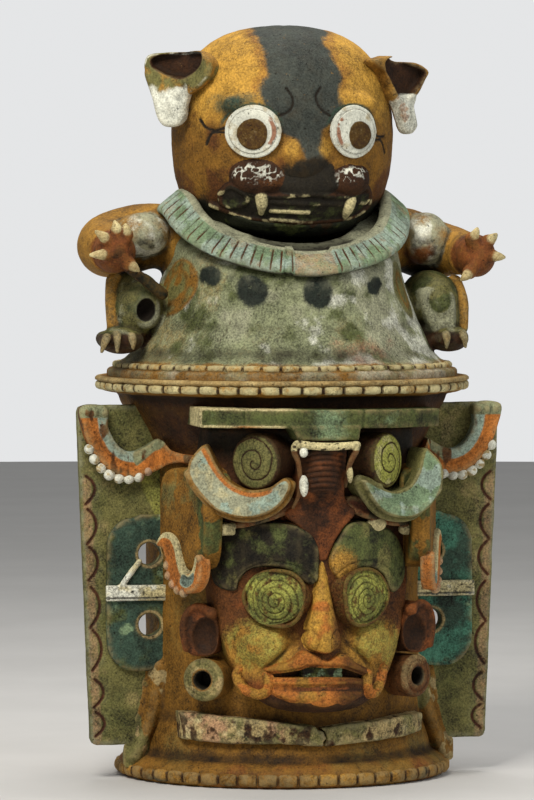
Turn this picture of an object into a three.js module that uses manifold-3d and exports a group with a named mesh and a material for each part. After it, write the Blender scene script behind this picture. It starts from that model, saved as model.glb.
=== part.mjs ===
// A lidded funerary urn of fired clay, in millimetres, +Z up, with its front towards -Y.
// The origin is the centre of the underside of the base. The urn is two loose things: the vessel,
// with a deity mask looking out of the open jaws of a beast, and the lid, with a crouching spotted cat.
import * as THREE from "three";
import { mergeVertices } from "three/addons/utils/BufferGeometryUtils.js";
import Module from "manifold-3d";

// Gap left between pieces that touch, and the fineness of round work
const GAP = 0.3;
const ROUND_SIDES = 36;
const SMALL_SIDES = 24;
const BALL_SIDES = 9;
const BALL_RINGS = 6;
const BEAD_SIDES = 6;
const BEAD_RINGS = 4;

// Vessel: radii from the urn's axis, heights from the underside of the base
const VESSEL_HEIGHT = 597;
const WALL_RADIUS = 205;
const WALL_THICKNESS = 18;
const FLOOR_THICKNESS = 22;
const BASE_REACH = 41;
const BASE_LIP_HEIGHT = 30;
const ANKLE_REACH = 14;
const ANKLE_Z = 55;
const WALL_START_Z = 95;
const MOUTH_REACH = 38;
const MOUTH_DROP = 38;
const FLARE_SHARE = 0.42;
const NECK_DROP = 117;
const FLANGE_REACH = 76;
const FLANGE_HEIGHT = 22;
const FLANGE_LIP_HEIGHT = 7;
const EDGE_ROUND = 4;

// Finger-pressed fillets round the rim, the base and the lid's foot
const RIM_FILLET_BEADS = 56;
const BASE_FILLET_BEADS = 52;
const FILLET_DEPTH = 7;
const BASE_FILLET_Z = 4;
const BASE_FILLET_HEIGHT = 17;
const PRESS_DEPTH = 2.5;

// Wings: flat slabs that stand out beside the vessel
const WING_PLANE_Y = -45;
const WING_THICKNESS = 18;
const WING_TOP_DROP = 41;
const WING_BOTTOM_Z = 51;
const WING_TOP_REACH = 117;
const WING_BOTTOM_REACH = 96;
const WING_CORNER = 8;
const WING_HOLE_RADIUS = 16.5;
const WING_HOLE_REACH = 10;
const WING_HOLE_DROPS = [262, 367];

// Plaque and tie band on the front of each wing
const PLAQUE_THICKNESS = 10;
const PLAQUE_REACH = 74;
const PLAQUE_TOP_DROP = 209;
const PLAQUE_HEIGHT = 227;
const PLAQUE_CORNER = 30;
const TIE_BAND_DROP = 308;
const TIE_BAND_HEIGHT = 23;
const TIE_BAND_THICKNESS = 6;
const TIE_BAND_OVERHANG = 2;

// Scroll that hangs from the top corner of each wing, its beads, and the bracket low on the wing
const SCROLL_THICKNESS = 22;
const SCROLL_WIDTH = 48;
const SCROLL_SAG = 104;
const SCROLL_SPAN = 120;
const SCROLL_TAIL_HEIGHT = 18;
const SCROLL_TAIL_RISE = 26;
const SCROLL_TAIL_SPAN = 52;
const SCROLL_TAIL_REACH = 20;
const WING_BEADS = 10;
const WING_BEAD_RADIUS = 9;
const WING_BEAD_OFFSET = 5;
const FIRST_BEAD_SHARE = 0.34;
const LAST_BEAD_SHARE = 0.94;
const BRACKET_RADIUS = 9;
const BRACKET_TOP_DROP = 430;
const BRACKET_FLARE = 30;

// Upper jaw of the beast: core, brow plank with its tab, snout, frame, eyes, lids and lips
const JAW_CORE_REACH = 38;
const JAW_CORE_HALF = 158;
const JAW_TOP_DROP = 70;
const JAW_BOTTOM_DROP = 205;
const PLANK_REACH = 88;
const PLANK_HALF = 187;
const PLANK_HEIGHT = 31;
const TAB_HALF = 46;
const TAB_HEIGHT = 17;
const TAB_REACH = 94;
const SNOUT_HALF = 37;
const SNOUT_REACH = 88;
const SNOUT_TOP_DROP = 90;
const SNOUT_HEIGHT = 78;
const SNOUT_RIBS = 6;
const SNOUT_RIB_DEPTH = 4;
const FOREHEAD_REACH = 66;
const FOREHEAD_DROP = 255;
const FRAME_ROD_RADIUS = 6;
const BEAST_EYE_RADIUS = 41;
const BEAST_EYE_X = 101;
const BEAST_EYE_Y_REACH = 45;
const BEAST_EYE_DROP = 117;
const BEAST_EYE_TURN = 44;
const BEAST_EYE_STALK = 62;
const LID_FOLD_X = 123;
const LID_FOLD_Y_REACH = 45;
const LID_FOLD_TURN = 18;
const LID_FOLD_THICKNESS = 46;
const LID_FOLD_HALF = 72;
const LID_FOLD_TOP_DROP = 96;
const LID_FOLD_DEPTH = 102;
const LID_FOLD_WIDTH = 40;
const LIP_REACH = 58;
const LIP_HEIGHT = 17;
const LIP_HALF = 156;
const TOOTH_RADIUS = 9;

// Side panels of the beast's jaw, and the curl at the foot of each
const PANEL_BACK_REACH = 28;
const PANEL_BACK_X = 205;
const PANEL_FRONT_REACH = 87;
const PANEL_FRONT_X = 157;
const PANEL_THICKNESS = 46;
const PANEL_TOP_DROP = 131;
const PANEL_HEIGHT = 136;
const CURL_RADIUS = 10;

// Deity mask: reaches are how far it stands proud of the vessel's wall
const FACE_REACH = 67;
const FACE_MID_REACH = 48;
const FACE_MID_X = 70;
const CHEEK_REACH = 35;
const CHEEK_X = 149;
const CHIN_HALF = 62;
const MOUTH_HALF = 62;
const MOUTH_CORNER_RISE = 63.3;
const MOUTH_OPEN_HEIGHT = 38;
const MOUTH_DEPTH = 26;
const BROW_THICKNESS = 14;
const FACE_EYE_X = 68;
const FACE_EYE_DROP = 319;
const FACE_EYE_TURN = 36;
const FACE_EYE_HALF_WIDTH = 50;
const FACE_EYE_HALF_HEIGHT = 42;
const FACE_EYE_THICKNESS = 13;
const NOSE_REACH = 94;
const NOSE_HALF = 33;
const NOSE_TOP_DROP = 262;
const NOSE_LOW_RISE = 90.3;
const LIP_THICKNESS = 12;
const TOOTH_PLATE_HALF = 28;
const TOOTH_PLATE_HEIGHT = 20;
const HOOK_RADIUS = 8.5;

// Ears and ear spools beside the mask, and the band round its neck
const EAR_X = 168;
const EAR_REACH = 43;
const EAR_TURN = 30;
const EAR_RISE = 117.3;
const EAR_HALF_WIDTH = 25;
const EAR_HALF_HEIGHT = 39;
const EAR_RIM = 11;
const EAR_HOLLOW = 14;
const EAR_ROOT = 60;
const SPOOL_X = 160;
const SPOOL_REACH = 43;
const SPOOL_TURN = 34;
const SPOOL_RISE = 45.3;
const SPOOL_RADIUS = 32;
const SPOOL_BORE_RADIUS = 13;
const SPOOL_BORE_DEPTH = 12;
const SPOOL_ROOT = 52;
const NECK_BAND_REACH = 27;
const NECK_BAND_LOW_Z = 61;
const NECK_BAND_CLEARANCE = 5.7;
const NECK_BAND_HEIGHT = 46;
const NECK_BAND_HALF = 183;
const NECK_BAND_BREAK = 6;

// Lid: heights are from the lid's own seat on the rim
const LID_FOOT_INSET = 18;
const LID_FOOT_HEIGHT = 11;
const LID_WALL = 16;
const LID_SEAT_WIDTH = 27;
const ROPE_INSET = 15;
const ROPE_BEADS = 52;
const ROPE_HEIGHT = 10;
const TORSO_HEIGHT = 246;
const TORSO_INSETS = [
  [38, 37],
  [60, 82],
  [74, 124],
  [87, 165],
  [95, 205],
];
const TORSO_LEAN = 12;
const TORSO_DEEPENING = 0.15;
const LEAN_START = 40;
const SHOULDER_RADIUS = 158;
const SHOULDER_ROUND = 30;
const NECK_HOLE_RADIUS = 108;
const TORSO_TILT = 23;
const BACK_TILT = -3;
const COLLAR_TILT = 24.5;
const COLLAR_BEND = 60;
const COLLAR_LIFT = 6;
const COLLAR_WIDTH = 31;
const COLLAR_RISE = 24;
const COLLAR_THICKNESS = 8;

// The cat's head, a hollow ball that opens into the lid
const HEAD_RADIUS = 166;
const HEAD_DEPTH = 160;
const HEAD_SQUARENESS = 2.5;
const HEAD_WALL = 14;
const HEAD_SINK = 55;
const HEAD_SIDES = 24;
const HEAD_RINGS = 13;
const CAT_EYE_X = 75;
const CAT_EYE_RISE = 3;
const CAT_EYE_RADIUS = 37;
const CAT_EYE_TURN = 24;
const CAT_EYE_THICKNESS = 9;
const PUPIL_RADIUS = 20;
const PUPIL_HEIGHT = 3;
const MUZZLE_DROP = 68;
const PAD_X = 66;
const PAD_WIDTH = 44;
const GRIN_HALF = 112;
const GRIN_DROP = 96;
const GRIN_HEIGHT = 26;
const GRIN_THICKNESS = 9;
const JAW_HALF = 96;
const JAW_HEIGHT = 42;
const CAT_EAR_X = 160;
const CAT_EAR_FRONT = 62;
const CAT_EAR_RISE = 96;
const CAT_EAR_RADIUS = 36;
const CAT_EAR_HALF_LENGTH = 62;
const CAT_EAR_TURN = 36;
const CAT_EAR_TIP_X = 176;

// The cat's limbs: reaches are from the shoulder radius
const ARM_RADIUS = 48;
const FOREARM_RADIUS = 36;
const ARM_DROP = 52;
const SHOULDER_LIFT = 10;
const ELBOW_REACH = 86;
const ELBOW_BACK = 54;
const WRIST_REACH = 110;
const WRIST_FRONT = 58;
const PAW_RADIUS = 31;
const PAW_DROP = 8;
const CLAW_RADIUS = 7;
const CLAW_LENGTH = 34;
const CLAW_SIDES = 6;
const CLAWS = 4;
const CLAW_FAN_FROM = -25;
const CLAW_FAN_SPAN = 100;
const HAUNCH_REACH = 68;
const HAUNCH_Z = 112;
const HAUNCH_HEIGHT = 88;
const HAUNCH_DEPTH = 150;
const HAUNCH_WIDTH = 82;
const SHIN_HALF_WIDTH = 27;
const SHIN_HALF_DEPTH = 34;
const SHIN_HALF_HEIGHT = 42;
const FOOT_INSET = 11;
const FOOT_LIFT = 8;
const FOOT_FRONT = 46;
const FOOT_RADIUS = 25;

// Sizes that follow from the ones above
const BASE_RADIUS = WALL_RADIUS + BASE_REACH;
const FLANGE_RADIUS = WALL_RADIUS + FLANGE_REACH;
const LID_FOOT_RADIUS = FLANGE_RADIUS - LID_FOOT_INSET;
const ROPE_RADIUS = LID_FOOT_RADIUS - ROPE_INSET;
const HEAD_Z = TORSO_HEIGHT + HEAD_RADIUS - HEAD_SINK;
const ARM_Z = TORSO_HEIGHT - ARM_DROP;
const FACE_TOP_DROP = JAW_BOTTOM_DROP + GAP;
const CHIN_Z = NECK_BAND_LOW_Z + NECK_BAND_HEIGHT + NECK_BAND_CLEARANCE;
const FACE_HEIGHT = VESSEL_HEIGHT - FACE_TOP_DROP - CHIN_Z;
const MOUTH_CORNER_Z = CHIN_Z + MOUTH_CORNER_RISE;
const WING_FRONT_Y = WING_PLANE_Y - WING_THICKNESS / 2;
const FAR = 400;
const SIDES = { left: -1, right: 1 };

const wasm = await Module();
wasm.setup();

// Turns a closed geometry into a solid with its faces pointing out.
function solidOf(geometry) {
  const bare = geometry.clone();
  bare.deleteAttribute("normal");
  bare.deleteAttribute("uv");
  const merged = mergeVertices(bare, 1e-3);
  const source = merged.index.array;
  const kept = [];
  for (let i = 0; i < source.length; i += 3) {
    const [a, b, c] = [source[i], source[i + 1], source[i + 2]];
    if (a !== b && b !== c && c !== a) kept.push(a, b, c);
  }
  const vertProperties = merged.attributes.position.array;
  const made = new wasm.Manifold(
    new wasm.Mesh({ numProp: 3, vertProperties, triVerts: new Uint32Array(kept) }),
  );
  if (made.volume() > 0) return made;
  return new wasm.Manifold(
    new wasm.Mesh({ numProp: 3, vertProperties, triVerts: new Uint32Array(kept.reverse()) }),
  );
}

// Gives a solid back as a geometry with flat faces.
function geometryOf(solid) {
  const mesh = solid.getMesh();
  const position = new Float32Array(mesh.numVert * 3);
  for (let i = 0; i < mesh.numVert; i += 1) {
    position.set(mesh.vertProperties.subarray(i * mesh.numProp, i * mesh.numProp + 3), i * 3);
  }
  const geometry = new THREE.BufferGeometry();
  geometry.setAttribute("position", new THREE.BufferAttribute(position, 3));
  geometry.setIndex(new THREE.BufferAttribute(mesh.triVerts, 1));
  const faceted = geometry.toNonIndexed();
  faceted.computeVertexNormals();
  return faceted;
}

const fromRim = (drop) => VESSEL_HEIGHT - drop;
const radians = THREE.MathUtils.degToRad;
const smoothStep = THREE.MathUtils.smoothstep;

// The Y of the front point of a ring of this radius at a given X.
function ringY(radius, x) {
  return -Math.sqrt(Math.max(radius * radius - x * x, 1));
}

// Turns a profile of [radius, height] points about the urn's axis.
function latheOf(profile, sides = ROUND_SIDES) {
  const points = profile.map(([radius, z]) => new THREE.Vector2(radius, z));
  return new THREE.LatheGeometry(points, sides).rotateX(Math.PI / 2);
}

// Pushes each point of a closed outline outwards by the same amount.
function spread(points, amount) {
  const count = points.length;
  const turn = THREE.ShapeUtils.isClockWise(points) ? -1 : 1;
  return points.map((point, i) => {
    const before = points[(i + count - 1) % count];
    const after = points[(i + 1) % count];
    const along = after.clone().sub(before).normalize();
    return new THREE.Vector2(point.x + turn * along.y * amount, point.y - turn * along.x * amount);
  });
}

// A smooth closed outline through a few [x, y] points.
function roundOutline(points, steps = 3) {
  const corners = points.map(([x, y]) => new THREE.Vector3(x, y, 0));
  const curve = new THREE.CatmullRomCurve3(corners, true, "centripetal");
  const outline = [];
  for (let i = 0; i < points.length * steps; i += 1) {
    const at = curve.getPoint(i / (points.length * steps));
    outline.push(new THREE.Vector2(at.x, at.y));
  }
  return outline;
}

const sharpOutline = (points) => points.map(([x, y]) => new THREE.Vector2(x, y));

// An oblong outline between two x's and two y's.
function boxOutline(x0, x1, y0, y1) {
  return sharpOutline([
    [x0, y0],
    [x1, y0],
    [x1, y1],
    [x0, y1],
  ]);
}

// A solid whose outline is drawn in front elevation, from one Y forward to another.
function frontSlab(outline, grow = 0, backY = 0, frontY = -FAR) {
  const depth = backY - frontY + 2 * grow;
  const shape = new THREE.Shape(grow ? spread(outline, grow) : outline);
  const geometry = new THREE.ExtrudeGeometry(shape, { depth, bevelEnabled: false });
  return solidOf(geometry.rotateX(Math.PI / 2).translate(0, backY + grow, 0));
}

// A disc or other flat form that faces the front, drawn about its own centre, then turned and placed.
function placed(geometry, x, y, z, turnDegrees) {
  return solidOf(geometry.rotateZ(radians(turnDegrees)).translate(x, y, z));
}

function ball(x, y, z, rx, ry, rz, grow = 0, sides = BALL_SIDES, rings = BALL_RINGS) {
  const geometry = new THREE.SphereGeometry(1, sides, rings).rotateX(Math.PI / 2);
  geometry.scale(rx + grow, ry + grow, rz + grow);
  return solidOf(geometry.translate(x, y, z));
}

// A rod of round section that follows a smooth curve through [x, y, z] points.
function rod(points, radius, steps = 12, sides = 8) {
  const path = new THREE.CatmullRomCurve3(points.map((p) => new THREE.Vector3(...p)));
  const turns = Array.from({ length: sides }, (_, i) => (2 * Math.PI * i) / sides);
  const ring = turns.map((a) => new THREE.Vector2(radius * Math.cos(a), radius * Math.sin(a)));
  const options = { steps, extrudePath: path, bevelEnabled: false };
  return solidOf(new THREE.ExtrudeGeometry(new THREE.Shape(ring), options));
}

const joined = (solids) => solids.reduce((whole, next) => whole.add(next));

// Vessel

function vesselOuter(grow = 0) {
  const wall = WALL_RADIUS + grow;
  return [
    [wall + BASE_REACH - EDGE_ROUND, 0],
    [wall + BASE_REACH, EDGE_ROUND],
    [wall + BASE_REACH, BASE_LIP_HEIGHT - 2 * EDGE_ROUND],
    [wall + BASE_REACH - 2 * EDGE_ROUND, BASE_LIP_HEIGHT],
    [wall + ANKLE_REACH + EDGE_ROUND, BASE_LIP_HEIGHT + 2 * EDGE_ROUND],
    [wall + ANKLE_REACH, ANKLE_Z],
    [wall, WALL_START_Z],
    [wall, fromRim(NECK_DROP)],
    [wall + MOUTH_REACH * FLARE_SHARE, fromRim((NECK_DROP + MOUTH_DROP) / 2)],
    [wall + MOUTH_REACH, fromRim(MOUTH_DROP)],
    [wall + MOUTH_REACH + EDGE_ROUND, fromRim(FLANGE_HEIGHT) - EDGE_ROUND],
  ];
}

function flangeOuter(grow = 0) {
  const fillet = FLANGE_RADIUS - FILLET_DEPTH + grow;
  return [
    [fillet - EDGE_ROUND, fromRim(FLANGE_HEIGHT) - grow],
    [fillet, fromRim(FLANGE_HEIGHT) + EDGE_ROUND - grow],
    [fillet, fromRim(FLANGE_LIP_HEIGHT)],
    [FLANGE_RADIUS + grow, fromRim(FLANGE_LIP_HEIGHT) - grow],
    [FLANGE_RADIUS + grow, VESSEL_HEIGHT - FLANGE_LIP_HEIGHT / 3],
    [FLANGE_RADIUS - FLANGE_LIP_HEIGHT / 3 + grow, VESSEL_HEIGHT],
  ];
}

function vesselInner() {
  const wall = WALL_RADIUS - WALL_THICKNESS;
  return [
    [wall + MOUTH_REACH, VESSEL_HEIGHT],
    [wall + MOUTH_REACH, fromRim(MOUTH_DROP)],
    [wall + MOUTH_REACH * FLARE_SHARE, fromRim((NECK_DROP + MOUTH_DROP) / 2)],
    [wall, fromRim(NECK_DROP)],
    [wall, 2 * FLOOR_THICKNESS],
    [wall - FLOOR_THICKNESS, FLOOR_THICKNESS],
    [0, FLOOR_THICKNESS],
  ];
}

function vesselBody() {
  return solidOf(latheOf([[0, 0], ...vesselOuter(), ...flangeOuter(), ...vesselInner()]));
}

// The vessel as one full lump, which trims whatever is laid on its wall.
function vesselLump(grow) {
  const outer = [...vesselOuter(grow), ...flangeOuter(grow)];
  return solidOf(latheOf([[0, -grow], ...outer, [0, VESSEL_HEIGHT + grow]]));
}

// A clay fillet pressed with a fingertip at even steps.
function pressedFillet(innerRadius, depth, lowZ, height, beads) {
  const outer = innerRadius + depth;
  const profile = [
    [innerRadius, lowZ],
    [outer, lowZ + height * 0.3],
    [outer, lowZ + height * 0.7],
    [innerRadius, lowZ + height],
    [innerRadius, lowZ],
  ];
  const geometry = latheOf(profile, beads * 2);
  const position = geometry.getAttribute("position");
  for (let i = 0; i < position.count; i += 1) {
    const [x, y] = [position.getX(i), position.getY(i)];
    const radius = Math.hypot(x, y);
    const step = Math.round((Math.atan2(y, x) / Math.PI) * beads);
    const pressed = radius > innerRadius + PRESS_DEPTH && step % 2 !== 0;
    const scale = pressed ? (radius - PRESS_DEPTH) / radius : 1;
    position.setXY(i, x * scale, y * scale);
  }
  return solidOf(geometry);
}

function rimFillet() {
  const inner = FLANGE_RADIUS - FILLET_DEPTH + GAP;
  const height = FLANGE_HEIGHT - FLANGE_LIP_HEIGHT - GAP;
  return pressedFillet(inner, FILLET_DEPTH, fromRim(FLANGE_HEIGHT), height, RIM_FILLET_BEADS);
}

function baseFillet() {
  return pressedFillet(BASE_RADIUS + GAP, FILLET_DEPTH, BASE_FILLET_Z, BASE_FILLET_HEIGHT, BASE_FILLET_BEADS);
}

// Wings

function wingHole(side, drop) {
  const bore = new THREE.CylinderGeometry(WING_HOLE_RADIUS, WING_HOLE_RADIUS, FAR, SMALL_SIDES / 2);
  return solidOf(bore.translate(side * (WALL_RADIUS + WING_HOLE_REACH), 0, fromRim(drop)));
}

const wingHoles = (side) => joined(WING_HOLE_DROPS.map((drop) => wingHole(side, drop)));

function wing(side, grow = 0) {
  const top = fromRim(WING_TOP_DROP);
  const topX = WALL_RADIUS + WING_TOP_REACH;
  const bottomX = WALL_RADIUS + WING_BOTTOM_REACH;
  const outline = sharpOutline([
    [side * (WALL_RADIUS / 2), WING_BOTTOM_Z],
    [side * (bottomX - WING_CORNER), WING_BOTTOM_Z],
    [side * bottomX, WING_BOTTOM_Z + WING_CORNER],
    [side * topX, top - WING_CORNER],
    [side * (topX - WING_CORNER), top],
    [side * (WALL_RADIUS / 2), top],
  ]);
  return frontSlab(outline, grow, WING_FRONT_Y + WING_THICKNESS, WING_FRONT_Y).subtract(wingHoles(side));
}

function plaque(side, grow = 0) {
  const top = fromRim(PLAQUE_TOP_DROP);
  const low = top - PLAQUE_HEIGHT;
  const outer = WALL_RADIUS + PLAQUE_REACH;
  const outline = sharpOutline([
    [side * (WALL_RADIUS / 2), low],
    [side * (outer - PLAQUE_CORNER * 1.4), low],
    [side * (outer - PLAQUE_CORNER * 0.4), low + PLAQUE_CORNER * 0.4],
    [side * outer, low + PLAQUE_CORNER * 1.4],
    [side * outer, top - PLAQUE_CORNER * 1.4],
    [side * (outer - PLAQUE_CORNER * 0.4), top - PLAQUE_CORNER * 0.4],
    [side * (outer - PLAQUE_CORNER * 1.4), top],
    [side * (WALL_RADIUS / 2), top],
  ]);
  const backY = WING_FRONT_Y - GAP;
  return frontSlab(outline, grow, backY, backY - PLAQUE_THICKNESS).subtract(wingHoles(side));
}

function tieBand(side, grow = 0) {
  const outer = WALL_RADIUS + PLAQUE_REACH + TIE_BAND_OVERHANG;
  const low = fromRim(TIE_BAND_DROP + TIE_BAND_HEIGHT);
  const outline = boxOutline(side * (WALL_RADIUS / 2), side * outer, low, low + TIE_BAND_HEIGHT);
  const backY = WING_FRONT_Y - PLAQUE_THICKNESS - 2 * GAP;
  return frontSlab(outline, grow, backY, backY - TIE_BAND_THICKNESS);
}

// The lower edge of the scroll, from the wing's corner down and in to where its tail starts.
function scrollEdge() {
  const startX = WALL_RADIUS + WING_TOP_REACH - EDGE_ROUND;
  const startZ = fromRim(WING_TOP_DROP) - EDGE_ROUND;
  return [
    [startX, startZ],
    [startX - SCROLL_SPAN * 0.06, startZ - SCROLL_SAG * 0.4],
    [startX - SCROLL_SPAN * 0.25, startZ - SCROLL_SAG * 0.78],
    [startX - SCROLL_SPAN * 0.6, startZ - SCROLL_SAG],
    [startX - SCROLL_SPAN * 0.85, startZ - SCROLL_SAG * 0.88],
    [startX - SCROLL_SPAN, startZ - SCROLL_SAG + SCROLL_TAIL_RISE],
  ];
}

function scrollOutline(side) {
  const lower = scrollEdge();
  const [startX, startZ] = lower[0];
  const [endX, endZ] = lower[lower.length - 1];
  const upper = [
    [endX, endZ + SCROLL_TAIL_HEIGHT],
    [startX - SCROLL_SPAN * 0.72, startZ - SCROLL_SAG * 0.68],
    [startX - SCROLL_SPAN * 0.5, startZ - SCROLL_SAG * 0.52],
    [startX - SCROLL_WIDTH, startZ],
  ];
  return sharpOutline([...lower, ...upper].map(([x, z]) => [side * x, z]));
}

function wingScroll(side, grow = 0) {
  const slab = frontSlab(scrollOutline(side), grow, WING_FRONT_Y - GAP, WING_FRONT_Y - SCROLL_THICKNESS);
  const [endX, endZ] = scrollEdge().at(-1);
  const tailStart = endX + EDGE_ROUND / 2;
  const tailEnd = endX - SCROLL_TAIL_SPAN;
  const tail = boxOutline(side * tailEnd, side * tailStart, endZ, endZ + SCROLL_TAIL_HEIGHT);
  return slab.add(frontSlab(tail, grow, WING_FRONT_Y - GAP).intersect(reachDrum(SCROLL_TAIL_REACH + grow)));
}

function wingBeads(side, grow = 0) {
  const edge = scrollEdge().map(([x, z]) => new THREE.Vector3(side * x, 0, z));
  const curve = new THREE.CatmullRomCurve3(edge);
  const centreY = WING_FRONT_Y - GAP - SCROLL_THICKNESS / 2;
  const beads = [];
  const step = (LAST_BEAD_SHARE - FIRST_BEAD_SHARE) / (WING_BEADS - 1);
  for (let i = 0; i < WING_BEADS; i += 1) {
    const share = FIRST_BEAD_SHARE + step * i;
    const at = curve.getPointAt(share);
    const along = curve.getTangentAt(share);
    const x = at.x - side * along.z * WING_BEAD_OFFSET;
    const z = at.z + side * along.x * WING_BEAD_OFFSET;
    const r = WING_BEAD_RADIUS + grow;
    beads.push(ball(x, centreY, z, r, SCROLL_THICKNESS / 2, r, 0, BEAD_SIDES, BEAD_RINGS));
  }
  return joined(beads);
}

function wingBracket(side, grow = 0) {
  const top = fromRim(BRACKET_TOP_DROP);
  const y = WING_FRONT_Y - BRACKET_RADIUS / 2;
  const path = [
    [side * (WALL_RADIUS - EDGE_ROUND), y, top],
    [side * (WALL_RADIUS + 3), y, (top + ANKLE_Z) / 2],
    [side * (WALL_RADIUS + BRACKET_FLARE / 2), y, ANKLE_Z + 4 * EDGE_ROUND],
    [side * (WALL_RADIUS + BRACKET_FLARE), y, BASE_LIP_HEIGHT + EDGE_ROUND],
  ];
  return rod(path, BRACKET_RADIUS + grow, 8, 7);
}

// Upper jaw of the beast

// A full round drum as tall as the vessel, that much wider than the vessel's wall.
function reachDrum(reach) {
  const radius = WALL_RADIUS + reach;
  return solidOf(latheOf([[0, 0], [radius, 0], [radius, VESSEL_HEIGHT], [0, VESSEL_HEIGHT]]));
}

// A clay slab rolled round the vessel and cut to an outline seen from the front.
function wrapped(outline, reach, grow = 0) {
  return frontSlab(outline, grow).intersect(reachDrum(reach + grow));
}

function jawCore(grow = 0) {
  const outline = boxOutline(-JAW_CORE_HALF, JAW_CORE_HALF, fromRim(JAW_BOTTOM_DROP), fromRim(JAW_TOP_DROP));
  return wrapped(outline, JAW_CORE_REACH, grow);
}

function browPlank(grow = 0) {
  const top = fromRim(MOUTH_DROP);
  const low = top - PLANK_HEIGHT;
  const plank = wrapped(boxOutline(-PLANK_HALF, PLANK_HALF, low, top), PLANK_REACH, grow);
  const tab = wrapped(boxOutline(-TAB_HALF, TAB_HALF, low - TAB_HEIGHT, low + EDGE_ROUND), TAB_REACH, grow);
  return plank.add(tab);
}

// Side view of the snout: grooved ribs above, then a slope down to the mask's forehead.
function snout(grow = 0) {
  const top = fromRim(SNOUT_TOP_DROP);
  const ribHeight = SNOUT_HEIGHT / SNOUT_RIBS;
  const front = WALL_RADIUS + SNOUT_REACH + grow;
  const profile = [[WALL_RADIUS / 2, top + grow]];
  for (let i = 0; i < SNOUT_RIBS; i += 1) {
    const rib = top - i * ribHeight;
    profile.push([front - SNOUT_RIB_DEPTH, rib + (i ? 0 : grow)]);
    profile.push([front, rib - ribHeight / 2]);
  }
  const forehead = WALL_RADIUS + FOREHEAD_REACH + grow;
  profile.push([front - SNOUT_RIB_DEPTH, top - SNOUT_HEIGHT]);
  profile.push([forehead, (top - SNOUT_HEIGHT + fromRim(FOREHEAD_DROP)) / 2]);
  profile.push([forehead, fromRim(FOREHEAD_DROP) - grow]);
  profile.push([WALL_RADIUS / 2, fromRim(FOREHEAD_DROP) - grow]);
  const width = 2 * (SNOUT_HALF + grow);
  const geometry = new THREE.ExtrudeGeometry(new THREE.Shape(sharpOutline(profile)), {
    depth: width,
    bevelEnabled: false,
  });
  // The profile's x runs forward and its y runs up.
  geometry.rotateX(Math.PI / 2).rotateZ(-Math.PI / 2).translate(width / 2, 0, 0);
  return solidOf(geometry);
}

// A bent rod that frames the snout: a bar across its top and a rail down each flank.
function snoutFrame(grow = 0) {
  const railX = SNOUT_HALF + FRAME_ROD_RADIUS + GAP;
  const front = -(WALL_RADIUS + SNOUT_REACH);
  const barZ = fromRim(SNOUT_TOP_DROP) - FRAME_ROD_RADIUS / 2;
  const low = barZ - SNOUT_HEIGHT;
  const path = [
    [-railX, front + 2 * FRAME_ROD_RADIUS, low],
    [-railX, front + FRAME_ROD_RADIUS, (barZ + low) / 2],
    [-railX, front, barZ - 2 * FRAME_ROD_RADIUS],
    [-railX / 2, front - FRAME_ROD_RADIUS, barZ],
    [railX / 2, front - FRAME_ROD_RADIUS, barZ],
    [railX, front, barZ - 2 * FRAME_ROD_RADIUS],
    [railX, front + FRAME_ROD_RADIUS, (barZ + low) / 2],
    [railX, front + 2 * FRAME_ROD_RADIUS, low],
  ];
  return rod(path, FRAME_ROD_RADIUS + grow, 16, 6);
}

// A round eye: a drum with a raised rim, its face towards the front before it is turned.
function eyeDrum(radius, root, rim, grow = 0) {
  const outer = radius + grow;
  const profile = [
    [0, -root - grow],
    [outer, -root - grow],
    [outer, grow],
    [outer - rim, grow],
    [outer - rim * 1.5, grow - rim / 3],
    [0, grow - rim / 3],
  ];
  return latheOf(profile, SMALL_SIDES).rotateX(Math.PI / 2);
}

function beastEye(side, grow = 0) {
  const drum = eyeDrum(BEAST_EYE_RADIUS, BEAST_EYE_STALK, 2 * EDGE_ROUND, grow);
  const y = -(WALL_RADIUS + BEAST_EYE_Y_REACH);
  return placed(drum, side * BEAST_EYE_X, y, fromRim(BEAST_EYE_DROP), side * BEAST_EYE_TURN);
}

// A fold of the lower eyelid, like a crescent moon on its back.
function lidFold(side, grow = 0) {
  const half = LID_FOLD_HALF;
  const deep = LID_FOLD_DEPTH;
  const outline = roundOutline(
    [
      [-half * 0.98, -deep * 0.55],
      [-half * 0.4, -deep * 0.93],
      [half * 0.2, -deep * 0.93],
      [half * 0.8, -deep * 0.6],
      [half * 0.95, -deep * 0.2],
      [half * 0.75, 0],
      [half * 0.55, -deep * 0.15],
      [half * 0.2, -deep * 0.93 + LID_FOLD_WIDTH],
      [-half * 0.45, -deep * 0.93 + LID_FOLD_WIDTH],
    ].map(([x, z]) => [side * x, z]),
    2,
  );
  const slab = new THREE.ExtrudeGeometry(new THREE.Shape(grow ? spread(outline, grow) : outline), {
    depth: LID_FOLD_THICKNESS + 2 * grow,
    bevelEnabled: false,
  });
  slab.rotateX(Math.PI / 2).translate(0, LID_FOLD_THICKNESS + grow, 0);
  const y = -(WALL_RADIUS + LID_FOLD_Y_REACH);
  return placed(slab, side * LID_FOLD_X, y, fromRim(LID_FOLD_TOP_DROP), side * LID_FOLD_TURN);
}

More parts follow.
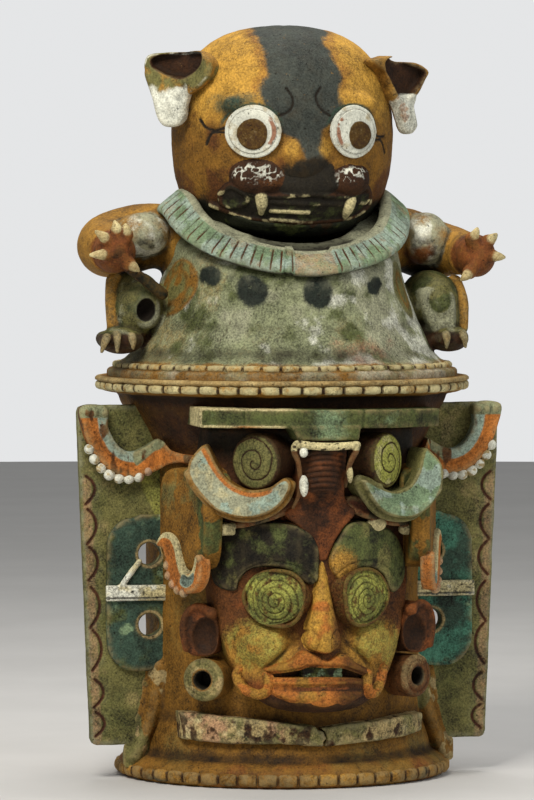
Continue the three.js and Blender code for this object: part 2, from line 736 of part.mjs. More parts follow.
// The beast's lip below the eyelid, with two teeth hanging from it.
function beastLip(side, grow = 0) {
  const low = fromRim(JAW_BOTTOM_DROP);
  const inner = SNOUT_HALF + GAP;
  const outline = sharpOutline(
    [
      [inner, low],
      [LIP_HALF * 0.6, low - LIP_HEIGHT * 0.6],
      [LIP_HALF * 0.9, low - LIP_HEIGHT],
      [LIP_HALF, low - LIP_HEIGHT * 0.5],
      [LIP_HALF, low + LIP_HEIGHT * 0.3],
      [LIP_HALF * 0.85, low + LIP_HEIGHT * 0.4],
      [LIP_HALF * 0.55, low + LIP_HEIGHT * 0.7],
      [inner, low + LIP_HEIGHT * 1.3],
    ].map(([x, z]) => [side * x, z]),
  );
  const lip = wrapped(outline, LIP_REACH, grow);
  const r = TOOTH_RADIUS + grow;
  const reach = WALL_RADIUS + LIP_REACH - TOOTH_RADIUS;
  const nearX = LIP_HALF * 0.78;
  const farX = LIP_HALF * 0.93;
  const near = ball(side * nearX, ringY(reach, nearX), low - LIP_HEIGHT, r * 1.4, r, r);
  const far = ball(side * farX, ringY(reach, farX), low - LIP_HEIGHT * 1.4, r, r, r * 1.7);
  return joined([lip, near, far]);
}

// Plan of the outer face of the right side panel, from beside the wing to the beast's mouth corner.
function panelLine() {
  const back = new THREE.Vector2(PANEL_BACK_X, ringY(WALL_RADIUS + PANEL_BACK_REACH, PANEL_BACK_X));
  const front = new THREE.Vector2(PANEL_FRONT_X, ringY(WALL_RADIUS + PANEL_FRONT_REACH, PANEL_FRONT_X));
  return [back, front];
}

function jawPanel(side, grow = 0) {
  const [back, front] = panelLine();
  const length = front.distanceTo(back);
  const top = PANEL_HEIGHT;
  const outline = roundOutline(
    [
      [-grow, 0],
      [-grow, top * 0.7],
      [length * 0.25, top + grow],
      [length * 0.7, top * 0.85],
      [length + grow, top * 0.5],
      [length + grow, top * 0.1],
      [length * 0.7, -grow],
    ],
    2,
  );
  const geometry = new THREE.ExtrudeGeometry(new THREE.Shape(outline), {
    depth: PANEL_THICKNESS + 2 * grow,
    bevelEnabled: false,
  });
  // The outline's x runs forward along the panel and its y runs up.
  geometry.rotateX(Math.PI / 2).translate(0, grow, 0);
  const angle = Math.atan2(front.y - back.y, front.x - back.x);
  geometry.rotateZ(angle).translate(back.x, back.y, fromRim(PANEL_TOP_DROP) - PANEL_HEIGHT);
  if (side < 0) geometry.scale(-1, 1, 1);
  return solidOf(geometry);
}

// The curl that hangs as a loop from the foot of the side panel and lies on its outer face.
function jawCurl(side, grow = 0) {
  const [back, front] = panelLine();
  const length = front.distanceTo(back);
  const along = front.clone().sub(back).normalize();
  const low = fromRim(PANEL_TOP_DROP) - PANEL_HEIGHT;
  const at = (share, rise) => {
    const x = back.x + along.x * length * share - (along.y * CURL_RADIUS) / 2;
    const y = back.y + along.y * length * share + (along.x * CURL_RADIUS) / 2;
    return [side * x, y, low + rise * CURL_RADIUS];
  };
  const path = [at(0.95, 1), at(0.9, -2.6), at(0.64, -4), at(0.42, -2.4), at(0.34, 1), at(0.12, 4)];
  return rod(path, CURL_RADIUS + grow, 12, 7);
}

// Deity mask

// The plan of the mask, a blunt wedge, from the nose line back to each cheek.
function facePlan(proud) {
  const corners = [
    [0, FACE_REACH],
    [FACE_MID_X / 2, (FACE_REACH + FACE_MID_REACH) / 2 + EDGE_ROUND],
    [FACE_MID_X, FACE_MID_REACH],
    [(FACE_MID_X + CHEEK_X) / 2, (FACE_MID_REACH + CHEEK_REACH) / 2],
    [CHEEK_X, CHEEK_REACH],
  ];
  const right = corners.map(([x, reach]) => [x, ringY(WALL_RADIUS + reach + proud, x)]);
  right.push([CHEEK_X + proud, right.at(-1)[1] + EDGE_ROUND]);
  right.push([CHEEK_X + proud, -WALL_RADIUS / 3]);
  const left = right.slice(1).map(([x, y]) => [-x, y]);
  return sharpOutline([...right, ...left.reverse()]);
}

// The mask's block, from below the chin to the beast's jaw, standing proud of the mask by an amount.
function faceBlock(proud = 0, grow = 0) {
  const top = fromRim(FACE_TOP_DROP) + grow;
  const height = FACE_HEIGHT + 2 * grow;
  const geometry = new THREE.ExtrudeGeometry(new THREE.Shape(facePlan(proud + grow)), {
    depth: height,
    bevelEnabled: false,
  });
  return solidOf(geometry.translate(0, 0, top - height));
}

function faceOutline() {
  const top = fromRim(FACE_TOP_DROP);
  const low = top - FACE_HEIGHT;
  return sharpOutline([
    [-CHIN_HALF, low],
    [CHIN_HALF, low],
    [CHEEK_X * 0.8, low + FACE_HEIGHT * 0.2],
    [CHEEK_X, low + FACE_HEIGHT * 0.5],
    [CHEEK_X, top],
    [-CHEEK_X, top],
    [-CHEEK_X, low + FACE_HEIGHT * 0.5],
    [-CHEEK_X * 0.8, low + FACE_HEIGHT * 0.2],
  ]);
}

const mouthTop = () => MOUTH_CORNER_Z + MOUTH_OPEN_HEIGHT * 0.3;

function faceMask(grow = 0) {
  const mask = faceBlock(0, grow).intersect(frontSlab(faceOutline(), grow));
  if (grow) return mask;
  const top = mouthTop();
  const mouth = sharpOutline([
    [-MOUTH_HALF, top - MOUTH_OPEN_HEIGHT * 0.35],
    [-MOUTH_HALF * 0.6, top - MOUTH_OPEN_HEIGHT],
    [MOUTH_HALF * 0.6, top - MOUTH_OPEN_HEIGHT],
    [MOUTH_HALF, top - MOUTH_OPEN_HEIGHT * 0.35],
    [MOUTH_HALF * 0.5, top],
    [-MOUTH_HALF * 0.5, top],
  ]);
  return mask.subtract(frontSlab(mouth).subtract(faceBlock(-MOUTH_DEPTH, 1)));
}

// A piece laid on the mask, cut to an outline seen from the front.
function onFace(outline, thickness, grow = 0) {
  const laid = frontSlab(outline, grow).intersect(faceBlock(thickness, grow));
  return grow ? laid : laid.subtract(faceBlock(0, GAP));
}

function browPlate(side, grow = 0) {
  const eyeZ = fromRim(FACE_EYE_DROP);
  const top = fromRim(FACE_TOP_DROP) - GAP;
  const rise = FACE_EYE_HALF_HEIGHT + EDGE_ROUND;
  const outline = roundOutline(
    [
      [SNOUT_HALF * 0.35, eyeZ + rise * 0.5],
      [SNOUT_HALF * 0.7, eyeZ + rise * 0.75],
      [FACE_EYE_X, eyeZ + rise],
      [FACE_EYE_X + FACE_EYE_HALF_WIDTH * 0.8, eyeZ + rise * 0.7],
      [CHEEK_X - 2 * EDGE_ROUND, eyeZ + rise * 0.4],
      [CHEEK_X - EDGE_ROUND, eyeZ + rise * 1.4],
      [CHEEK_X * 0.8, top - EDGE_ROUND],
      [FACE_EYE_X, top],
      [SNOUT_HALF * 0.6, top - 4 * EDGE_ROUND],
    ].map(([x, z]) => [side * x, z]),
    2,
  );
  return onFace(outline, BROW_THICKNESS, grow);
}

// The space in front of the mask's forehead that its brow plates may fill.
function browSeat(grow = 0) {
  const outline = boxOutline(-CHEEK_X, CHEEK_X, fromRim(FACE_EYE_DROP), fromRim(FACE_TOP_DROP));
  return frontSlab(outline, grow).intersect(faceBlock(BROW_THICKNESS, grow));
}

function faceEye(side, grow = 0) {
  const drum = eyeDrum(FACE_EYE_HALF_WIDTH, FACE_EYE_THICKNESS + BROW_THICKNESS, 2 * EDGE_ROUND, grow);
  drum.scale(1, 1, FACE_EYE_HALF_HEIGHT / FACE_EYE_HALF_WIDTH);
  const y = ringY(WALL_RADIUS + FACE_MID_REACH + FACE_EYE_THICKNESS, FACE_EYE_X);
  return placed(drum, side * FACE_EYE_X, y, fromRim(FACE_EYE_DROP), side * FACE_EYE_TURN);
}

function nose(grow = 0) {
  const top = fromRim(NOSE_TOP_DROP);
  const low = CHIN_Z + NOSE_LOW_RISE;
  const height = top - low;
  const front = WALL_RADIUS + NOSE_REACH + grow;
  const side = sharpOutline([
    [WALL_RADIUS, low - grow],
    [front - 2 * EDGE_ROUND, low - grow],
    [front, low + 2 * EDGE_ROUND],
    [WALL_RADIUS + FACE_REACH + EDGE_ROUND + grow, top + grow],
    [WALL_RADIUS, top + grow],
  ]);
  const width = 2 * (NOSE_HALF + 1);
  const slab = new THREE.ExtrudeGeometry(new THREE.Shape(side), { depth: width, bevelEnabled: false });
  slab.rotateX(Math.PI / 2).rotateZ(-Math.PI / 2).translate(width / 2, 0, 0);
  const outline = sharpOutline([
    [-NOSE_HALF * 0.2, top],
    [-NOSE_HALF * 0.5, low + height * 0.4],
    [-NOSE_HALF, low + height * 0.18],
    [-NOSE_HALF * 0.8, low + EDGE_ROUND],
    [0, low],
    [NOSE_HALF * 0.8, low + EDGE_ROUND],
    [NOSE_HALF, low + height * 0.18],
    [NOSE_HALF * 0.5, low + height * 0.4],
    [NOSE_HALF * 0.2, top],
  ]);
  return solidOf(slab).intersect(frontSlab(outline, grow));
}

function upperLip(grow = 0) {
  const top = mouthTop();
  const corner = MOUTH_CORNER_Z;
  const outer = MOUTH_HALF * 1.3;
  const outline = sharpOutline([
    [-outer, corner],
    [-MOUTH_HALF * 0.5, top + 1],
    [MOUTH_HALF * 0.5, top + 1],
    [outer, corner],
    [MOUTH_HALF * 0.9, corner + MOUTH_OPEN_HEIGHT * 0.4],
    [MOUTH_HALF * 0.42, corner + MOUTH_OPEN_HEIGHT * 0.72],
    [0, corner + MOUTH_OPEN_HEIGHT * 0.55],
    [-MOUTH_HALF * 0.42, corner + MOUTH_OPEN_HEIGHT * 0.72],
    [-MOUTH_HALF * 0.9, corner + MOUTH_OPEN_HEIGHT * 0.4],
  ]);
  return onFace(outline, LIP_THICKNESS, grow);
}

function toothPlate(grow = 0) {
  const top = mouthTop() - GAP;
  const outline = boxOutline(-TOOTH_PLATE_HALF, TOOTH_PLATE_HALF, top - TOOTH_PLATE_HEIGHT, top);
  const plate = frontSlab(outline, grow).intersect(faceBlock(-EDGE_ROUND, grow));
  return plate.subtract(faceBlock(-MOUTH_DEPTH, 1 + GAP));
}

function lowerLip(grow = 0) {
  const top = mouthTop() - MOUTH_OPEN_HEIGHT;
  const corner = top + MOUTH_OPEN_HEIGHT * 0.4;
  const outline = sharpOutline([
    [-MOUTH_HALF * 1.12, corner],
    [-MOUTH_HALF * 0.8, top - MOUTH_OPEN_HEIGHT * 0.35],
    [-MOUTH_HALF * 0.3, top - MOUTH_OPEN_HEIGHT * 0.6],
    [MOUTH_HALF * 0.3, top - MOUTH_OPEN_HEIGHT * 0.6],
    [MOUTH_HALF * 0.8, top - MOUTH_OPEN_HEIGHT * 0.35],
    [MOUTH_HALF * 1.12, corner],
    [MOUTH_HALF * 0.62, top - 1],
    [-MOUTH_HALF * 0.62, top - 1],
  ]);
  return onFace(outline, LIP_THICKNESS, grow);
}

// The hook that curls out of each corner of the mask's mouth.
function mouthHook(side, grow = 0) {
  const corner = MOUTH_CORNER_Z;
  const reach = WALL_RADIUS + (FACE_MID_REACH + CHEEK_REACH) / 2;
  const at = (x, drop) => [side * x, ringY(reach, x), corner - drop];
  const path = [
    at(MOUTH_HALF * 1.72, -HOOK_RADIUS),
    at(MOUTH_HALF * 1.8, 1.5 * HOOK_RADIUS),
    at(MOUTH_HALF * 1.6, 4 * HOOK_RADIUS),
    at(MOUTH_HALF * 1.32, 4.6 * HOOK_RADIUS),
    at(MOUTH_HALF * 1.2, 3 * HOOK_RADIUS),
  ];
  return rod(path, HOOK_RADIUS + grow, 8, 7);
}

function faceEar(side, grow = 0) {
  const outer = new THREE.CylinderGeometry(1, 1, EAR_ROOT + 2 * grow, SMALL_SIDES);
  outer.scale(EAR_HALF_WIDTH + grow, 1, EAR_HALF_HEIGHT + grow).translate(0, EAR_ROOT / 2, 0);
  const y = ringY(WALL_RADIUS + EAR_REACH, EAR_X);
  const z = CHIN_Z + EAR_RISE;
  const ear = placed(outer, side * EAR_X, y, z, side * EAR_TURN);
  if (grow) return ear;
  const hollow = new THREE.CylinderGeometry(1, 1, 2 * EAR_HOLLOW, SMALL_SIDES);
  hollow.scale(EAR_HALF_WIDTH - EAR_RIM, 1, EAR_HALF_HEIGHT - EAR_RIM);
  return ear.subtract(placed(hollow, side * EAR_X, y, z, side * EAR_TURN));
}

function earSpool(side, grow = 0) {
  const outer = SPOOL_RADIUS + grow;
  const profile = [
    [0, -SPOOL_ROOT - grow],
    [outer, -SPOOL_ROOT - grow],
    [outer, grow],
    [SPOOL_BORE_RADIUS, grow],
    [SPOOL_BORE_RADIUS, grow - SPOOL_BORE_DEPTH],
    [0, grow - SPOOL_BORE_DEPTH],
  ];
  const drum = latheOf(profile, SMALL_SIDES).rotateX(Math.PI / 2);
  const y = ringY(WALL_RADIUS + SPOOL_REACH, SPOOL_X);
  return placed(drum, side * SPOOL_X, y, CHIN_Z + SPOOL_RISE, side * SPOOL_TURN);
}

function neckBand(side, grow = 0) {
  const top = NECK_BAND_LOW_Z + NECK_BAND_HEIGHT;
  const outline = sharpOutline([
    [side * GAP, NECK_BAND_LOW_Z],
    [side * NECK_BAND_HALF, NECK_BAND_LOW_Z],
    [side * NECK_BAND_HALF, top],
    [side * NECK_BAND_BREAK, top],
  ]);
  return wrapped(outline, NECK_BAND_REACH, grow);
}

// Lid

// Leans a lid geometry forward and tips the front half of its top down.
function lean(geometry) {
  const position = geometry.getAttribute("position");
  const frontSlope = Math.tan(radians(TORSO_TILT));
  const backSlope = Math.tan(radians(BACK_TILT));
  for (let i = 0; i < position.count; i += 1) {
    const share = smoothStep(position.getZ(i), LEAN_START, TORSO_HEIGHT);
    const y = position.getY(i);
    position.setY(i, y * (1 + TORSO_DEEPENING * share) - TORSO_LEAN * share);
    position.setZ(i, position.getZ(i) + (y < 0 ? frontSlope : backSlope) * y * share);
  }
  return geometry;
}

function torsoOuter(grow = 0) {
  const foot = LID_FOOT_RADIUS + grow;
  return [
    [foot, 0],
    [foot, LID_FOOT_HEIGHT - EDGE_ROUND / 2 + grow],
    [foot - EDGE_ROUND / 2, LID_FOOT_HEIGHT + grow],
    [ROPE_RADIUS + grow, LID_FOOT_HEIGHT + grow],
    [ROPE_RADIUS + grow, LID_FOOT_HEIGHT + ROPE_HEIGHT],
    ...TORSO_INSETS.map(([inset, z]) => [foot - inset, z]),
    [SHOULDER_RADIUS + grow, TORSO_HEIGHT - 2 * EDGE_ROUND],
    [SHOULDER_RADIUS - SHOULDER_ROUND, TORSO_HEIGHT + grow],
  ];
}

function lidShell() {
  const inner = TORSO_INSETS.map(([inset, z]) => [LID_FOOT_RADIUS - LID_WALL - inset, z]).reverse();
  const seat = LID_FOOT_RADIUS - LID_SEAT_WIDTH;
  const profile = [
    ...torsoOuter(),
    [NECK_HOLE_RADIUS, TORSO_HEIGHT],
    [NECK_HOLE_RADIUS, TORSO_HEIGHT - LID_WALL],
    [SHOULDER_RADIUS - SHOULDER_ROUND, TORSO_HEIGHT - LID_WALL],
    ...inner,
    [seat, LID_FOOT_HEIGHT],
    [seat, 0],
    [LID_FOOT_RADIUS, 0],
  ];
  return solidOf(lean(latheOf(profile)));
}

function torsoLump(grow) {
  return solidOf(lean(latheOf([[0, -grow], ...torsoOuter(grow), [0, TORSO_HEIGHT + grow]])));
}

function ropeBand() {
  const depth = ROPE_INSET / 2;
  return pressedFillet(ROPE_RADIUS + GAP, depth, LID_FOOT_HEIGHT + GAP, ROPE_HEIGHT - GAP, ROPE_BEADS);
}

// A ruff that lies on the shoulders round the head: its front half droops, its back is nearly level.
function collar(grow = 0, inner = SHOULDER_RADIUS - COLLAR_THICKNESS) {
  const outer = SHOULDER_RADIUS + COLLAR_WIDTH + grow;
  const profile = [
    [inner, -COLLAR_THICKNESS - grow],
    [SHOULDER_RADIUS + EDGE_ROUND, -COLLAR_THICKNESS - grow],
    [outer, -grow],
    [outer, COLLAR_THICKNESS + grow],
    [SHOULDER_RADIUS, COLLAR_RISE + COLLAR_THICKNESS + grow],
    [inner, COLLAR_RISE + COLLAR_THICKNESS + grow],
    [inner, -COLLAR_THICKNESS - grow],
  ];
  const ring = latheOf(profile).scale(1, 1 + TORSO_DEEPENING, 1);
  const position = ring.getAttribute("position");
  for (let i = 0; i < position.count; i += 1) {
    const [y, z] = [position.getY(i), position.getZ(i)];
    const back = smoothStep(y, -COLLAR_BEND, COLLAR_BEND);
    const tilt = radians(COLLAR_TILT + (BACK_TILT - COLLAR_TILT) * back);
    position.setY(i, y * Math.cos(tilt) - z * Math.sin(tilt));
    position.setZ(i, y * Math.sin(tilt) + z * Math.cos(tilt));
  }
  return solidOf(ring.translate(0, -TORSO_LEAN, TORSO_HEIGHT - 2 * EDGE_ROUND + COLLAR_LIFT));
}

// The ruff with its middle filled, which keeps the forelegs outside it.
const collarLump = (grow) => collar(grow, 0);

// A ball squared off a little from above and below, in the place of the head.
function headBall(grow = 0) {
  const geometry = new THREE.SphereGeometry(1, HEAD_SIDES, HEAD_RINGS).rotateX(Math.PI / 2);
  const position = geometry.getAttribute("position");
  const p = HEAD_SQUARENESS;
  for (let i = 0; i < position.count; i += 1) {
    const [x, y, z] = [position.getX(i), position.getY(i), position.getZ(i)];
    const size = (Math.hypot(x, y) ** p + Math.abs(z) ** p) ** (-1 / p);
    position.setXYZ(i, x * size, y * size, z * size);
  }
  geometry.scale(HEAD_RADIUS + grow, HEAD_DEPTH + grow, HEAD_RADIUS + grow);
  return solidOf(geometry.translate(0, 0, HEAD_Z));
}

const headShell = () => headBall().subtract(headBall(-HEAD_WALL));

// The Y of the front of the head at a given X and height above its centre.
function headY(x, rise) {
  const p = HEAD_SQUARENESS;
  const round = Math.max(1 - Math.abs(rise / HEAD_RADIUS) ** p, 0.01) ** (1 / p);
  return -HEAD_DEPTH * Math.sqrt(Math.max(round ** 2 - (x / HEAD_RADIUS) ** 2, 0.01));
}

function catEye(side, grow = 0) {
  const outer = CAT_EYE_RADIUS + grow;
  const profile = [
    [0, -4 * CAT_EYE_THICKNESS],
    [outer, -4 * CAT_EYE_THICKNESS],
    [outer, -EDGE_ROUND],
    [outer - EDGE_ROUND, grow],
    [PUPIL_RADIUS + 2, grow],
    [PUPIL_RADIUS, PUPIL_HEIGHT + grow],
    [0, PUPIL_HEIGHT + grow],
  ];
  const disc = latheOf(profile, SMALL_SIDES).rotateX(Math.PI / 2);
  const y = headY(CAT_EYE_X, CAT_EYE_RISE) - CAT_EYE_THICKNESS;
  return placed(disc, side * CAT_EYE_X, y, HEAD_Z + CAT_EYE_RISE, side * CAT_EYE_TURN);
}

// The band of the head's front between two heights, standing proud of the head.
function headBand(half, lowRise, highRise, proud, grow = 0) {
  const outline = boxOutline(-half, half, HEAD_Z + lowRise, HEAD_Z + highRise);
  return frontSlab(outline, grow, -HEAD_DEPTH / 4).intersect(headBall(proud + grow));
}

function muzzle(grow = 0) {
  const z = HEAD_Z - MUZZLE_DROP;
  const padY = headY(PAD_X, -MUZZLE_DROP);
  const noseY = headY(0, -MUZZLE_DROP);
  const half = PAD_WIDTH;
  return joined([
    headBand(GRIN_HALF, -GRIN_DROP - GRIN_HEIGHT / 2, -GRIN_DROP + GRIN_HEIGHT / 2, GRIN_THICKNESS, grow),
    ball(-PAD_X, padY, z, half, half / 2, half * 0.6, grow),
    ball(PAD_X, padY, z, half, half / 2, half * 0.6, grow),
    ball(0, noseY, z + half / 8, half * 0.75, half * 0.4, half * 0.5, grow),
  ]);
}

function lowerJaw(grow = 0) {
  const top = -GRIN_DROP - GRIN_HEIGHT / 2 - GAP;
  return headBand(JAW_HALF, top - JAW_HEIGHT, top, GRIN_THICKNESS, grow);
}

// A folded ear: a cup on the side of the head, with its tip hanging down in front.
function catEar(side, grow = 0) {
  const z = HEAD_Z + CAT_EAR_RISE;
  const r = CAT_EAR_RADIUS;
  const half = CAT_EAR_HALF_LENGTH;
  const cup = ball(0, 0, 0, half, r * 0.55, r, grow);
  const hollow = ball(0, -r * 0.6, r * 0.25, half * 0.72, r * 0.6, r * 0.55);
  const folded = cup.subtract(hollow).rotate([0, 0, side * CAT_EAR_TURN]);
  const tip = ball(side * CAT_EAR_TIP_X, -CAT_EAR_FRONT, z - r, r * 0.45, r * 0.3, r * 1.15, grow);
  return folded.translate([side * CAT_EAR_X, -CAT_EAR_FRONT, z]).add(tip);
}

// A claw that points along a direction from a place on a paw.
function claw(x, y, z, direction) {
  const cone = new THREE.ConeGeometry(CLAW_RADIUS, CLAW_LENGTH, CLAW_SIDES).translate(0, CLAW_LENGTH / 2, 0);
  const turn = new THREE.Quaternion().setFromUnitVectors(
    new THREE.Vector3(0, 1, 0),
    new THREE.Vector3(...direction).normalize(),
  );
  return solidOf(cone.applyQuaternion(turn).translate(x, y, z));
}

// A foreleg that bends back to its elbow and forward again to a raised paw.
function arm(side, grow = 0) {
  const r = SHOULDER_RADIUS;
  const wristX = r + WRIST_REACH;
  const pawZ = ARM_Z - PAW_DROP;
  const elbow = [side * (r + ELBOW_REACH), ELBOW_BACK, ARM_Z];
  const upperPath = [
    [side * (r - ARM_RADIUS / 2), ELBOW_BACK / 4, ARM_Z - SHOULDER_LIFT],
    [side * (r + ELBOW_REACH * 0.3), ELBOW_BACK * 0.8, ARM_Z + SHOULDER_LIFT],
    elbow,
  ];
  const lowerPath = [elbow, [side * wristX, 0, ARM_Z], [side * wristX, -WRIST_FRONT, pawZ]];
  const upper = rod(upperPath, ARM_RADIUS + grow, 8, 10);
  const lower = rod(lowerPath, FOREARM_RADIUS + grow, 6, 10);
  const joint = ball(...elbow, ARM_RADIUS, ARM_RADIUS, ARM_RADIUS, grow);
  const pawY = -WRIST_FRONT - 0.9 * PAW_RADIUS;
  const paw = ball(side * wristX, pawY, pawZ, PAW_RADIUS, PAW_RADIUS * 1.2, PAW_RADIUS, grow);
  const claws = [];
  for (let i = 0; i < CLAWS; i += 1) {
    const fan = radians(CLAW_FAN_FROM + (CLAW_FAN_SPAN * i) / (CLAWS - 1));
    const direction = [side * Math.cos(fan) * 0.7, -0.8, Math.sin(fan)];
    const x = side * (wristX + Math.cos(fan) * PAW_RADIUS * 0.4);
    claws.push(claw(x, pawY - PAW_RADIUS * 0.5, pawZ + Math.sin(fan) * PAW_RADIUS * 0.5, direction));
  }
  return joined([upper, joint, lower, paw, ...claws]);
}

// A folded hind leg with its foot on the lid's edge.
function haunch(side, grow = 0) {
  const x = SHOULDER_RADIUS + HAUNCH_REACH;
  const [halfWidth, halfDepth, halfHeight] = [HAUNCH_WIDTH / 2, HAUNCH_DEPTH / 2, HAUNCH_HEIGHT / 2];
  const thigh = ball(side * x, 0, HAUNCH_Z, halfWidth, halfDepth, halfHeight, grow);
  const footX = LID_FOOT_RADIUS - FOOT_INSET;
  const footZ = LID_FOOT_HEIGHT + ROPE_HEIGHT + FOOT_LIFT + FOOT_RADIUS;
  const shinX = (side * (x + footX)) / 2;
  const shinZ = (HAUNCH_Z + footZ) / 2;
  const shinSize = [SHIN_HALF_WIDTH, SHIN_HALF_DEPTH, SHIN_HALF_HEIGHT];
  const shin = ball(shinX, -FOOT_FRONT * 0.7, shinZ, ...shinSize, grow);
  const foot = ball(side * footX, -FOOT_FRONT, footZ, FOOT_RADIUS, FOOT_RADIUS * 1.3, FOOT_RADIUS * 0.9, grow);
  const claws = [];
  for (let i = -1; i <= 1; i += 1) {
    const direction = [i * 0.35, -1, -0.35];
    const clawX = side * footX + i * FOOT_RADIUS * 0.6;
    claws.push(claw(clawX, -FOOT_FRONT - FOOT_RADIUS * 0.6, footZ - EDGE_ROUND, direction));
  }
  return joined([thigh, shin, foot, ...claws]);
}

// Finishes: colour, roughness
const OCHRE = { color: 0xa9803a, roughness: 0.85 };
const BROWN_CLAY = { color: 0x6b3f1e, roughness: 0.85 };
const BUFF = { color: 0xb9a98a, roughness: 0.9 };
const OLIVE_GREY = { color: 0x6e6a4c, roughness: 0.9 };
const TEAL = { color: 0x55827a, roughness: 0.85 };
const CREAM = { color: 0xcbc3a2, roughness: 0.8 };
const GREEN_GREY = { color: 0x76836a, roughness: 0.85 };
const EYE_GREEN = { color: 0x97984f, roughness: 0.8 };
const GREY_WHITE = { color: 0x9aa08c, roughness: 0.9 };
const SLATE = { color: 0x33362f, roughness: 0.8 };

const materials = new Map();

function materialOf(finish) {
  if (!materials.has(finish)) {
    materials.set(finish, new THREE.MeshStandardMaterial({ ...finish, metalness: 0 }));
  }
  return materials.get(finish);
}

// Adds a named piece to a group after its neighbours, a gap larger, have been cut out of it.
function addPiece(group, name, finish, make, neighbours = []) {
  const solid = neighbours.reduce((whole, neighbour) => whole.subtract(neighbour(GAP)), make(0));
  const mesh = new THREE.Mesh(geometryOf(solid), materialOf(finish));
  mesh.name = name;
  group.add(mesh);
}

function buildVessel() {
  const group = new THREE.Group();
  addPiece(group, "vessel_body", OCHRE, vesselBody);
  addPiece(group, "rim_fillet", CREAM, rimFillet);
  addPiece(group, "base_fillet", BUFF, baseFillet);
  addPiece(group, "neck_band_left", BUFF, (g) => neckBand(SIDES.left, g), [vesselLump]);
  addPiece(group, "neck_band_right", BUFF, (g) => neckBand(SIDES.right, g), [vesselLump]);
  return group;
}

function buildWings() {
  const group = new THREE.Group();
  for (const [label, side] of Object.entries(SIDES)) {
    const board = (g) => wing(side, g);
    const panel = (g) => plaque(side, g);
    const tie = (g) => tieBand(side, g);
    const scroll = (g) => wingScroll(side, g);
    const outer = [vesselLump, board];
    addPiece(group, "wing_" + label, OLIVE_GREY, board, [vesselLump]);
    addPiece(group, "wing_plaque_" + label, TEAL, panel, outer);
    addPiece(group, "tie_band_" + label, CREAM, tie, [...outer, panel]);
    addPiece(group, "wing_scroll_" + label, OCHRE, scroll, [...outer, jawCore]);
    addPiece(group, "wing_beads_" + label, CREAM, (g) => wingBeads(side, g), [...outer, scroll]);
    addPiece(group, "wing_bracket_" + label, BUFF, (g) => wingBracket(side, g), [...outer, panel]);
  }
  return group;
}

function buildJaw() {
  const group = new THREE.Group();
  addPiece(group, "jaw_core", BROWN_CLAY, jawCore, [vesselLump]);
  addPiece(group, "brow_plank", GREEN_GREY, browPlank, [vesselLump, jawCore]);
  const snoutBy = [vesselLump, jawCore, browPlank, faceMask];
  addPiece(group, "snout", BROWN_CLAY, snout, snoutBy);
  addPiece(group, "snout_frame", CREAM, snoutFrame, [...snoutBy, snout]);
  for (const [label, side] of Object.entries(SIDES)) {
    const eye = (g) => beastEye(side, g);
    const fold = (g) => lidFold(side, g);
    const lip = (g) => beastLip(side, g);
    const panel = (g) => jawPanel(side, g);
    const brow = (g) => browPlate(side, g);
    const core = [...snoutBy, snout, snoutFrame];
    addPiece(group, "beast_eye_" + label, EYE_GREEN, eye, core);
    addPiece(group, "eyelid_fold_" + label, GREY_WHITE, fold, [...core, eye]);
    addPiece(group, "beast_lip_" + label, BROWN_CLAY, lip, [...core, eye, fold, brow]);
    const scroll = (g) => wingScroll(side, g);
    addPiece(group, "jaw_panel_" + label, OCHRE, panel, [...core, eye, fold, lip, browSeat, scroll]);
    addPiece(group, "jaw_curl_" + label, CREAM, (g) => jawCurl(side, g), [vesselLump, faceMask, panel, browSeat]);
  }
  return group;
}

function buildMask() {
  const group = new THREE.Group();
  addPiece(group, "deity_mask", BROWN_CLAY, faceMask, [vesselLump]);
  addPiece(group, "nose", OCHRE, nose, [vesselLump, snout, faceMask]);
  addPiece(group, "upper_lip", OCHRE, upperLip, [nose]);
  addPiece(group, "tooth_plate", GREEN_GREY, toothPlate, [upperLip]);
  addPiece(group, "lower_lip", OCHRE, lowerLip, [toothPlate]);
  for (const [label, side] of Object.entries(SIDES)) {
    const eye = (g) => faceEye(side, g);
    const brow = (g) => browPlate(side, g);
    const ear = (g) => faceEar(side, g);
    const spool = (g) => earSpool(side, g);
    addPiece(group, "brow_plate_" + label, GREEN_GREY, brow, [snout, nose]);
    const hook = (g) => mouthHook(side, g);
    addPiece(group, "mask_eye_" + label, EYE_GREEN, eye, [faceMask, nose, brow, snout, upperLip, hook]);
    addPiece(group, "mouth_hook_" + label, OCHRE, hook, [faceMask, upperLip, lowerLip]);
    addPiece(group, "ear_spool_" + label, OCHRE, spool, [vesselLump, faceMask]);
    const jaw = [(g) => jawPanel(side, g), (g) => jawCurl(side, g)];
    addPiece(group, "mask_ear_" + label, BROWN_CLAY, ear, [vesselLump, faceMask, spool, ...jaw]);
  }
  return group;
}

function buildLid() {
  const group = new THREE.Group();
  group.position.z = VESSEL_HEIGHT + GAP;
  addPiece(group, "lid_shell", GREY_WHITE, lidShell);
  addPiece(group, "lid_rope_band", BUFF, ropeBand);
  addPiece(group, "head_shell", OCHRE, headShell, [torsoLump]);
  addPiece(group, "collar", GREEN_GREY, collar, [torsoLump, headBall]);
  addPiece(group, "muzzle", SLATE, muzzle, [headBall]);
  addPiece(group, "lower_jaw", SLATE, lowerJaw, [headBall, torsoLump, collar, muzzle]);
  for (const [label, side] of Object.entries(SIDES)) {
    const foreleg = (g) => arm(side, g);
    addPiece(group, "cat_eye_" + label, CREAM, (g) => catEye(side, g), [headBall, muzzle]);
    addPiece(group, "cat_ear_" + label, CREAM, (g) => catEar(side, g), [headBall]);
    addPiece(group, "arm_" + label, BUFF, foreleg, [torsoLump, headBall, collarLump]);
    addPiece(group, "haunch_" + label, OLIVE_GREY, (g) => haunch(side, g), [torsoLump, foreleg]);
  }
  return group;
}

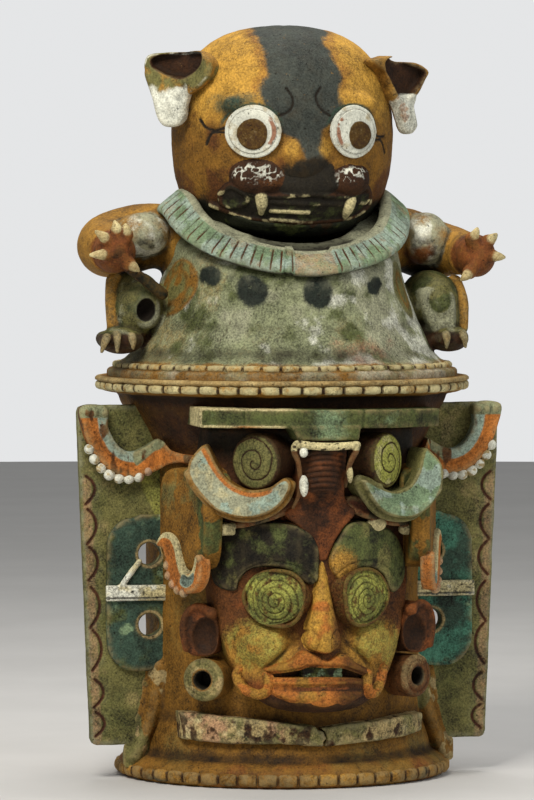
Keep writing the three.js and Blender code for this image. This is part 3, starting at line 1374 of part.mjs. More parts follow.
const urn = new THREE.Group();
urn.name = "funerary_urn";
urn.add(buildVessel(), buildWings(), buildJaw(), buildMask(), buildLid());

export default urn;
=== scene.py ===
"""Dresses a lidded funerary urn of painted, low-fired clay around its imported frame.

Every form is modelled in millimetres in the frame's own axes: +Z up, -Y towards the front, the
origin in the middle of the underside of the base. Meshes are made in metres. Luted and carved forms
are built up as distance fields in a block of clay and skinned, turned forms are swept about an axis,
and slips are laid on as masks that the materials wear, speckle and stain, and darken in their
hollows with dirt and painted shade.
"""

import logging
import math
from collections.abc import Callable, Sequence
from dataclasses import dataclass, field
from enum import Enum

import bpy
import numpy as np
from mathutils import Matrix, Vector


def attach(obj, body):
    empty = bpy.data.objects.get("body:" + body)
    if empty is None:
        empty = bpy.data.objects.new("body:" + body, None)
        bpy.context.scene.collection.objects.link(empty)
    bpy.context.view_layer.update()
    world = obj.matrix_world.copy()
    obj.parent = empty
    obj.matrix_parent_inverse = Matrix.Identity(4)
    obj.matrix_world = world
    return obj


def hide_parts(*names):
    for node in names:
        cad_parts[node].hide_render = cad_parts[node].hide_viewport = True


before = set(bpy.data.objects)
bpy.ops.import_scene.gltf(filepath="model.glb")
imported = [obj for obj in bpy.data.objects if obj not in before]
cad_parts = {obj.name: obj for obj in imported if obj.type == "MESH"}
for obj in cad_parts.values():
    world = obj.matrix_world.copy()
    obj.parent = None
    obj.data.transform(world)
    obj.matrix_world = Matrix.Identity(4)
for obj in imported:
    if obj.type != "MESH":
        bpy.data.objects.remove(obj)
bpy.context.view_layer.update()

Array = np.ndarray
Distance = Callable[[Array, Array, Array], Array]
Mask = Callable[[Array], Array]
Point = tuple[float, float, float]

log = logging.getLogger("urn")
METRES = 0.001
EMPTY = 60
SEAT = 597.15


class Side(Enum):
    """The two sides of the urn, as a viewer in front of it sees them."""

    LEFT = -1
    RIGHT = 1

    @property
    def label(self) -> str:
        """The word for this side in a node's name."""
        return self.name.lower()


# Helpers on numbers


def ease(low: float, high: float, value: Array) -> Array:
    """Rises smoothly from 0 to 1 as a value goes from low to high.

    Args:
        low: The value that gives 0. It may be above high.
        high: The value that gives 1.
        value: The values to judge.

    Returns:
        Shares from 0 to 1.
    """
    share = np.clip((value - low) / (high - low), 0, 1)
    return share * share * (3 - 2 * share)


def bump(value: Array, centre: float, half: float) -> Array:
    """A smooth hump of height 1 about a centre, 0 beyond half a width."""
    return ease(1, 0, np.abs(value - centre) / half)


def circle(radius: float, count: int = 12) -> list[tuple[float, float]]:
    """The corners of a round outline, smoothed later, about the middle of its plane."""
    turns = np.linspace(0, 2 * math.pi, count, endpoint=False)
    return [(radius * math.cos(a), radius * math.sin(a)) for a in turns]


def flow(points: Sequence[Sequence[float]], steps: int = 8, closed: bool = False) -> Array:
    """Draws a smooth curve through a few points.

    Args:
        points: The points to pass through, of any dimension.
        steps: How many samples to take between two points.
        closed: Whether the curve comes back to its start.

    Returns:
        The samples along the curve.
    """
    knots = np.array(points, float)
    count = len(knots)
    spans = count if closed else count - 1
    samples = []
    for i in range(spans):
        if closed:
            before, start, end, after = (knots[(i + k) % count] for k in (-1, 0, 1, 2))
        else:
            before, start = knots[max(i - 1, 0)], knots[i]
            end, after = knots[i + 1], knots[min(i + 2, count - 1)]
        t = np.linspace(0, 1, steps, endpoint=False)[:, None]
        samples.append(
            0.5
            * (
                2 * start
                + (end - before) * t
                + (2 * before - 5 * start + 4 * end - after) * t**2
                + (3 * start - before - 3 * end + after) * t**3
            )
        )
    if not closed:
        samples.append(knots[-1:])
    return np.concatenate(samples)


def unevenness(points: Array, size: float, seed: int, octaves: int = 3) -> Array:
    """Smooth noise in space, for hand-worked clay and ragged paint.

    Args:
        points: Places in millimetres, one a row.
        size: The width of the largest lumps in millimetres.
        seed: Chooses the pattern.
        octaves: How many finer layers are laid on, each half the size and half the height.

    Returns:
        Values between about -1 and 1.
    """
    table = np.random.default_rng(seed).uniform(-1, 1, 4096)
    total = np.zeros(len(points))
    height = 1
    for octave in range(octaves):
        place = points / (size / 2**octave) + 37 * octave
        cell = np.floor(place).astype(np.int64)
        part = place - cell
        part = part * part * (3 - 2 * part)
        value = np.zeros(len(points))
        for corner in range(8):
            step = np.array([corner & 1, (corner >> 1) & 1, (corner >> 2) & 1])
            near = cell + step
            key = (near[:, 0] * 73856093) ^ (near[:, 1] * 19349663) ^ (near[:, 2] * 83492791)
            weight = np.prod(np.where(step, part, 1 - part), axis=1)
            value += weight * table[key % 4096]
        total += height * value
        height *= 0.5
    return total


# Forms in clay


@dataclass(frozen=True)
class Form:
    """A form of clay.

    Attributes:
        distance: The signed distance to its surface in millimetres, below zero inside.
        low: The lowest corner of the box that holds it.
        high: The highest corner of that box.
    """

    distance: Distance
    low: Point
    high: Point

    def at(self, points: Array) -> Array:
        """The distance at places given one a row."""
        return self.distance(*points.T)


@dataclass(frozen=True)
class Plane:
    """A flat place on the urn that faces outwards.

    Attributes:
        origin: The middle of the place.
        turn: Degrees that it looks to the right of straight ahead.
        tilt: Degrees that it looks up.
    """

    origin: Point
    turn: float = 0.0
    tilt: float = 0.0

    def axes(self) -> tuple[Array, Array, Array]:
        """The directions across, out and up.

        Returns:
            Three unit vectors.
        """
        turn, tilt = math.radians(self.turn), math.radians(self.tilt)
        across = np.array([math.cos(turn), math.sin(turn), 0])
        level = np.array([math.sin(turn), -math.cos(turn), 0])
        up = np.array([0, 0, 1])
        out = level * math.cos(tilt) + up * math.sin(tilt)
        return across, out, up * math.cos(tilt) - level * math.sin(tilt)

    def local(self, x: Array, y: Array, z: Array) -> tuple[Array, Array, Array]:
        """Turns places into distances across, out and up from the origin."""
        dx, dy, dz = x - self.origin[0], y - self.origin[1], z - self.origin[2]
        return tuple(dx * a[0] + dy * a[1] + dz * a[2] for a in self.axes())

    def place(self, across: float, out: float, up: float) -> Point:
        """The place that lies so far across, out and up from the origin."""
        a, b, c = self.axes()
        return tuple(np.array(self.origin) + across * a + out * b + up * c)

    def places(self, points: Sequence[Sequence[float]]) -> list[Point]:
        """Several places at once."""
        return [self.place(*point) for point in points]

    def box(
        self, half_across: float, back: float, front: float, low: float, high: float
    ) -> tuple[Point, Point]:
        """The box in the frame that holds a local box.

        Args:
            half_across: Half of its width.
            back: Where its back is.
            front: Where its front is.
            low: Its lowest height.
            high: Its highest height.

        Returns:
            Its lowest and its highest corner.
        """
        corners = np.array(
            [
                self.place(a, b, c) for a in (-half_across, half_across)
                for b in (back, front) for c in (low, high)
            ]
        )
        return tuple(corners.min(0)), tuple(corners.max(0))


def ball(centre: Point, radii: Point, turn: float = 0) -> Form:
    """An egg-shaped lump.

    Args:
        centre: Its middle.
        radii: Its half sizes across, front to back, and up.
        turn: Degrees that it is turned about the vertical.

    Returns:
        The form.
    """
    cos, sin = math.cos(math.radians(turn)), math.sin(math.radians(turn))

    def distance(x: Array, y: Array, z: Array) -> Array:
        """The signed distance at places across, front to back and up."""
        dx, dy, dz = x - centre[0], y - centre[1], z - centre[2]
        across, deep = dx * cos + dy * sin, dy * cos - dx * sin
        near = np.sqrt((across / radii[0]) ** 2 + (deep / radii[1]) ** 2 + (dz / radii[2]) ** 2)
        steep = np.sqrt(
            (across / radii[0] ** 2) ** 2 + (deep / radii[1] ** 2) ** 2 + (dz / radii[2] ** 2) ** 2
        )
        return near * (near - 1) / np.maximum(steep, 1e-6)

    reach = [
        math.hypot(radii[0] * cos, radii[1] * sin), math.hypot(radii[1] * cos, radii[0] * sin), radii[2]
    ]
    low = tuple(c - r for c, r in zip(centre, reach))
    return Form(distance, low, tuple(c + r for c, r in zip(centre, reach)))


def rod(points: Sequence[Sequence[float]], radii: Sequence[float] | float, steps: int = 6) -> Form:
    """A roll of clay along a smooth curve.

    Args:
        points: The curve's points.
        radii: The roll's radius, or one radius for each point.
        steps: Pieces between two points.

    Returns:
        The form.
    """
    widths = [radii] * len(points) if isinstance(radii, (int, float)) else list(radii)
    line = flow([[*p, r] for p, r in zip(points, widths)], steps)

    def distance(x: Array, y: Array, z: Array) -> Array:
        """The signed distance at places across, front to back and up."""
        nearest = None
        for start, end in zip(line[:-1], line[1:]):
            along = end[:3] - start[:3]
            size = float(along @ along) + 1e-9
            dx, dy, dz = x - start[0], y - start[1], z - start[2]
            t = np.clip((dx * along[0] + dy * along[1] + dz * along[2]) / size, 0, 1)
            gap = np.sqrt((dx - t * along[0]) ** 2 + (dy - t * along[1]) ** 2 + (dz - t * along[2]) ** 2)
            gap = gap - (start[3] + t * (end[3] - start[3]))
            nearest = gap if nearest is None else np.minimum(nearest, gap)
        return nearest

    low, high = (line[:, :3] - line[:, 3:]).min(0), (line[:, :3] + line[:, 3:]).max(0)
    return Form(distance, tuple(low), tuple(high))


class Outline:
    """A closed outline in a plane, with its signed distance kept on a sheet of samples."""

    SPACING = 1
    MARGIN = 16

    def __init__(self, points: Sequence[Sequence[float]], smooth: bool = True, steps: int = 6) -> None:
        """Measures the outline.

        Args:
            points: Its corners, in order.
            smooth: Whether it flows through them or is straight between them.
            steps: Samples between two corners where it flows.
        """
        edge = flow(points, steps, closed=True) if smooth else np.array(points, float)
        self.low = edge.min(0) - self.MARGIN
        self.high = edge.max(0) + self.MARGIN
        u = np.arange(self.low[0], self.high[0] + self.SPACING, self.SPACING)[:, None]
        w = np.arange(self.low[1], self.high[1] + self.SPACING, self.SPACING)[None, :]
        nearest = np.full((u.size, w.size), np.inf)
        inside = np.zeros((u.size, w.size), bool)
        for start, end in zip(edge, np.roll(edge, -1, axis=0)):
            along = end - start
            t = ((u - start[0]) * along[0] + (w - start[1]) * along[1]) / (along @ along + 1e-9)
            t = np.clip(t, 0, 1)
            gap = (u - start[0] - t * along[0]) ** 2 + (w - start[1] - t * along[1]) ** 2
            nearest = np.minimum(nearest, gap)
            if start[1] != end[1]:
                spans = (start[1] > w) != (end[1] > w)
                inside ^= spans & (u < start[0] + (w - start[1]) * along[0] / along[1])
        self.sheet = np.where(inside, -1, 1) * np.sqrt(nearest)

    def distance(self, u: Array, w: Array) -> Array:
        """The signed distance at places in the plane.

        Args:
            u: Places across.
            w: Places up.

        Returns:
            Millimetres from the outline, below zero inside it.
        """
        u, w = np.broadcast_arrays(u, w)
        a = np.clip((u - self.low[0]) / self.SPACING, 0, self.sheet.shape[0] - 1.001)
        b = np.clip((w - self.low[1]) / self.SPACING, 0, self.sheet.shape[1] - 1.001)
        i, j = a.astype(np.int32), b.astype(np.int32)
        a, b = a - i, b - j
        sheet = self.sheet
        low = sheet[i, j] * (1 - a) + sheet[i + 1, j] * a
        high = sheet[i, j + 1] * (1 - a) + sheet[i + 1, j + 1] * a
        return low * (1 - b) + high * b


def rounded(flat: Array, deep: Array, edge: float) -> Array:
    """Joins a distance in a plane and one through it, with a rounded edge between them."""
    a, b = flat + edge, deep + edge
    return np.hypot(np.maximum(a, 0), np.maximum(b, 0)) + np.minimum(np.maximum(a, b), 0) - edge


def slab(
    plane: Plane, outline: Outline, back: float, front: float, edge: float = 2, crown: float = 0
) -> Form:
    """A slab of clay cut to an outline.

    Args:
        plane: Where the outline is drawn.
        outline: The outline, across and up.
        back: Where its back is, measured outwards from the plane.
        front: Where its front is.
        edge: The rounding of its edges.
        crown: How far its front swells towards its middle.

    Returns:
        The form.
    """
    middle, half = (back + front) / 2, (front - back) / 2

    def distance(x: Array, y: Array, z: Array) -> Array:
        """The signed distance at places across, front to back and up."""
        u, v, w = plane.local(x, y, z)
        flat = outline.distance(u, w)
        lift = crown * ease(0, -30, flat) if crown else 0
        return rounded(flat, np.abs(v - middle - lift / 2) - half - lift / 2, edge)

    reach = max(abs(outline.low[0]), abs(outline.high[0])) - Outline.MARGIN
    low, high = outline.low[1] + Outline.MARGIN, outline.high[1] - Outline.MARGIN
    return Form(distance, *plane.box(reach, back, front + crown, low, high))


def block_form(low: Point, high: Point, edge: float = 2) -> Form:
    """An oblong block with rounded edges.

    Args:
        low: Its lowest corner.
        high: Its highest corner.
        edge: The rounding of its edges.

    Returns:
        The form.
    """
    middle = [(a + b) / 2 for a, b in zip(low, high)]
    half = [(b - a) / 2 - edge for a, b in zip(low, high)]

    def distance(x: Array, y: Array, z: Array) -> Array:
        """The signed distance at places across, front to back and up."""
        a, b, c = (np.abs(p - m) - h for p, m, h in zip((x, y, z), middle, half))
        outside = np.sqrt(np.maximum(a, 0) ** 2 + np.maximum(b, 0) ** 2 + np.maximum(c, 0) ** 2)
        return outside + np.minimum(np.maximum(np.maximum(a, b), c), 0) - edge

    return Form(distance, low, high)


def drum(radius: float, low_z: float, high_z: float, edge: float = 2) -> Form:
    """A full round drum about the urn's axis.

    Args:
        radius: Its radius.
        low_z: Its lowest height.
        high_z: Its highest height.
        edge: The rounding of its edges.

    Returns:
        The form.
    """
    middle, half = (low_z + high_z) / 2, (high_z - low_z) / 2

    def distance(x: Array, y: Array, z: Array) -> Array:
        """The signed distance at places across, front to back and up."""
        return rounded(np.hypot(x, y) - radius, np.abs(z - middle) - half, edge)

    return Form(distance, (-radius, -radius, low_z), (radius, radius, high_z))


def common(first: Form, second: Form, soft: float = 2) -> Form:
    """What two forms share, with a soft edge where they meet.

    Args:
        first: The one.
        second: The other.
        soft: How wide the edge or the seam is softened.

    Returns:
        The form.
    """

    def distance(x: Array, y: Array, z: Array) -> Array:
        """The signed distance at places across, front to back and up."""
        a, b = first.distance(x, y, z), second.distance(x, y, z)
        blend = np.maximum(soft - np.abs(a - b), 0) / soft
        return np.maximum(a, b) + blend * blend * soft / 4

    low = tuple(max(a, b) for a, b in zip(first.low, second.low))
    return Form(distance, low, tuple(min(a, b) for a, b in zip(first.high, second.high)))


def mirrored(form: Form) -> Form:
    """The same form on the other side of the urn.

    Args:
        form: The form.

    Returns:
        The form.
    """
    low = (-form.high[0], form.low[1], form.low[2])
    high = (-form.low[0], form.high[1], form.high[2])
    return Form(lambda x, y, z: form.distance(-x, y, z), low, high)


class Block:
    """A block of space in which forms are joined and cut, to be skinned as one piece of clay."""

    def __init__(self, low: Point, high: Point, step: float) -> None:
        """Lays out the block.

        Args:
            low: Its lowest corner.
            high: Its highest corner.
            step: The spacing of its samples in millimetres.
        """
        self.step = step * 1
        self.low = np.array(low, float) - 2 * self.step
        counts = np.ceil((np.array(high) - self.low) / self.step).astype(int) + 3
        self.axes = [self.low[i] + self.step * np.arange(counts[i]) for i in range(3)]
        self.field = np.full(tuple(counts), EMPTY, np.float32)

    def window(self, form: Form, margin: float) -> tuple[slice, slice, slice]:
        """The part of the block that a form can change.

        Args:
            form: The form.
            margin: How far past its box it acts.

        Returns:
            A slice for each axis.
        """
        spans = []
        for i in range(3):
            start = int(np.searchsorted(self.axes[i], form.low[i] - margin))
            end = int(np.searchsorted(self.axes[i], form.high[i] + margin))
            spans.append(slice(max(start - 1, 0), min(end + 1, len(self.axes[i]))))
        return tuple(spans)

    def measure(self, form: Form, window: tuple[slice, slice, slice]) -> Array:
        """A form's distance over part of the block.

        Args:
            form: The form.
            window: The part of the block.

        Returns:
            The signed distances.
        """
        x = self.axes[0][window[0]][:, None, None]
        y = self.axes[1][window[1]][None, :, None]
        z = self.axes[2][window[2]][None, None, :]
        return np.asarray(form.distance(x, y, z), np.float32)

    def add(self, form: Form, soft: float = 0) -> "Block":
        """Joins a form on, luted over a soft seam this wide.

        Args:
            form: The form.
            soft: How wide the edge or the seam is softened.

        Returns:
            The block.
        """
        window = self.window(form, max(soft, 3) + 2 * self.step)
        here, new = self.field[window], self.measure(form, window)
        joined = np.minimum(here, new)
        if soft:
            blend = np.maximum(soft - np.abs(here - new), 0) / soft
            joined = joined - blend * blend * soft / 4
        self.field[window] = joined
        return self

    def cut(self, form: Form, soft: float = 0) -> "Block":
        """Cuts a form away, with an edge softened this much.

        Args:
            form: The form.
            soft: How wide the edge or the seam is softened.

        Returns:
            The block.
        """
        window = self.window(form, max(soft, 3) + 2 * self.step)
        here, new = self.field[window], -self.measure(form, window)
        cut = np.maximum(here, new)
        if soft:
            blend = np.maximum(soft - np.abs(here - new), 0) / soft
            cut = cut + blend * blend * soft / 4
        self.field[window] = cut
        return self

    def skin(self) -> tuple[Array, Array]:
        """Wraps the clay in quads, one point to each cell that the surface crosses.

        Returns:
            The points in millimetres, and the quads as rows of four point numbers.
        """
        block = self.field
        for axis in range(3):
            for end in (0, -1):
                edge = [slice(None)] * 3
                edge[axis] = end
                block[tuple(edge)] = np.maximum(block[tuple(edge)], 0.5)
        inside = block < 0
        size = np.array(block.shape)
        corners = [(i, j, k) for i in (0, 1) for j in (0, 1) for k in (0, 1)]
        filled = np.zeros(tuple(size - 1), np.uint8)
        for i, j, k in corners:
            filled += inside[i : size[0] - 1 + i, j : size[1] - 1 + j, k : size[2] - 1 + k]
        cells = np.argwhere((filled > 0) & (filled < 8))
        numbers = np.full(filled.shape, -1, np.int32)
        numbers[tuple(cells.T)] = np.arange(len(cells))
        values = [block[cells[:, 0] + i, cells[:, 1] + j, cells[:, 2] + k] for i, j, k in corners]
        total, hits = np.zeros((len(cells), 3)), np.zeros(len(cells))
        for a, first in enumerate(corners):
            for b, second in enumerate(corners):
                if b <= a or sum(p != q for p, q in zip(first, second)) != 1:
                    continue
                crossing = (values[a] < 0) != (values[b] < 0)
                rise = np.where(crossing, values[a] - values[b], 1)
                share = (values[a] / rise)[:, None]
                place = np.array(first) + share * (np.array(second) - np.array(first))
                total += np.where(crossing[:, None], place, 0)
                hits += crossing
        points = self.low + self.step * (cells + total / hits[:, None])
        return points, np.concatenate([self.walls(inside, numbers, axis) for axis in range(3)])

    @staticmethod
    def walls(inside: Array, numbers: Array, axis: int) -> Array:
        """The quads that cross the block's lines along one axis.

        Args:
            inside: Which samples are in the clay.
            numbers: The point number of each cell, or -1.
            axis: The axis of the lines.

        Returns:
            The quads, facing out of the clay.
        """
        moved = np.moveaxis(inside, axis, 0)
        start, end = moved[:-1], moved[1:]
        where = np.argwhere(start != end)
        second, third = [i for i in range(3) if i != axis]
        place = np.zeros_like(where)
        place[:, axis], place[:, second], place[:, third] = where.T
        outward = start[tuple(where.T)]
        ring = []
        for a, b in ((-1, -1), (0, -1), (0, 0), (-1, 0)):
            cell = place.copy()
            cell[:, second] += a
            cell[:, third] += b
            ring.append(numbers[tuple(cell.T)])
        quads = np.stack(ring, axis=1)
        flip = outward if axis == 1 else ~outward
        quads[flip] = quads[flip][:, ::-1]
        return quads


def normals_of(points: Array, quads: Array) -> Array:
    """The outward direction at each point of a mesh of quads.

    Args:
        points: The points, one a row.
        quads: The quads, as rows of point numbers.

    Returns:
        A unit vector for each point.
    """
    a, b, c, d = (points[quads[:, i]] for i in range(4))
    faces = np.cross(c - a, d - b)
    total = np.zeros_like(points)
    for i in range(4):
        for axis in range(3):
            total[:, axis] += np.bincount(quads[:, i], faces[:, axis], len(points))
    return total / np.maximum(np.linalg.norm(total, axis=1, keepdims=True), 1e-9)


class Lattice:
    """The neighbours in a mesh of quads, for smoothing and for reading its curvature."""

    def __init__(self, count: int, quads: Array) -> None:
        """Lists the edges, each both ways.

        Args:
            count: How many points there are.
            quads: The quads, as rows of point numbers.
        """
        ends = np.concatenate([quads[:, [i, (i + 1) % 4]] for i in range(4)])
        self.start = np.concatenate([ends[:, 0], ends[:, 1]])
        self.end = np.concatenate([ends[:, 1], ends[:, 0]])
        self.count = count
        self.shares = np.maximum(np.bincount(self.start, minlength=count), 1)

    def average(self, values: Array) -> Array:
        """The mean over each point's neighbours.

        Args:
            values: A value or a place for each point.

        Returns:
            The means.
        """
        if values.ndim == 1:
            return np.bincount(self.start, values[self.end], self.count) / self.shares
        return np.stack([self.average(values[:, i]) for i in range(values.shape[1])], axis=1)

    def relax(self, values: Array, rounds: int, strength: float = 0.5) -> Array:
        """Smooths values, or places, by moving each towards its neighbours' mean.

        Args:
            values: A value or a place for each point.
            rounds: How often they are moved.
            strength: How far they are moved each time.

        Returns:
            The smoothed values.
        """
        for _ in range(rounds):
            values = values + strength * (self.average(values) - values)
        return values


def swept(rings: Array, closed_ends: bool = True) -> tuple[Array, Array]:
    """Joins rings of points into one skin.

    Args:
        rings: Rings of points, one ring a row, all with as many points, turning the same way.
        closed_ends: Whether the first and last rings are drawn together to a point each.

    Returns:
        The points, and the quads.
    """
    count, sides = rings.shape[:2]
    points = rings.reshape(-1, 3)
    ring, side = np.meshgrid(np.arange(count - 1), np.arange(sides), indexing="ij")
    after = (side + 1) % sides
    corners = [
        ring * sides + side, ring * sides + after, (ring + 1) * sides + after, (ring + 1) * sides + side
    ]
    quads = np.stack([c.ravel() for c in corners], axis=1)
    if closed_ends:
        ends = np.array([rings[0].mean(0), rings[-1].mean(0)])
        first, last = len(points), len(points) + 1
        points = np.concatenate([points, ends])
        half = np.arange(0, sides, 2)
        start = np.stack([np.full(len(half), first), (half + 2) % sides, half + 1, half], axis=1)
        base = (count - 1) * sides
        stop = np.stack(
            [np.full(len(half), last), base + half, base + half + 1, base + (half + 2) % sides], axis=1
        )
        quads = np.concatenate([quads, start, stop])
    return points, quads


def spaced(points: Sequence[Sequence[float]], spacing: float, rounding: int = 2) -> Array:
    """Samples a chain of straight lines evenly and eases its corners.

    Args:
        points: The chain's corners.
        spacing: The distance between samples.
        rounding: How many times the corners are eased.

    Returns:
        The samples, with the ends where they were.
    """
    knots = np.array(points, float)
    samples = []
    for start, end in zip(knots[:-1], knots[1:]):
        count = max(int(round(float(np.linalg.norm(end - start)) / spacing)), 1)
        share = np.arange(count)[:, None] / count
        samples.append(start + share * (end - start))
    line = np.concatenate([*samples, knots[-1:]])
    for _ in range(rounding):
        line[1:-1] = (line[:-2] + 2 * line[1:-1] + line[2:]) / 4
    return line


# Slips and finishes


class Slip(Enum):
    """The colours of the clay and of the paints on it, as red, green and blue on a display."""

    OCHRE = (150, 110, 44)
    GOLD = (182, 138, 56)
    DEEP_OCHRE = (120, 84, 30)
    ORANGE = (166, 100, 42)
    RUST = (108, 60, 28)
    BROWN = (84, 50, 22)
    DARK_BROWN = (54, 32, 16)
    OXBLOOD = (74, 40, 24)
    SLATE = (58, 62, 56)
    SOOT = (32, 28, 20)
    BLACK_GREEN = (30, 32, 22)
    INK = (30, 36, 30)
    AMBER = (118, 90, 22)
    WHITE = (208, 208, 192)
    CREAM = (190, 178, 132)
    BUFF = (158, 138, 94)
    PINK = (160, 124, 92)
    ROSE = (150, 108, 84)
    PALE_BLUE = (140, 156, 140)
    SEA_GREEN = (112, 132, 100)
    TEAL = (66, 112, 92)
    DEEP_TEAL = (50, 68, 56)
    MOSS = (70, 76, 40)
    OLIVE = (102, 98, 56)
    GREY_GREEN = (126, 130, 98)
    STONE = (146, 146, 120)
    LIME = (144, 144, 68)

    def linear(self) -> tuple[float, float, float, float]:
        """The colour as a shader takes it.

        Returns:
            Red, green, blue and alpha.
        """
        shares = (c / 255 for c in self.value)
        red, green, blue = (s / 12.92 if s <= 0.04045 else ((s + 0.055) / 1.055) ** 2.4 for s in shares)
        return red, green, blue, 1


class Nodes:
    """Adds shader nodes to one tree and links them."""

    def __init__(self, tree: bpy.types.NodeTree) -> None:
        """Starts with an empty tree."""
        self.tree = tree
        tree.nodes.clear()

    def add(self, kind: str, **settings: object) -> bpy.types.Node:
        """Adds a node and sets its properties.

        Args:
            kind: The node's type.
            **settings: Its properties by name.

        Returns:
            The node.
        """
        node = self.tree.nodes.new(kind)
        for key, value in settings.items():
            setattr(node, key, value)
        return node

    def feed(self, socket: bpy.types.NodeSocket, value: object) -> None:
        """Links a socket to another, or sets its own value.

        Args:
            socket: The input.
            value: A socket or a plain value.
        """
        if isinstance(value, bpy.types.NodeSocket):
            self.tree.links.new(value, socket)
        else:
            socket.default_value = value

    def math(self, operation: str, a: object, b: object = 0, clamp: bool = False) -> bpy.types.NodeSocket:
        """One sum on two values.

        Args:
            operation: The name of the sum.
            a: Its first value.
            b: Its second value.
            clamp: Whether the result is kept between 0 and 1.

        Returns:
            The socket of the result.
        """
        node = self.add("ShaderNodeMath", operation=operation, use_clamp=clamp)
        self.feed(node.inputs[0], a)
        self.feed(node.inputs[1], b)
        return node.outputs[0]

    def noise(
        self, vector: object, scale: object, detail: float = 2, roughness: float = 0.5
    ) -> bpy.types.NodeSocket:
        """Cloudy noise about 0.5, with lumps of one over the scale in metres.

        Args:
            vector: The places that it is read at.
            scale: How fine it is.
            detail: How many layers it has.
            roughness: How strong its fine layers are.

        Returns:
            The socket of the noise.
        """
        node = self.add("ShaderNodeTexNoise")
        self.feed(node.inputs["Vector"], vector)
        self.feed(node.inputs["Scale"], scale)
        node.inputs["Detail"].default_value = detail
        node.inputs["Roughness"].default_value = roughness
        return node.outputs["Fac"]

    def span(
        self, value: object, low: object, high: object, start: object = 0, end: object = 1
    ) -> bpy.types.NodeSocket:
        """Rises smoothly from start to end as a value goes from low to high.

        Args:
            value: The value that is judged.
            low: The value that gives the start.
            high: The value that gives the end.
            start: What the low value gives.
            end: What the high value gives.

        Returns:
            The socket of the result.
        """
        node = self.add("ShaderNodeMapRange", interpolation_type="SMOOTHSTEP")
        for name, given in (
            ("Value", value), ("From Min", low), ("From Max", high), ("To Min", start), ("To Max", end)
        ):
            self.feed(node.inputs[name], given)
        return node.outputs["Result"]

    def mix(
        self, factor: object, first: object, second: object, blend: str = "MIX"
    ) -> bpy.types.NodeSocket:
        """Mixes two colours.

        Args:
            factor: The share of the second.
            first: The one.
            second: The other.
            blend: How they are mixed.

        Returns:
            The socket of the mix.
        """
        node = self.add("ShaderNodeMix", data_type="RGBA", blend_type=blend)
        self.feed(node.inputs[0], factor)
        self.feed(node.inputs[6], first)
        self.feed(node.inputs[7], second)
        return node.outputs[2]

    def attribute(self, name: str) -> bpy.types.NodeSocket:
        """A value kept at the mesh's points."""
        return self.add("ShaderNodeAttribute", attribute_name=name).outputs["Fac"]


def new_group(
    name: str, takes: dict[str, str], gives: dict[str, str]
) -> tuple[bpy.types.NodeTree, Nodes, dict, dict]:
    """Starts a shader node group.

    Args:
        name: Its name.
        takes: The kind of each named input.
        gives: The kind of each named output.

    Returns:
        The group, a builder for it, its inputs by name, and the sockets to feed its outputs by name.
    """
    tree = bpy.data.node_groups.new(name, "ShaderNodeTree")
    kinds = {"number": "NodeSocketFloat", "colour": "NodeSocketColor", "vector": "NodeSocketVector"}
    for label, kind in takes.items():
        tree.interface.new_socket(label, in_out="INPUT", socket_type=kinds[kind])
    for label, kind in gives.items():
        tree.interface.new_socket(label, in_out="OUTPUT", socket_type=kinds[kind])
    nodes = Nodes(tree)
    start, end = nodes.add("NodeGroupInput"), nodes.add("NodeGroupOutput")
    return tree, nodes, {k: start.outputs[k] for k in takes}, {k: end.inputs[k] for k in gives}


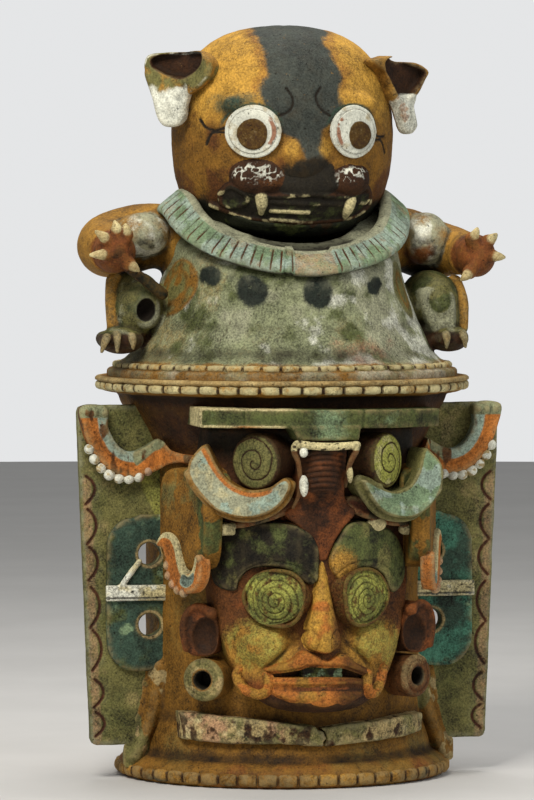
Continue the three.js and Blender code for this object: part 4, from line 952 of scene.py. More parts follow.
class Groups:
    """The effects that every clay finish uses, each a node group built once."""

    def __init__(self) -> None:
        """Builds the groups."""
        self.slip = self.build_slip()
        self.surface = self.build_surface()
        self.relief = self.build_relief()

    @staticmethod
    def build_slip() -> bpy.types.NodeTree:
        """Turns a painted mask into worn paint with a ragged edge and lost flecks.

        Returns:
            The group.
        """
        takes = {"Vector": "vector", "Mask": "number", "Wear": "number"}
        tree, nodes, given, out = new_group("worn_slip", takes, {"Cover": "number"})
        ragged = nodes.math("SUBTRACT", nodes.noise(given["Vector"], 110, 4, 0.65), 0.5)
        fine = nodes.math("SUBTRACT", nodes.noise(given["Vector"], 340, 3, 0.7), 0.5)
        edge = nodes.math("ADD", given["Mask"], nodes.math("MULTIPLY", ragged, 0.6))
        edge = nodes.math("ADD", edge, nodes.math("MULTIPLY", fine, 0.6))
        cover = nodes.span(edge, 0.12, 0.88)
        flecks = nodes.noise(given["Vector"], 95, 5, 0.7)
        lost = nodes.span(
            flecks, nodes.math("SUBTRACT", 0.72, nodes.math("MULTIPLY", given["Wear"], 0.3)), 0.76
        )
        kept = nodes.math("SUBTRACT", 1, nodes.math("MULTIPLY", lost, 0.85))
        nodes.feed(out["Cover"], nodes.math("MULTIPLY", cover, kept, clamp=True))
        return tree

    @staticmethod
    def build_surface() -> bpy.types.NodeTree:
        """Mottles and speckles a colour, darkens its hollows with dirt and painted shade, and rubs its
        ridges pale.

        Returns:
            The group.
        """
        takes = {
            "Vector": "vector",
            "Colour": "colour",
            "Ridge": "number",
            "Hollow": "number",
            "Speckle": "number",
            "Mottle": "number",
            "Grime": "number",
            "Rub": "number",
            "Rubbed colour": "colour",
        }
        tree, nodes, given, out = new_group(
            "fired_surface", takes, {"Colour": "colour", "Roughness": "number"}
        )
        vector = given["Vector"]
        clouds = nodes.span(nodes.noise(vector, 17, 4, 0.6), 0.3, 0.7, -1, 1)
        patches = nodes.span(nodes.noise(vector, 70, 4, 0.65), 0.3, 0.7, -1, 1)
        grains = nodes.span(nodes.noise(vector, 330, 3, 0.7), 0.34, 0.66, -1, 1)
        mottle = nodes.math(
            "MULTIPLY", nodes.math("ADD", clouds, nodes.math("MULTIPLY", patches, 0.8)), given["Mottle"]
        )
        speckle = nodes.math("MULTIPLY", grains, given["Speckle"])
        light = nodes.math("ADD", 1, nodes.math("ADD", mottle, speckle))
        light = nodes.math("MAXIMUM", light, 0.12)
        tint = nodes.add("ShaderNodeCombineColor")
        for socket in tint.inputs:
            nodes.feed(socket, light)
        colour = nodes.mix(1, given["Colour"], tint.outputs[0], "MULTIPLY")
        rubbed = nodes.math(
            "MULTIPLY", given["Ridge"], nodes.span(nodes.noise(vector, 60, 4, 0.7), 0.35, 0.6)
        )
        rubbed = nodes.math("MULTIPLY", rubbed, given["Rub"], clamp=True)
        colour = nodes.mix(rubbed, colour, given["Rubbed colour"])
        # Dirt and painted shade: the hollows are darkened towards near black.
        soiled_and_shaded = nodes.math("MULTIPLY", nodes.noise(vector, 24, 3, 0.6), 1.6)
        soiled_and_shaded = nodes.math(
            "MULTIPLY", nodes.math("MULTIPLY", given["Hollow"], soiled_and_shaded), given["Grime"], clamp=True
        )
        colour = nodes.mix(soiled_and_shaded, colour, (0.016, 0.010, 0.006, 1))
        pits = nodes.span(nodes.noise(vector, 210, 2, 0.5), 0.33, 0.24)
        colour = nodes.mix(nodes.math("MULTIPLY", pits, 0.7), colour, (0.012, 0.008, 0.005, 1))
        nodes.feed(out["Colour"], colour)
        rough = nodes.math("ADD", 0.72, nodes.math("MULTIPLY", patches, 0.09))
        nodes.feed(
            out["Roughness"], nodes.math("ADD", rough, nodes.math("MULTIPLY", soiled_and_shaded, 0.15), clamp=True)
        )
        return tree

    @staticmethod
    def build_relief() -> bpy.types.NodeTree:
        """The height of the clay's grain, pits and dents, in metres.

        Returns:
            The group.
        """
        takes = {"Vector": "vector", "Depth": "number"}
        tree, nodes, given, out = new_group("clay_relief", takes, {"Height": "number"})
        vector = given["Vector"]
        grain = nodes.math("MULTIPLY", nodes.noise(vector, 420, 3, 0.6), 0.0007)
        lumps = nodes.math("MULTIPLY", nodes.noise(vector, 110, 3, 0.55), 0.0016)
        pits = nodes.math("MULTIPLY", nodes.span(nodes.noise(vector, 210, 2, 0.5), 0.34, 0.24), -0.0011)
        height = nodes.math("ADD", nodes.math("ADD", grain, lumps), pits)
        nodes.feed(out["Height"], nodes.math("MULTIPLY", height, given["Depth"]))
        return tree


@dataclass(frozen=True)
class Finish:
    """How a piece of clay was fired, painted and worn.

    Attributes:
        clay: The colour under its paint.
        speckle: How strongly its grains differ.
        mottle: How strongly its patches differ.
        grime: How dark its hollows are made, by dirt and by painted shade.
        rub: How far its ridges are rubbed to the rubbed colour.
        rubbed: The colour of the rubbed ridges.
        wear: How much of its paint is lost.
        depth: The strength of its relief.
    """

    clay: Slip
    speckle: float = 0.34
    mottle: float = 0.3
    grime: float = 0.9
    rub: float = 0.35
    rubbed: Slip = Slip.BUFF
    wear: float = 0.35
    depth: float = 1.0

    def material(self, coats: tuple[Slip, ...], groups: Groups) -> bpy.types.Material:
        """Builds the material.

        Args:
            coats: The colours laid over the clay, in order; each has a mask at the mesh's points.
            groups: The shared node groups.

        Returns:
            The material, made once for each finish and set of coats.
        """
        name = "_".join(
            [self.clay.name.lower(), *(c.name.lower() for c in coats), f"{abs(hash(self.key())) % 9973}"]
        )
        if name in bpy.data.materials:
            return bpy.data.materials[name]
        made = bpy.data.materials.new(name)
        made.use_nodes = True
        nodes = Nodes(made.node_tree)
        vector = nodes.add("ShaderNodeTexCoord").outputs["Object"]
        colour: object = self.clay.linear()
        for i, coat in enumerate(coats):
            worn = nodes.add("ShaderNodeGroup", node_tree=groups.slip)
            nodes.feed(worn.inputs["Vector"], vector)
            nodes.feed(worn.inputs["Mask"], nodes.attribute(f"coat_{i + 1}"))
            worn.inputs["Wear"].default_value = self.wear
            colour = nodes.mix(worn.outputs["Cover"], colour, coat.linear())
        surface = nodes.add("ShaderNodeGroup", node_tree=groups.surface)
        nodes.feed(surface.inputs["Vector"], vector)
        nodes.feed(surface.inputs["Colour"], colour)
        nodes.feed(surface.inputs["Ridge"], nodes.attribute("ridge"))
        nodes.feed(surface.inputs["Hollow"], nodes.attribute("hollow"))
        for label, value in (
            ("Speckle", self.speckle), ("Mottle", self.mottle), ("Grime", self.grime), ("Rub", self.rub)
        ):
            surface.inputs[label].default_value = value
        surface.inputs["Rubbed colour"].default_value = self.rubbed.linear()
        relief = nodes.add("ShaderNodeGroup", node_tree=groups.relief)
        nodes.feed(relief.inputs["Vector"], vector)
        relief.inputs["Depth"].default_value = self.depth
        raised = nodes.add("ShaderNodeBump")
        raised.inputs["Strength"].default_value = 1
        raised.inputs["Distance"].default_value = 1
        nodes.feed(raised.inputs["Height"], relief.outputs["Height"])
        shader = nodes.add("ShaderNodeBsdfPrincipled")
        nodes.feed(shader.inputs["Base Color"], surface.outputs["Colour"])
        nodes.feed(shader.inputs["Roughness"], surface.outputs["Roughness"])
        nodes.feed(shader.inputs["Normal"], raised.outputs["Normal"])
        shader.inputs["Specular IOR Level"].default_value = 0.2
        output = nodes.add("ShaderNodeOutputMaterial")
        nodes.feed(output.inputs["Surface"], shader.outputs["BSDF"])
        return made

    def key(self) -> tuple[float, ...]:
        """The numbers that tell one finish from another."""
        return (self.speckle, self.mottle, self.grime, self.rub, self.wear, self.depth)


Coat = tuple[Slip, Mask]


@dataclass(frozen=True)
class Workshop:
    """Turns skins of clay into painted pieces that ride on one body.

    Attributes:
        body: The body: the vessel or the lid.
        groups: The shader node groups that all finishes share.
    """

    body: str
    groups: Groups

    def fire(
        self,
        name: str,
        skin: tuple[Array, Array],
        slot: str,
        finish: Finish,
        coats: Sequence[Coat] = (),
        lumps: float = 0.5,
        seed: int = 1,
        dents: Mask | None = None,
    ) -> bpy.types.Object:
        """Makes one piece.

        Args:
            name: The piece's name, which is also the solid's that it stands for.
            skin: Its points in millimetres, and its quads.
            slot: Not used.
            finish: How it was fired and worn.
            coats: The slips laid over the clay, each with a mask of its points.
            lumps: The height in millimetres of the unevenness of the hand-worked clay.
            seed: Chooses the unevenness.
            dents: How deep lines or dimples are pressed in, in millimetres, from its points.

        Returns:
            The piece, in the frame.
        """
        points, quads = skin
        lattice = Lattice(len(points), quads)
        masks = [np.clip(mask(points), 0, 1) for _, mask in coats]
        normals = normals_of(points, quads)
        rise = lumps * (unevenness(points, 48, seed) + 0.45 * unevenness(points, 13, seed + 1))
        if dents is not None:
            rise = rise - dents(points)
        rise = rise * ease(0.2, 5, points[:, 2]) * ease(0.5, 5, np.abs(points[:, 2] - SEAT))
        points = points + normals * rise[:, None]
        ridge, hollow = self.curvature(points, quads, lattice)
        mesh = bpy.data.meshes.new(name)
        mesh.vertices.add(len(points))
        mesh.vertices.foreach_set("co", (points * METRES).astype(np.float32).ravel())
        mesh.loops.add(quads.size)
        mesh.loops.foreach_set("vertex_index", quads.astype(np.int32).ravel())
        mesh.polygons.add(len(quads))
        mesh.polygons.foreach_set("loop_start", np.arange(0, quads.size, 4, dtype=np.int32))
        mesh.polygons.foreach_set("use_smooth", np.ones(len(quads), bool))
        mesh.update(calc_edges=True)
        values = {"ridge": ridge, "hollow": hollow}
        values.update({f"coat_{i + 1}": mask for i, mask in enumerate(masks)})
        for label, value in values.items():
            kept = mesh.attributes.new(label, "FLOAT", "POINT")
            kept.data.foreach_set("value", value.astype(np.float32))
        mesh.materials.append(finish.material(tuple(c for c, _ in coats), self.groups))
        piece = bpy.data.objects.new(name, mesh)
        bpy.context.scene.collection.objects.link(piece)
        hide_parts(name)
        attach(piece, self.body)
        log.info("%s: %d points", name, len(points))
        return piece

    @staticmethod
    def curvature(points: Array, quads: Array, lattice: Lattice) -> tuple[Array, Array]:
        """Reads where a skin stands out and where it is hollow.

        Args:
            points: Its points.
            quads: Its quads.
            lattice: Its neighbours.

        Returns:
            How far each point is on a ridge, and in a hollow, from 0 to 1.
        """
        total = np.zeros(len(points))
        soft = points
        for rounds, strength in ((2, 1.2), (8, 1)):
            calm = lattice.relax(soft, rounds)
            normals = normals_of(calm, quads)
            total += strength * np.einsum("ij,ij->i", lattice.relax(calm, rounds) - calm, normals)
            soft = calm
        total = lattice.relax(total, 2)
        return np.clip(-total * 1.6, 0, 1), np.clip(total * 1.6, 0, 1)

    def lute(
        self,
        name: str,
        forms: Sequence[Form],
        carriers: Sequence[Form],
        slot: str,
        finish: Finish,
        coats: Sequence[Coat] = (),
        step: float = 1.8,
        soft: float = 8,
        reach: float = 8,
        cuts: Sequence[Form] = (),
        **more: object,
    ) -> bpy.types.Object:
        """Makes a piece of a few joined forms, with a soft seam that dies out in what carries it.

        Args:
            name: The piece's name, which is also the solid's that it stands for.
            forms: The forms that it is made of.
            carriers: The forms that it is luted on to.
            slot: Passed on to fire().
            finish: How it was fired and worn.
            coats: The slips laid over the clay, each with a mask of its points.
            step: The spacing of its samples.
            soft: The width of its seams.
            reach: How far from its forms the seam may spread.
            cuts: The forms that are cut away from it.
            **more: What fire() takes besides.

        Returns:
            The piece, in the frame.
        """
        low = np.min([f.low for f in forms], axis=0) - reach
        high = np.max([f.high for f in forms], axis=0) + reach
        block = Block(tuple(low), tuple(high), step)
        piece = Block(tuple(low), tuple(high), step)
        for form in forms:
            piece.add(form, min(soft, 4))
        for carrier in carriers:
            block.add(
                Form(lambda x, y, z, c=carrier: c.distance(x, y, z) + 0.5, carrier.low, carrier.high), soft
            )
        here, new = block.field, piece.field
        blend = np.maximum(soft - np.abs(here - new), 0) / soft
        joined = np.minimum(here, new) - blend * blend * soft / 4
        piece.field = np.maximum(joined, new - reach)
        for cut in cuts:
            piece.cut(cut, 1.5)
        return self.fire(name, piece.skin(), slot, finish, coats, **more)


# Marks on the clay


def near_line(places: Array, line: Sequence[Sequence[float]]) -> Array:
    """How far places are from a chain of straight lines, in a plane or in space.

    Args:
        places: The places, one a row.
        line: The corners of the chain.

    Returns:
        The distances.
    """
    knots = np.array(line, float)
    nearest = np.full(len(places), np.inf)
    for start, end in zip(knots[:-1], knots[1:]):
        along = end - start
        share = np.clip((places - start) @ along / (along @ along + 1e-9), 0, 1)
        nearest = np.minimum(nearest, np.linalg.norm(places - start - share[:, None] * along, axis=1))
    return nearest


def mark(gap: Array, half: float, soft: float = 1.4) -> Array:
    """Is 1 within half a width of a line and 0 beyond it."""
    return ease(half + soft, half - soft, gap)


def front(points: Array) -> Array:
    """The places of points in front view."""
    return points[:, [0, 2]]


def cloud(
    size: float, seed: int, low: float = -0.2, high: float = 0.4, share: float = 1, octaves: int = 4
) -> Mask:
    """A mask of irregular patches, wider as low and high go down and thinner as the share does."""
    return lambda points: share * ease(low, high, unevenness(points, size, seed, octaves))


def upright_bore(centre: tuple[float, float], radius: float) -> Form:
    """A round hole straight through from front to back, at a place in front view.

    Args:
        centre: Its middle, across and up.
        radius: Its radius.

    Returns:
        The form.
    """
    low = (centre[0] - radius, -300, centre[1] - radius)
    high = (centre[0] + radius, 300, centre[1] + radius)
    return Form(lambda x, y, z: np.hypot(x - centre[0], z - centre[1]) - radius + 0 * y, low, high)


def wrapped(outline: Outline, inner: float, outer: float, edge: float = 2) -> Form:
    """A slab bent round the front of the drum.

    Args:
        outline: Its outline in front view.
        inner: The radius of its back.
        outer: The radius of its front.
        edge: The rounding of its edges.

    Returns:
        The form.
    """
    middle, half = (inner + outer) / 2, (outer - inner) / 2

    def distance(x: Array, y: Array, z: Array) -> Array:
        """The signed distance at places across, front to back and up."""
        deep = np.abs(np.hypot(x, y) - middle) - half
        return np.where(y < 0, rounded(outline.distance(x, z), deep, edge), EMPTY)

    low, high = outline.low + Outline.MARGIN, outline.high - Outline.MARGIN
    return Form(distance, (low[0], -outer, low[1]), (high[0], 0, high[1]))


def pressed_band(
    radius: float, low: float, high: float, depth: float, presses: int, seed: int
) -> tuple[Array, Array]:
    """A band of clay round the urn, pressed with a fingertip into a row of beads.

    Args:
        radius: The radius that the band is laid on.
        low: Its lowest height.
        high: Its highest height.
        depth: How far the beads stand out.
        presses: How many beads go round.
        seed: Chooses how the beads differ.

    Returns:
        The band's skin.
    """
    sides = presses * 16
    angle = np.arange(sides) * 2 * math.pi / sides
    place = angle * presses / (2 * math.pi)
    order = np.floor(place).astype(int)
    swell = np.abs(np.sin(place * math.pi)) ** 0.36
    chance = np.random.default_rng(seed)
    full = 0.86 + 0.14 * chance.random(presses)[order]
    shift = (chance.random(presses)[order] - 0.5) * 0.16
    bend = np.linspace(-math.pi / 2, math.pi / 2, 11)[:, None]
    middle, half = (low + high) / 2, (high - low) / 2
    out = radius + depth * np.cos(bend) ** 0.7 * (0.1 + 0.9 * swell * full)
    up = middle + half * np.sin(bend) * (0.62 + 0.38 * swell) + half * shift * np.cos(bend) * swell
    out = np.concatenate([np.full((1, sides), radius - 4), out, np.full((2, sides), radius - 4)])
    up = np.concatenate([up[:1], up, up[-1:], up[:1]])
    return swept(np.stack([out * np.cos(angle), out * np.sin(angle), up], axis=2), closed_ends=False)


def between(presses: int) -> Mask:
    """A mask of painted shade in the gaps between the beads of a pressed band."""
    return lambda p: 0.9 * ease(0.4, 0.1, np.abs(np.sin(np.arctan2(p[:, 1], p[:, 0]) * presses / 2)))


# The urn's parts


@dataclass(frozen=True)
class Vessel:
    """The pot itself, with its foot, flared mouth and flange, and the two pressed fillets.

    Attributes:
        height: The height of its mouth.
        wall: The radius of its wall.
        thickness: The thickness of its wall.
        base: The radius of its foot.
        flange: The radius of its flange.
        rim_beads: The number of beads round its rim.
        base_beads: The number of beads round its foot.
    """

    height: float = 597.0
    wall: float = 205.0
    thickness: float = 18.0
    base: float = 246.0
    flange: float = 281.0
    rim_beads: int = 56
    base_beads: int = 52

    def profile(self) -> Array:
        """The section from the middle of the underside round to the middle of the floor.

        Returns:
            Rows of radius and height.
        """
        top, lip, inner = self.height, self.flange, self.wall - self.thickness
        outer = [
            (1.5, 0), (self.base - 4, 0), (self.base, 4), (self.base, 22), (238, 30), (223, 38), (219, 55),
            (self.wall, 95), (self.wall, 480), (221, 519.5), (243, 559), (247, 571), (lip - 11, 575),
            (lip - 7, 579), (lip - 7, 590), (lip, 590), (lip, top - 2.3), (lip - 2.3, top),
        ]
        inside = [(225, top), (225, 559), (203, 519.5), (inner, 480), (inner, 44), (165, 22)]
        return spaced([*outer, *inside, (1.5, 22)], 4.5, 1)

    def build(self, shop: Workshop) -> None:
        """Makes the pot and its fillets.

        Args:
            shop: Where its pieces are fired.
        """
        sides = 560
        finish = Finish(Slip.DEEP_OCHRE, rubbed=Slip.OCHRE, grime=0.9)
        reach = lambda p: np.hypot(p[:, 0], p[:, 1])
        ahead = lambda p: ease(40, -120, p[:, 1])
        coats = (
            (
                Slip.OLIVE,
                lambda p: 0.5 * ease(-0.2, 0.8, unevenness(p, 130, 5, 4)) * ease(560, 430, p[:, 2]),
            ),
            # Painted shade on the front of the neck, under the flange and behind the jaw.
            (
                Slip.DARK_BROWN,
                lambda p: ease(430, 520, p[:, 2]) * ease(262, 246, reach(p)) * ahead(p) * 0.85,
            ),
            # A painted highlight along the top of the flange's outer edge.
            (Slip.BUFF, lambda p: mark(np.abs(p[:, 2] - 594), 4.5) * ease(268, 276, reach(p))),
            (
                Slip.RUST,
                lambda p: ease(60, 25, p[:, 2]) * (0.2 + 0.5 * ease(-0.4, 0.7, unevenness(p, 60, 8))),
            ),
        )
        shop.fire(
            "vessel_body",
            swept(self.rings(sides), closed_ends=True),
            "ochre_clay",
            finish,
            coats,
            lumps=0.9,
            dents=self.cracks,
        )
        painted = Finish(Slip.BUFF, rubbed=Slip.CREAM, grime=1, rub=0.8)
        # The rim's paint, worn in clouds, with painted shade in the gaps between its beads.
        worn = (
            (Slip.OCHRE, cloud(30, 21, -0.3, 0.7)),
            (Slip.CREAM, cloud(18, 22, -0.4, 0.5)),
            (Slip.DARK_BROWN, between(56)),
        )
        band = pressed_band(273, 576.5, 589.5, 8, self.rim_beads, 3)
        shop.fire("rim_fillet", band, "cream_slip", painted, worn, lumps=0.25)
        fired = Finish(Slip.OCHRE, rubbed=Slip.BUFF, grime=1, rub=0.5)
        # The foot's clay, burnt in patches, with painted shade in the gaps between its beads.
        burnt = (
            (Slip.DEEP_OCHRE, cloud(70, 23, -0.4, 0.5)),
            (Slip.SOOT, cloud(60, 24, 0.3, 0.9)),
            (Slip.DARK_BROWN, between(52)),
        )
        band = pressed_band(245, 3.5, 21.5, 8, self.base_beads, 4)
        shop.fire("base_fillet", band, "buff_clay", fired, burnt, lumps=0.3)

    def rings(self, sides: int) -> Array:
        """The profile turned about the axis.

        Args:
            sides: How many steps go round.

        Returns:
            Rings of points.
        """
        profile = self.profile()
        angle = np.arange(sides) * 2 * math.pi / sides
        x, y = profile[:, :1] * np.cos(angle), profile[:, :1] * np.sin(angle)
        return np.stack([x, y, np.repeat(profile[:, 1:], sides, axis=1)], axis=2)

    @staticmethod
    def cracks(points: Array) -> Array:
        """The thin cracks down through the flange and the neck.

        Args:
            points: The points, one a row.

        Returns:
            Their depth at each point.
        """
        angle = np.degrees(np.arctan2(points[:, 0], -points[:, 1]))
        wander = 0.5 * unevenness(points, 9, 31)
        total = np.zeros(len(points))
        for place in (-28, -3.5, 20):
            total += 1.6 * mark(np.abs(angle - place + wander) * 4.9, 1, 0.9) * ease(560, 575, points[:, 2])
        return total


@dataclass(frozen=True)
class Wings:
    """The flat wings at the sides, with what is luted on to them.

    Attributes:
        plane: The place front to back of a wing's middle.
        half: Half of a wing's thickness.
        top: The height of its top.
        bottom: The height of its foot.
        top_reach: How far out its top corner is.
        bottom_reach: How far out its bottom corner is.
        hole: The radius of its two holes.
        hole_reach: How far out the holes are.
        hole_heights: The heights of the holes.
        scallops: The height and the half width of each scallop of its outer edge.
    """

    plane: float = -45.0
    half: float = 9.0
    top: float = 556.0
    bottom: float = 51.0
    top_reach: float = 322.0
    bottom_reach: float = 301.0
    hole: float = 16.5
    hole_reach: float = 215.0
    hole_heights: tuple[float, float] = (335, 230)
    scallops: tuple[tuple[float, float], ...] = (
        (430, 21), (376, 26), (321, 25), (256, 30), (192, 30), (128, 21), (82, 18),
    )

    def edge(self, z: Array | float) -> Array | float:
        """How far out the wing's edge is at a height."""
        share = (z - self.bottom) / (self.top - self.bottom)
        return self.bottom_reach + (self.top_reach - self.bottom_reach) * share

    def front_of(
        self, outline: Sequence[Sequence[float]], back: float, rise: float, edge: float = 2,
        smooth: bool = True,
    ) -> Form:
        """A slab on the wing, given by its outline on the right wing in front view."""
        plane = Plane((0, self.plane - self.half, 0))
        return slab(plane, Outline(outline, smooth), -back, rise, edge)

    def scallop_lines(self) -> list[Array]:
        """The incised curves down the outer edge of the right wing.

        Returns:
            A line for each scallop.
        """
        lines = []
        for middle, half in self.scallops:
            bend = [(8, 1), (17, 0.62), (21, 0.05), (17, -0.5), (7, -1)]
            lines.append(flow([(self.edge(middle) - a, middle + b * half) for a, b in bend], 5))
        return lines

    def build(self, shop: Workshop) -> None:
        """Makes both wings and their ornament.

        Args:
            shop: Where its pieces are fired.
        """
        for side in Side:
            self.build_wing(shop, side)
            self.build_plaque(shop, side)
            self.build_scroll(shop, side)
            self.build_bracket(shop, side)

    def sided(self, form: Form, side: Side) -> Form:
        """A form given for the right wing, for either wing."""
        return form if side is Side.RIGHT else mirrored(form)

    def build_wing(self, shop: Workshop, side: Side) -> None:
        """Makes one wing.

        Args:
            shop: Where its pieces are fired.
            side: The side that it is on.
        """
        corners = [
            (188, self.top), (312, self.top), (319.5, 553.5), (self.top_reach, 546), (302, 60), (299, 53.5),
            (293, self.bottom), (188, self.bottom),
        ]
        form = self.front_of(corners, 2 * self.half, 0, 3, smooth=False)
        block = Block(
            (186, self.plane - self.half, self.bottom), (324, self.plane + self.half, self.top), 1.9
        )
        block.add(form)
        for height in self.hole_heights:
            block.cut(upright_bore((self.hole_reach, height), self.hole), 3)
        points, quads = block.skin()
        if side is Side.LEFT:
            points, quads = points * np.array([-1, 1, 1]), quads[:, ::-1]
        lines = self.scallop_lines()

        def on_right(p: Array) -> Array:
            """Places in front view, folded on to the right wing."""
            return np.stack([np.abs(p[:, 0]), p[:, 2]], axis=1)

        def curves(p: Array) -> Array:
            """How far points are from the incised curves."""
            return np.min([near_line(on_right(p), line) for line in lines], axis=0)

        def facing(p: Array) -> Array:
            """Is 1 on the wing's front."""
            return ease(self.plane - 3, self.plane - 7, p[:, 1])

        def lobes(p: Array) -> Array:
            """The painted lobes down the wing's edge."""
            inward = self.edge(p[:, 2]) - np.abs(p[:, 0])
            return mark(np.abs(inward - 9), 7.5, 3) * facing(p) * ease(470, 440, p[:, 2])

        def pale_leaf(p: Array) -> Array:
            """The pale leaf below the scroll."""
            leaf = [(-197, 470), (-222, 465), (-228, 440), (-212, 405), (-200, 378), (-192, 392)]
            gap = Outline(leaf).distance(-np.abs(p[:, 0]), p[:, 2])
            return 0.7 * ease(4, -4, gap) * facing(p)

        coats = (
            (Slip.MOSS, cloud(60, 41 + side.value, -0.5, 0.7, 0.45)),
            (Slip.BUFF, cloud(40, 43 + side.value, 0, 0.9, 0.4)),
            (Slip.PINK, lambda p: 0.5 * lobes(p)),
            (Slip.LIME, lambda p: 0.8 * pale_leaf(p)),
            (Slip.OXBLOOD, lambda p: 0.9 * mark(curves(p), 2.4) * facing(p)),
        )
        name = f"wing_{side.label}"
        finish = Finish(Slip.OLIVE, speckle=0.42, mottle=0.34, rubbed=Slip.STONE, rub=0.5, wear=0.6)
        groove = lambda p: 2.2 * mark(curves(p), 1.9, 1.5) * facing(p)
        skin = (points, quads)
        shop.fire(name, skin, "olive_slip", finish, coats, seed=45 + side.value, dents=groove)

    def build_plaque(self, shop: Workshop, side: Side) -> None:
        """Makes the plaque on one wing and the band tied across it.

        Args:
            shop: Where its pieces are fired.
            side: The side that it is on.
        """
        corners = [
            (186, 388), (240, 388), (262, 380), (275, 362), (279, 335), (279, 215), (276, 190), (262, 170),
            (240, 161), (205, 163), (186, 170),
        ]
        form = self.sided(self.front_of(corners, 3, 10, 3.5), side)
        block = Block((186, -66, 159), (281, -50, 390), 1.7)
        if side is Side.LEFT:
            block = Block((-281, -66, 159), (-186, -50, 390), 1.7)
        block.add(form)
        for height in self.hole_heights:
            block.cut(upright_bore((side.value * self.hole_reach, height), self.hole), 3)
        hue, worn = (Slip.TEAL, Slip.DEEP_TEAL) if side is Side.RIGHT else (Slip.DEEP_TEAL, Slip.MOSS)
        rings = [(side.value * self.hole_reach, height) for height in self.hole_heights]

        def rims(p: Array) -> Array:
            """The pale rims round the two holes."""
            return sum(mark(np.abs(np.hypot(p[:, 0] - x, p[:, 2] - z) - 19.5), 2.2) for x, z in rings) * 0.8

        coats = (
            (worn, cloud(40, 51 + side.value, -0.3, 0.8)),
            (Slip.SEA_GREEN, cloud(28, 53, 0.3, 1.3)),
            (Slip.BUFF, rims),
        )
        name = f"wing_plaque_{side.label}"
        finish = Finish(hue, speckle=0.42, mottle=0.42, rubbed=Slip.BUFF, rub=0.5, wear=0.5)
        shop.fire(name, block.skin(), "teal_slip", finish, coats, seed=55)
        band = [(188, 266), (281, 266), (281, 289), (188, 289)]
        forms = [self.sided(self.front_of(band, -7, 16.5, 2, smooth=False), side)]
        if side is Side.LEFT:
            forms.append(rod([(-258, -66, 288), (-246, -67, 305), (-231, -66, 324)], 4.2))
        dashes = lambda p: 0.8 * mark(np.abs(p[:, 2] - 270.5), 1.6) + 0.8 * ease(
            0.45, 0.9, unevenness(p, 9, 57)
        )
        coats = ((Slip.WHITE, cloud(30, 56, -0.1, 0.8)), (Slip.SOOT, dashes))
        name = f"tie_band_{side.label}"
        finish = Finish(Slip.CREAM, speckle=0.5, mottle=0.34, rubbed=Slip.WHITE, grime=1)
        block = Block(
            tuple(np.min([f.low for f in forms], 0)), tuple(np.max([f.high for f in forms], 0)), 1.5
        )
        for form in forms:
            block.add(form, 3)
        shop.fire(name, block.skin(), "cream_slip", finish, coats, seed=58)

    def build_scroll(self, shop: Workshop, side: Side) -> None:
        """Makes the scroll that hangs from a wing's top corner, with its beads and knobs.

        Args:
            shop: Where its pieces are fired.
            side: The side that it is on.
        """
        arc = [
            (320, 554), (316, 520), (304, 492), (285, 467), (262, 453), (240, 449), (222, 454), (206, 462),
            (194, 470), (194, 490), (203, 505), (222, 495), (238, 488), (250, 488), (262, 495), (272, 509),
            (279, 527), (281, 554),
        ]
        tail = [
            (214, 458), (194, 470), (178, 473), (158, 466), (146, 468), (146, 484), (163, 484), (178, 486),
            (192, 491), (204, 504),
        ]
        flat = self.sided(self.front_of(arc, 3, 20, 4), side)
        bent = self.sided(wrapped(Outline(tail), 196, 226, 4), side)
        block = Block(tuple(np.minimum(flat.low, bent.low)), tuple(np.maximum(flat.high, bent.high)), 1.9)
        block.add(flat).add(bent, 6)
        for x in (312, 298, 285):
            block.add(ball((side.value * x, -72, 546), (6.5, 6, 6.5)), 2)
        inner = flow([(281, 554), (279, 527), (272, 509), (262, 495), (250, 488), (238, 487)], 5)
        outer = [(304, 554), (302, 530), (292, 503), (276, 482), (258, 470), (240, 466), (212, 484)]
        outer = flow(outer, 5)
        leaf = Outline([(240, 487), (206, 506), (201, 497), (230, 471), (238, 468)])

        def right(p: Array) -> Array:
            """Places in front view, folded on to the right wing."""
            return np.stack([np.abs(p[:, 0]), p[:, 2]], axis=1)

        def pale(p: Array) -> Array:
            """The pale band along the scroll."""
            return mark(near_line(right(p), inner), 15, 2) * ease(0, 2, near_line(right(p), outer) - 2)

        def green(p: Array) -> Array:
            """The green leaf and the strip along the top."""
            return ease(2, -2, leaf.distance(np.abs(p[:, 0]), p[:, 2])) + ease(536, 540, p[:, 2])

        orange = Slip.ORANGE
        streaks = lambda p: 0.8 * ease(0.25, 0.5, unevenness(p * np.array([1, 1, 0.4]), 16, 61))
        coats = ((Slip.PALE_BLUE, pale), (Slip.GREY_GREEN, green), (Slip.BROWN, streaks))
        lines = lambda p: 1.3 * mark(near_line(right(p), outer), 1, 1.2)
        name = f"wing_scroll_{side.label}"
        finish = Finish(orange, speckle=0.34, rubbed=Slip.BUFF, rub=0.5)
        shop.fire(name, block.skin(), "ochre_clay", finish, coats, seed=62, dents=lines)
        places = [
            (306.5, 492), (298.5, 477), (289, 463.5), (276.5, 453.5), (262, 448), (247, 447),
            (232.5, 450.5), (219, 458.5),
        ]
        beads = Block((208, -80, 436), (318, -58, 504), 1.2)
        if side is Side.LEFT:
            beads = Block((-318, -80, 436), (-208, -58, 504), 1.2)
        for i, (x, z) in enumerate(places):
            size = 8.1 + 0.5 * math.sin(2.4 * i)
            beads.add(ball((side.value * x, -68, z), (size, 8.5, size * 0.97)), 0.8)
        coats = ((Slip.PINK, lambda p: ease(236, 224, np.abs(p[:, 0]))), (Slip.BUFF, cloud(14, 63, 0, 0.4)))
        name = f"wing_beads_{side.label}"
        finish = Finish(Slip.WHITE, speckle=0.22, mottle=0.2, rubbed=Slip.WHITE, grime=1)
        shop.fire(name, beads.skin(), "cream_slip", finish, coats, lumps=0.4, seed=64)

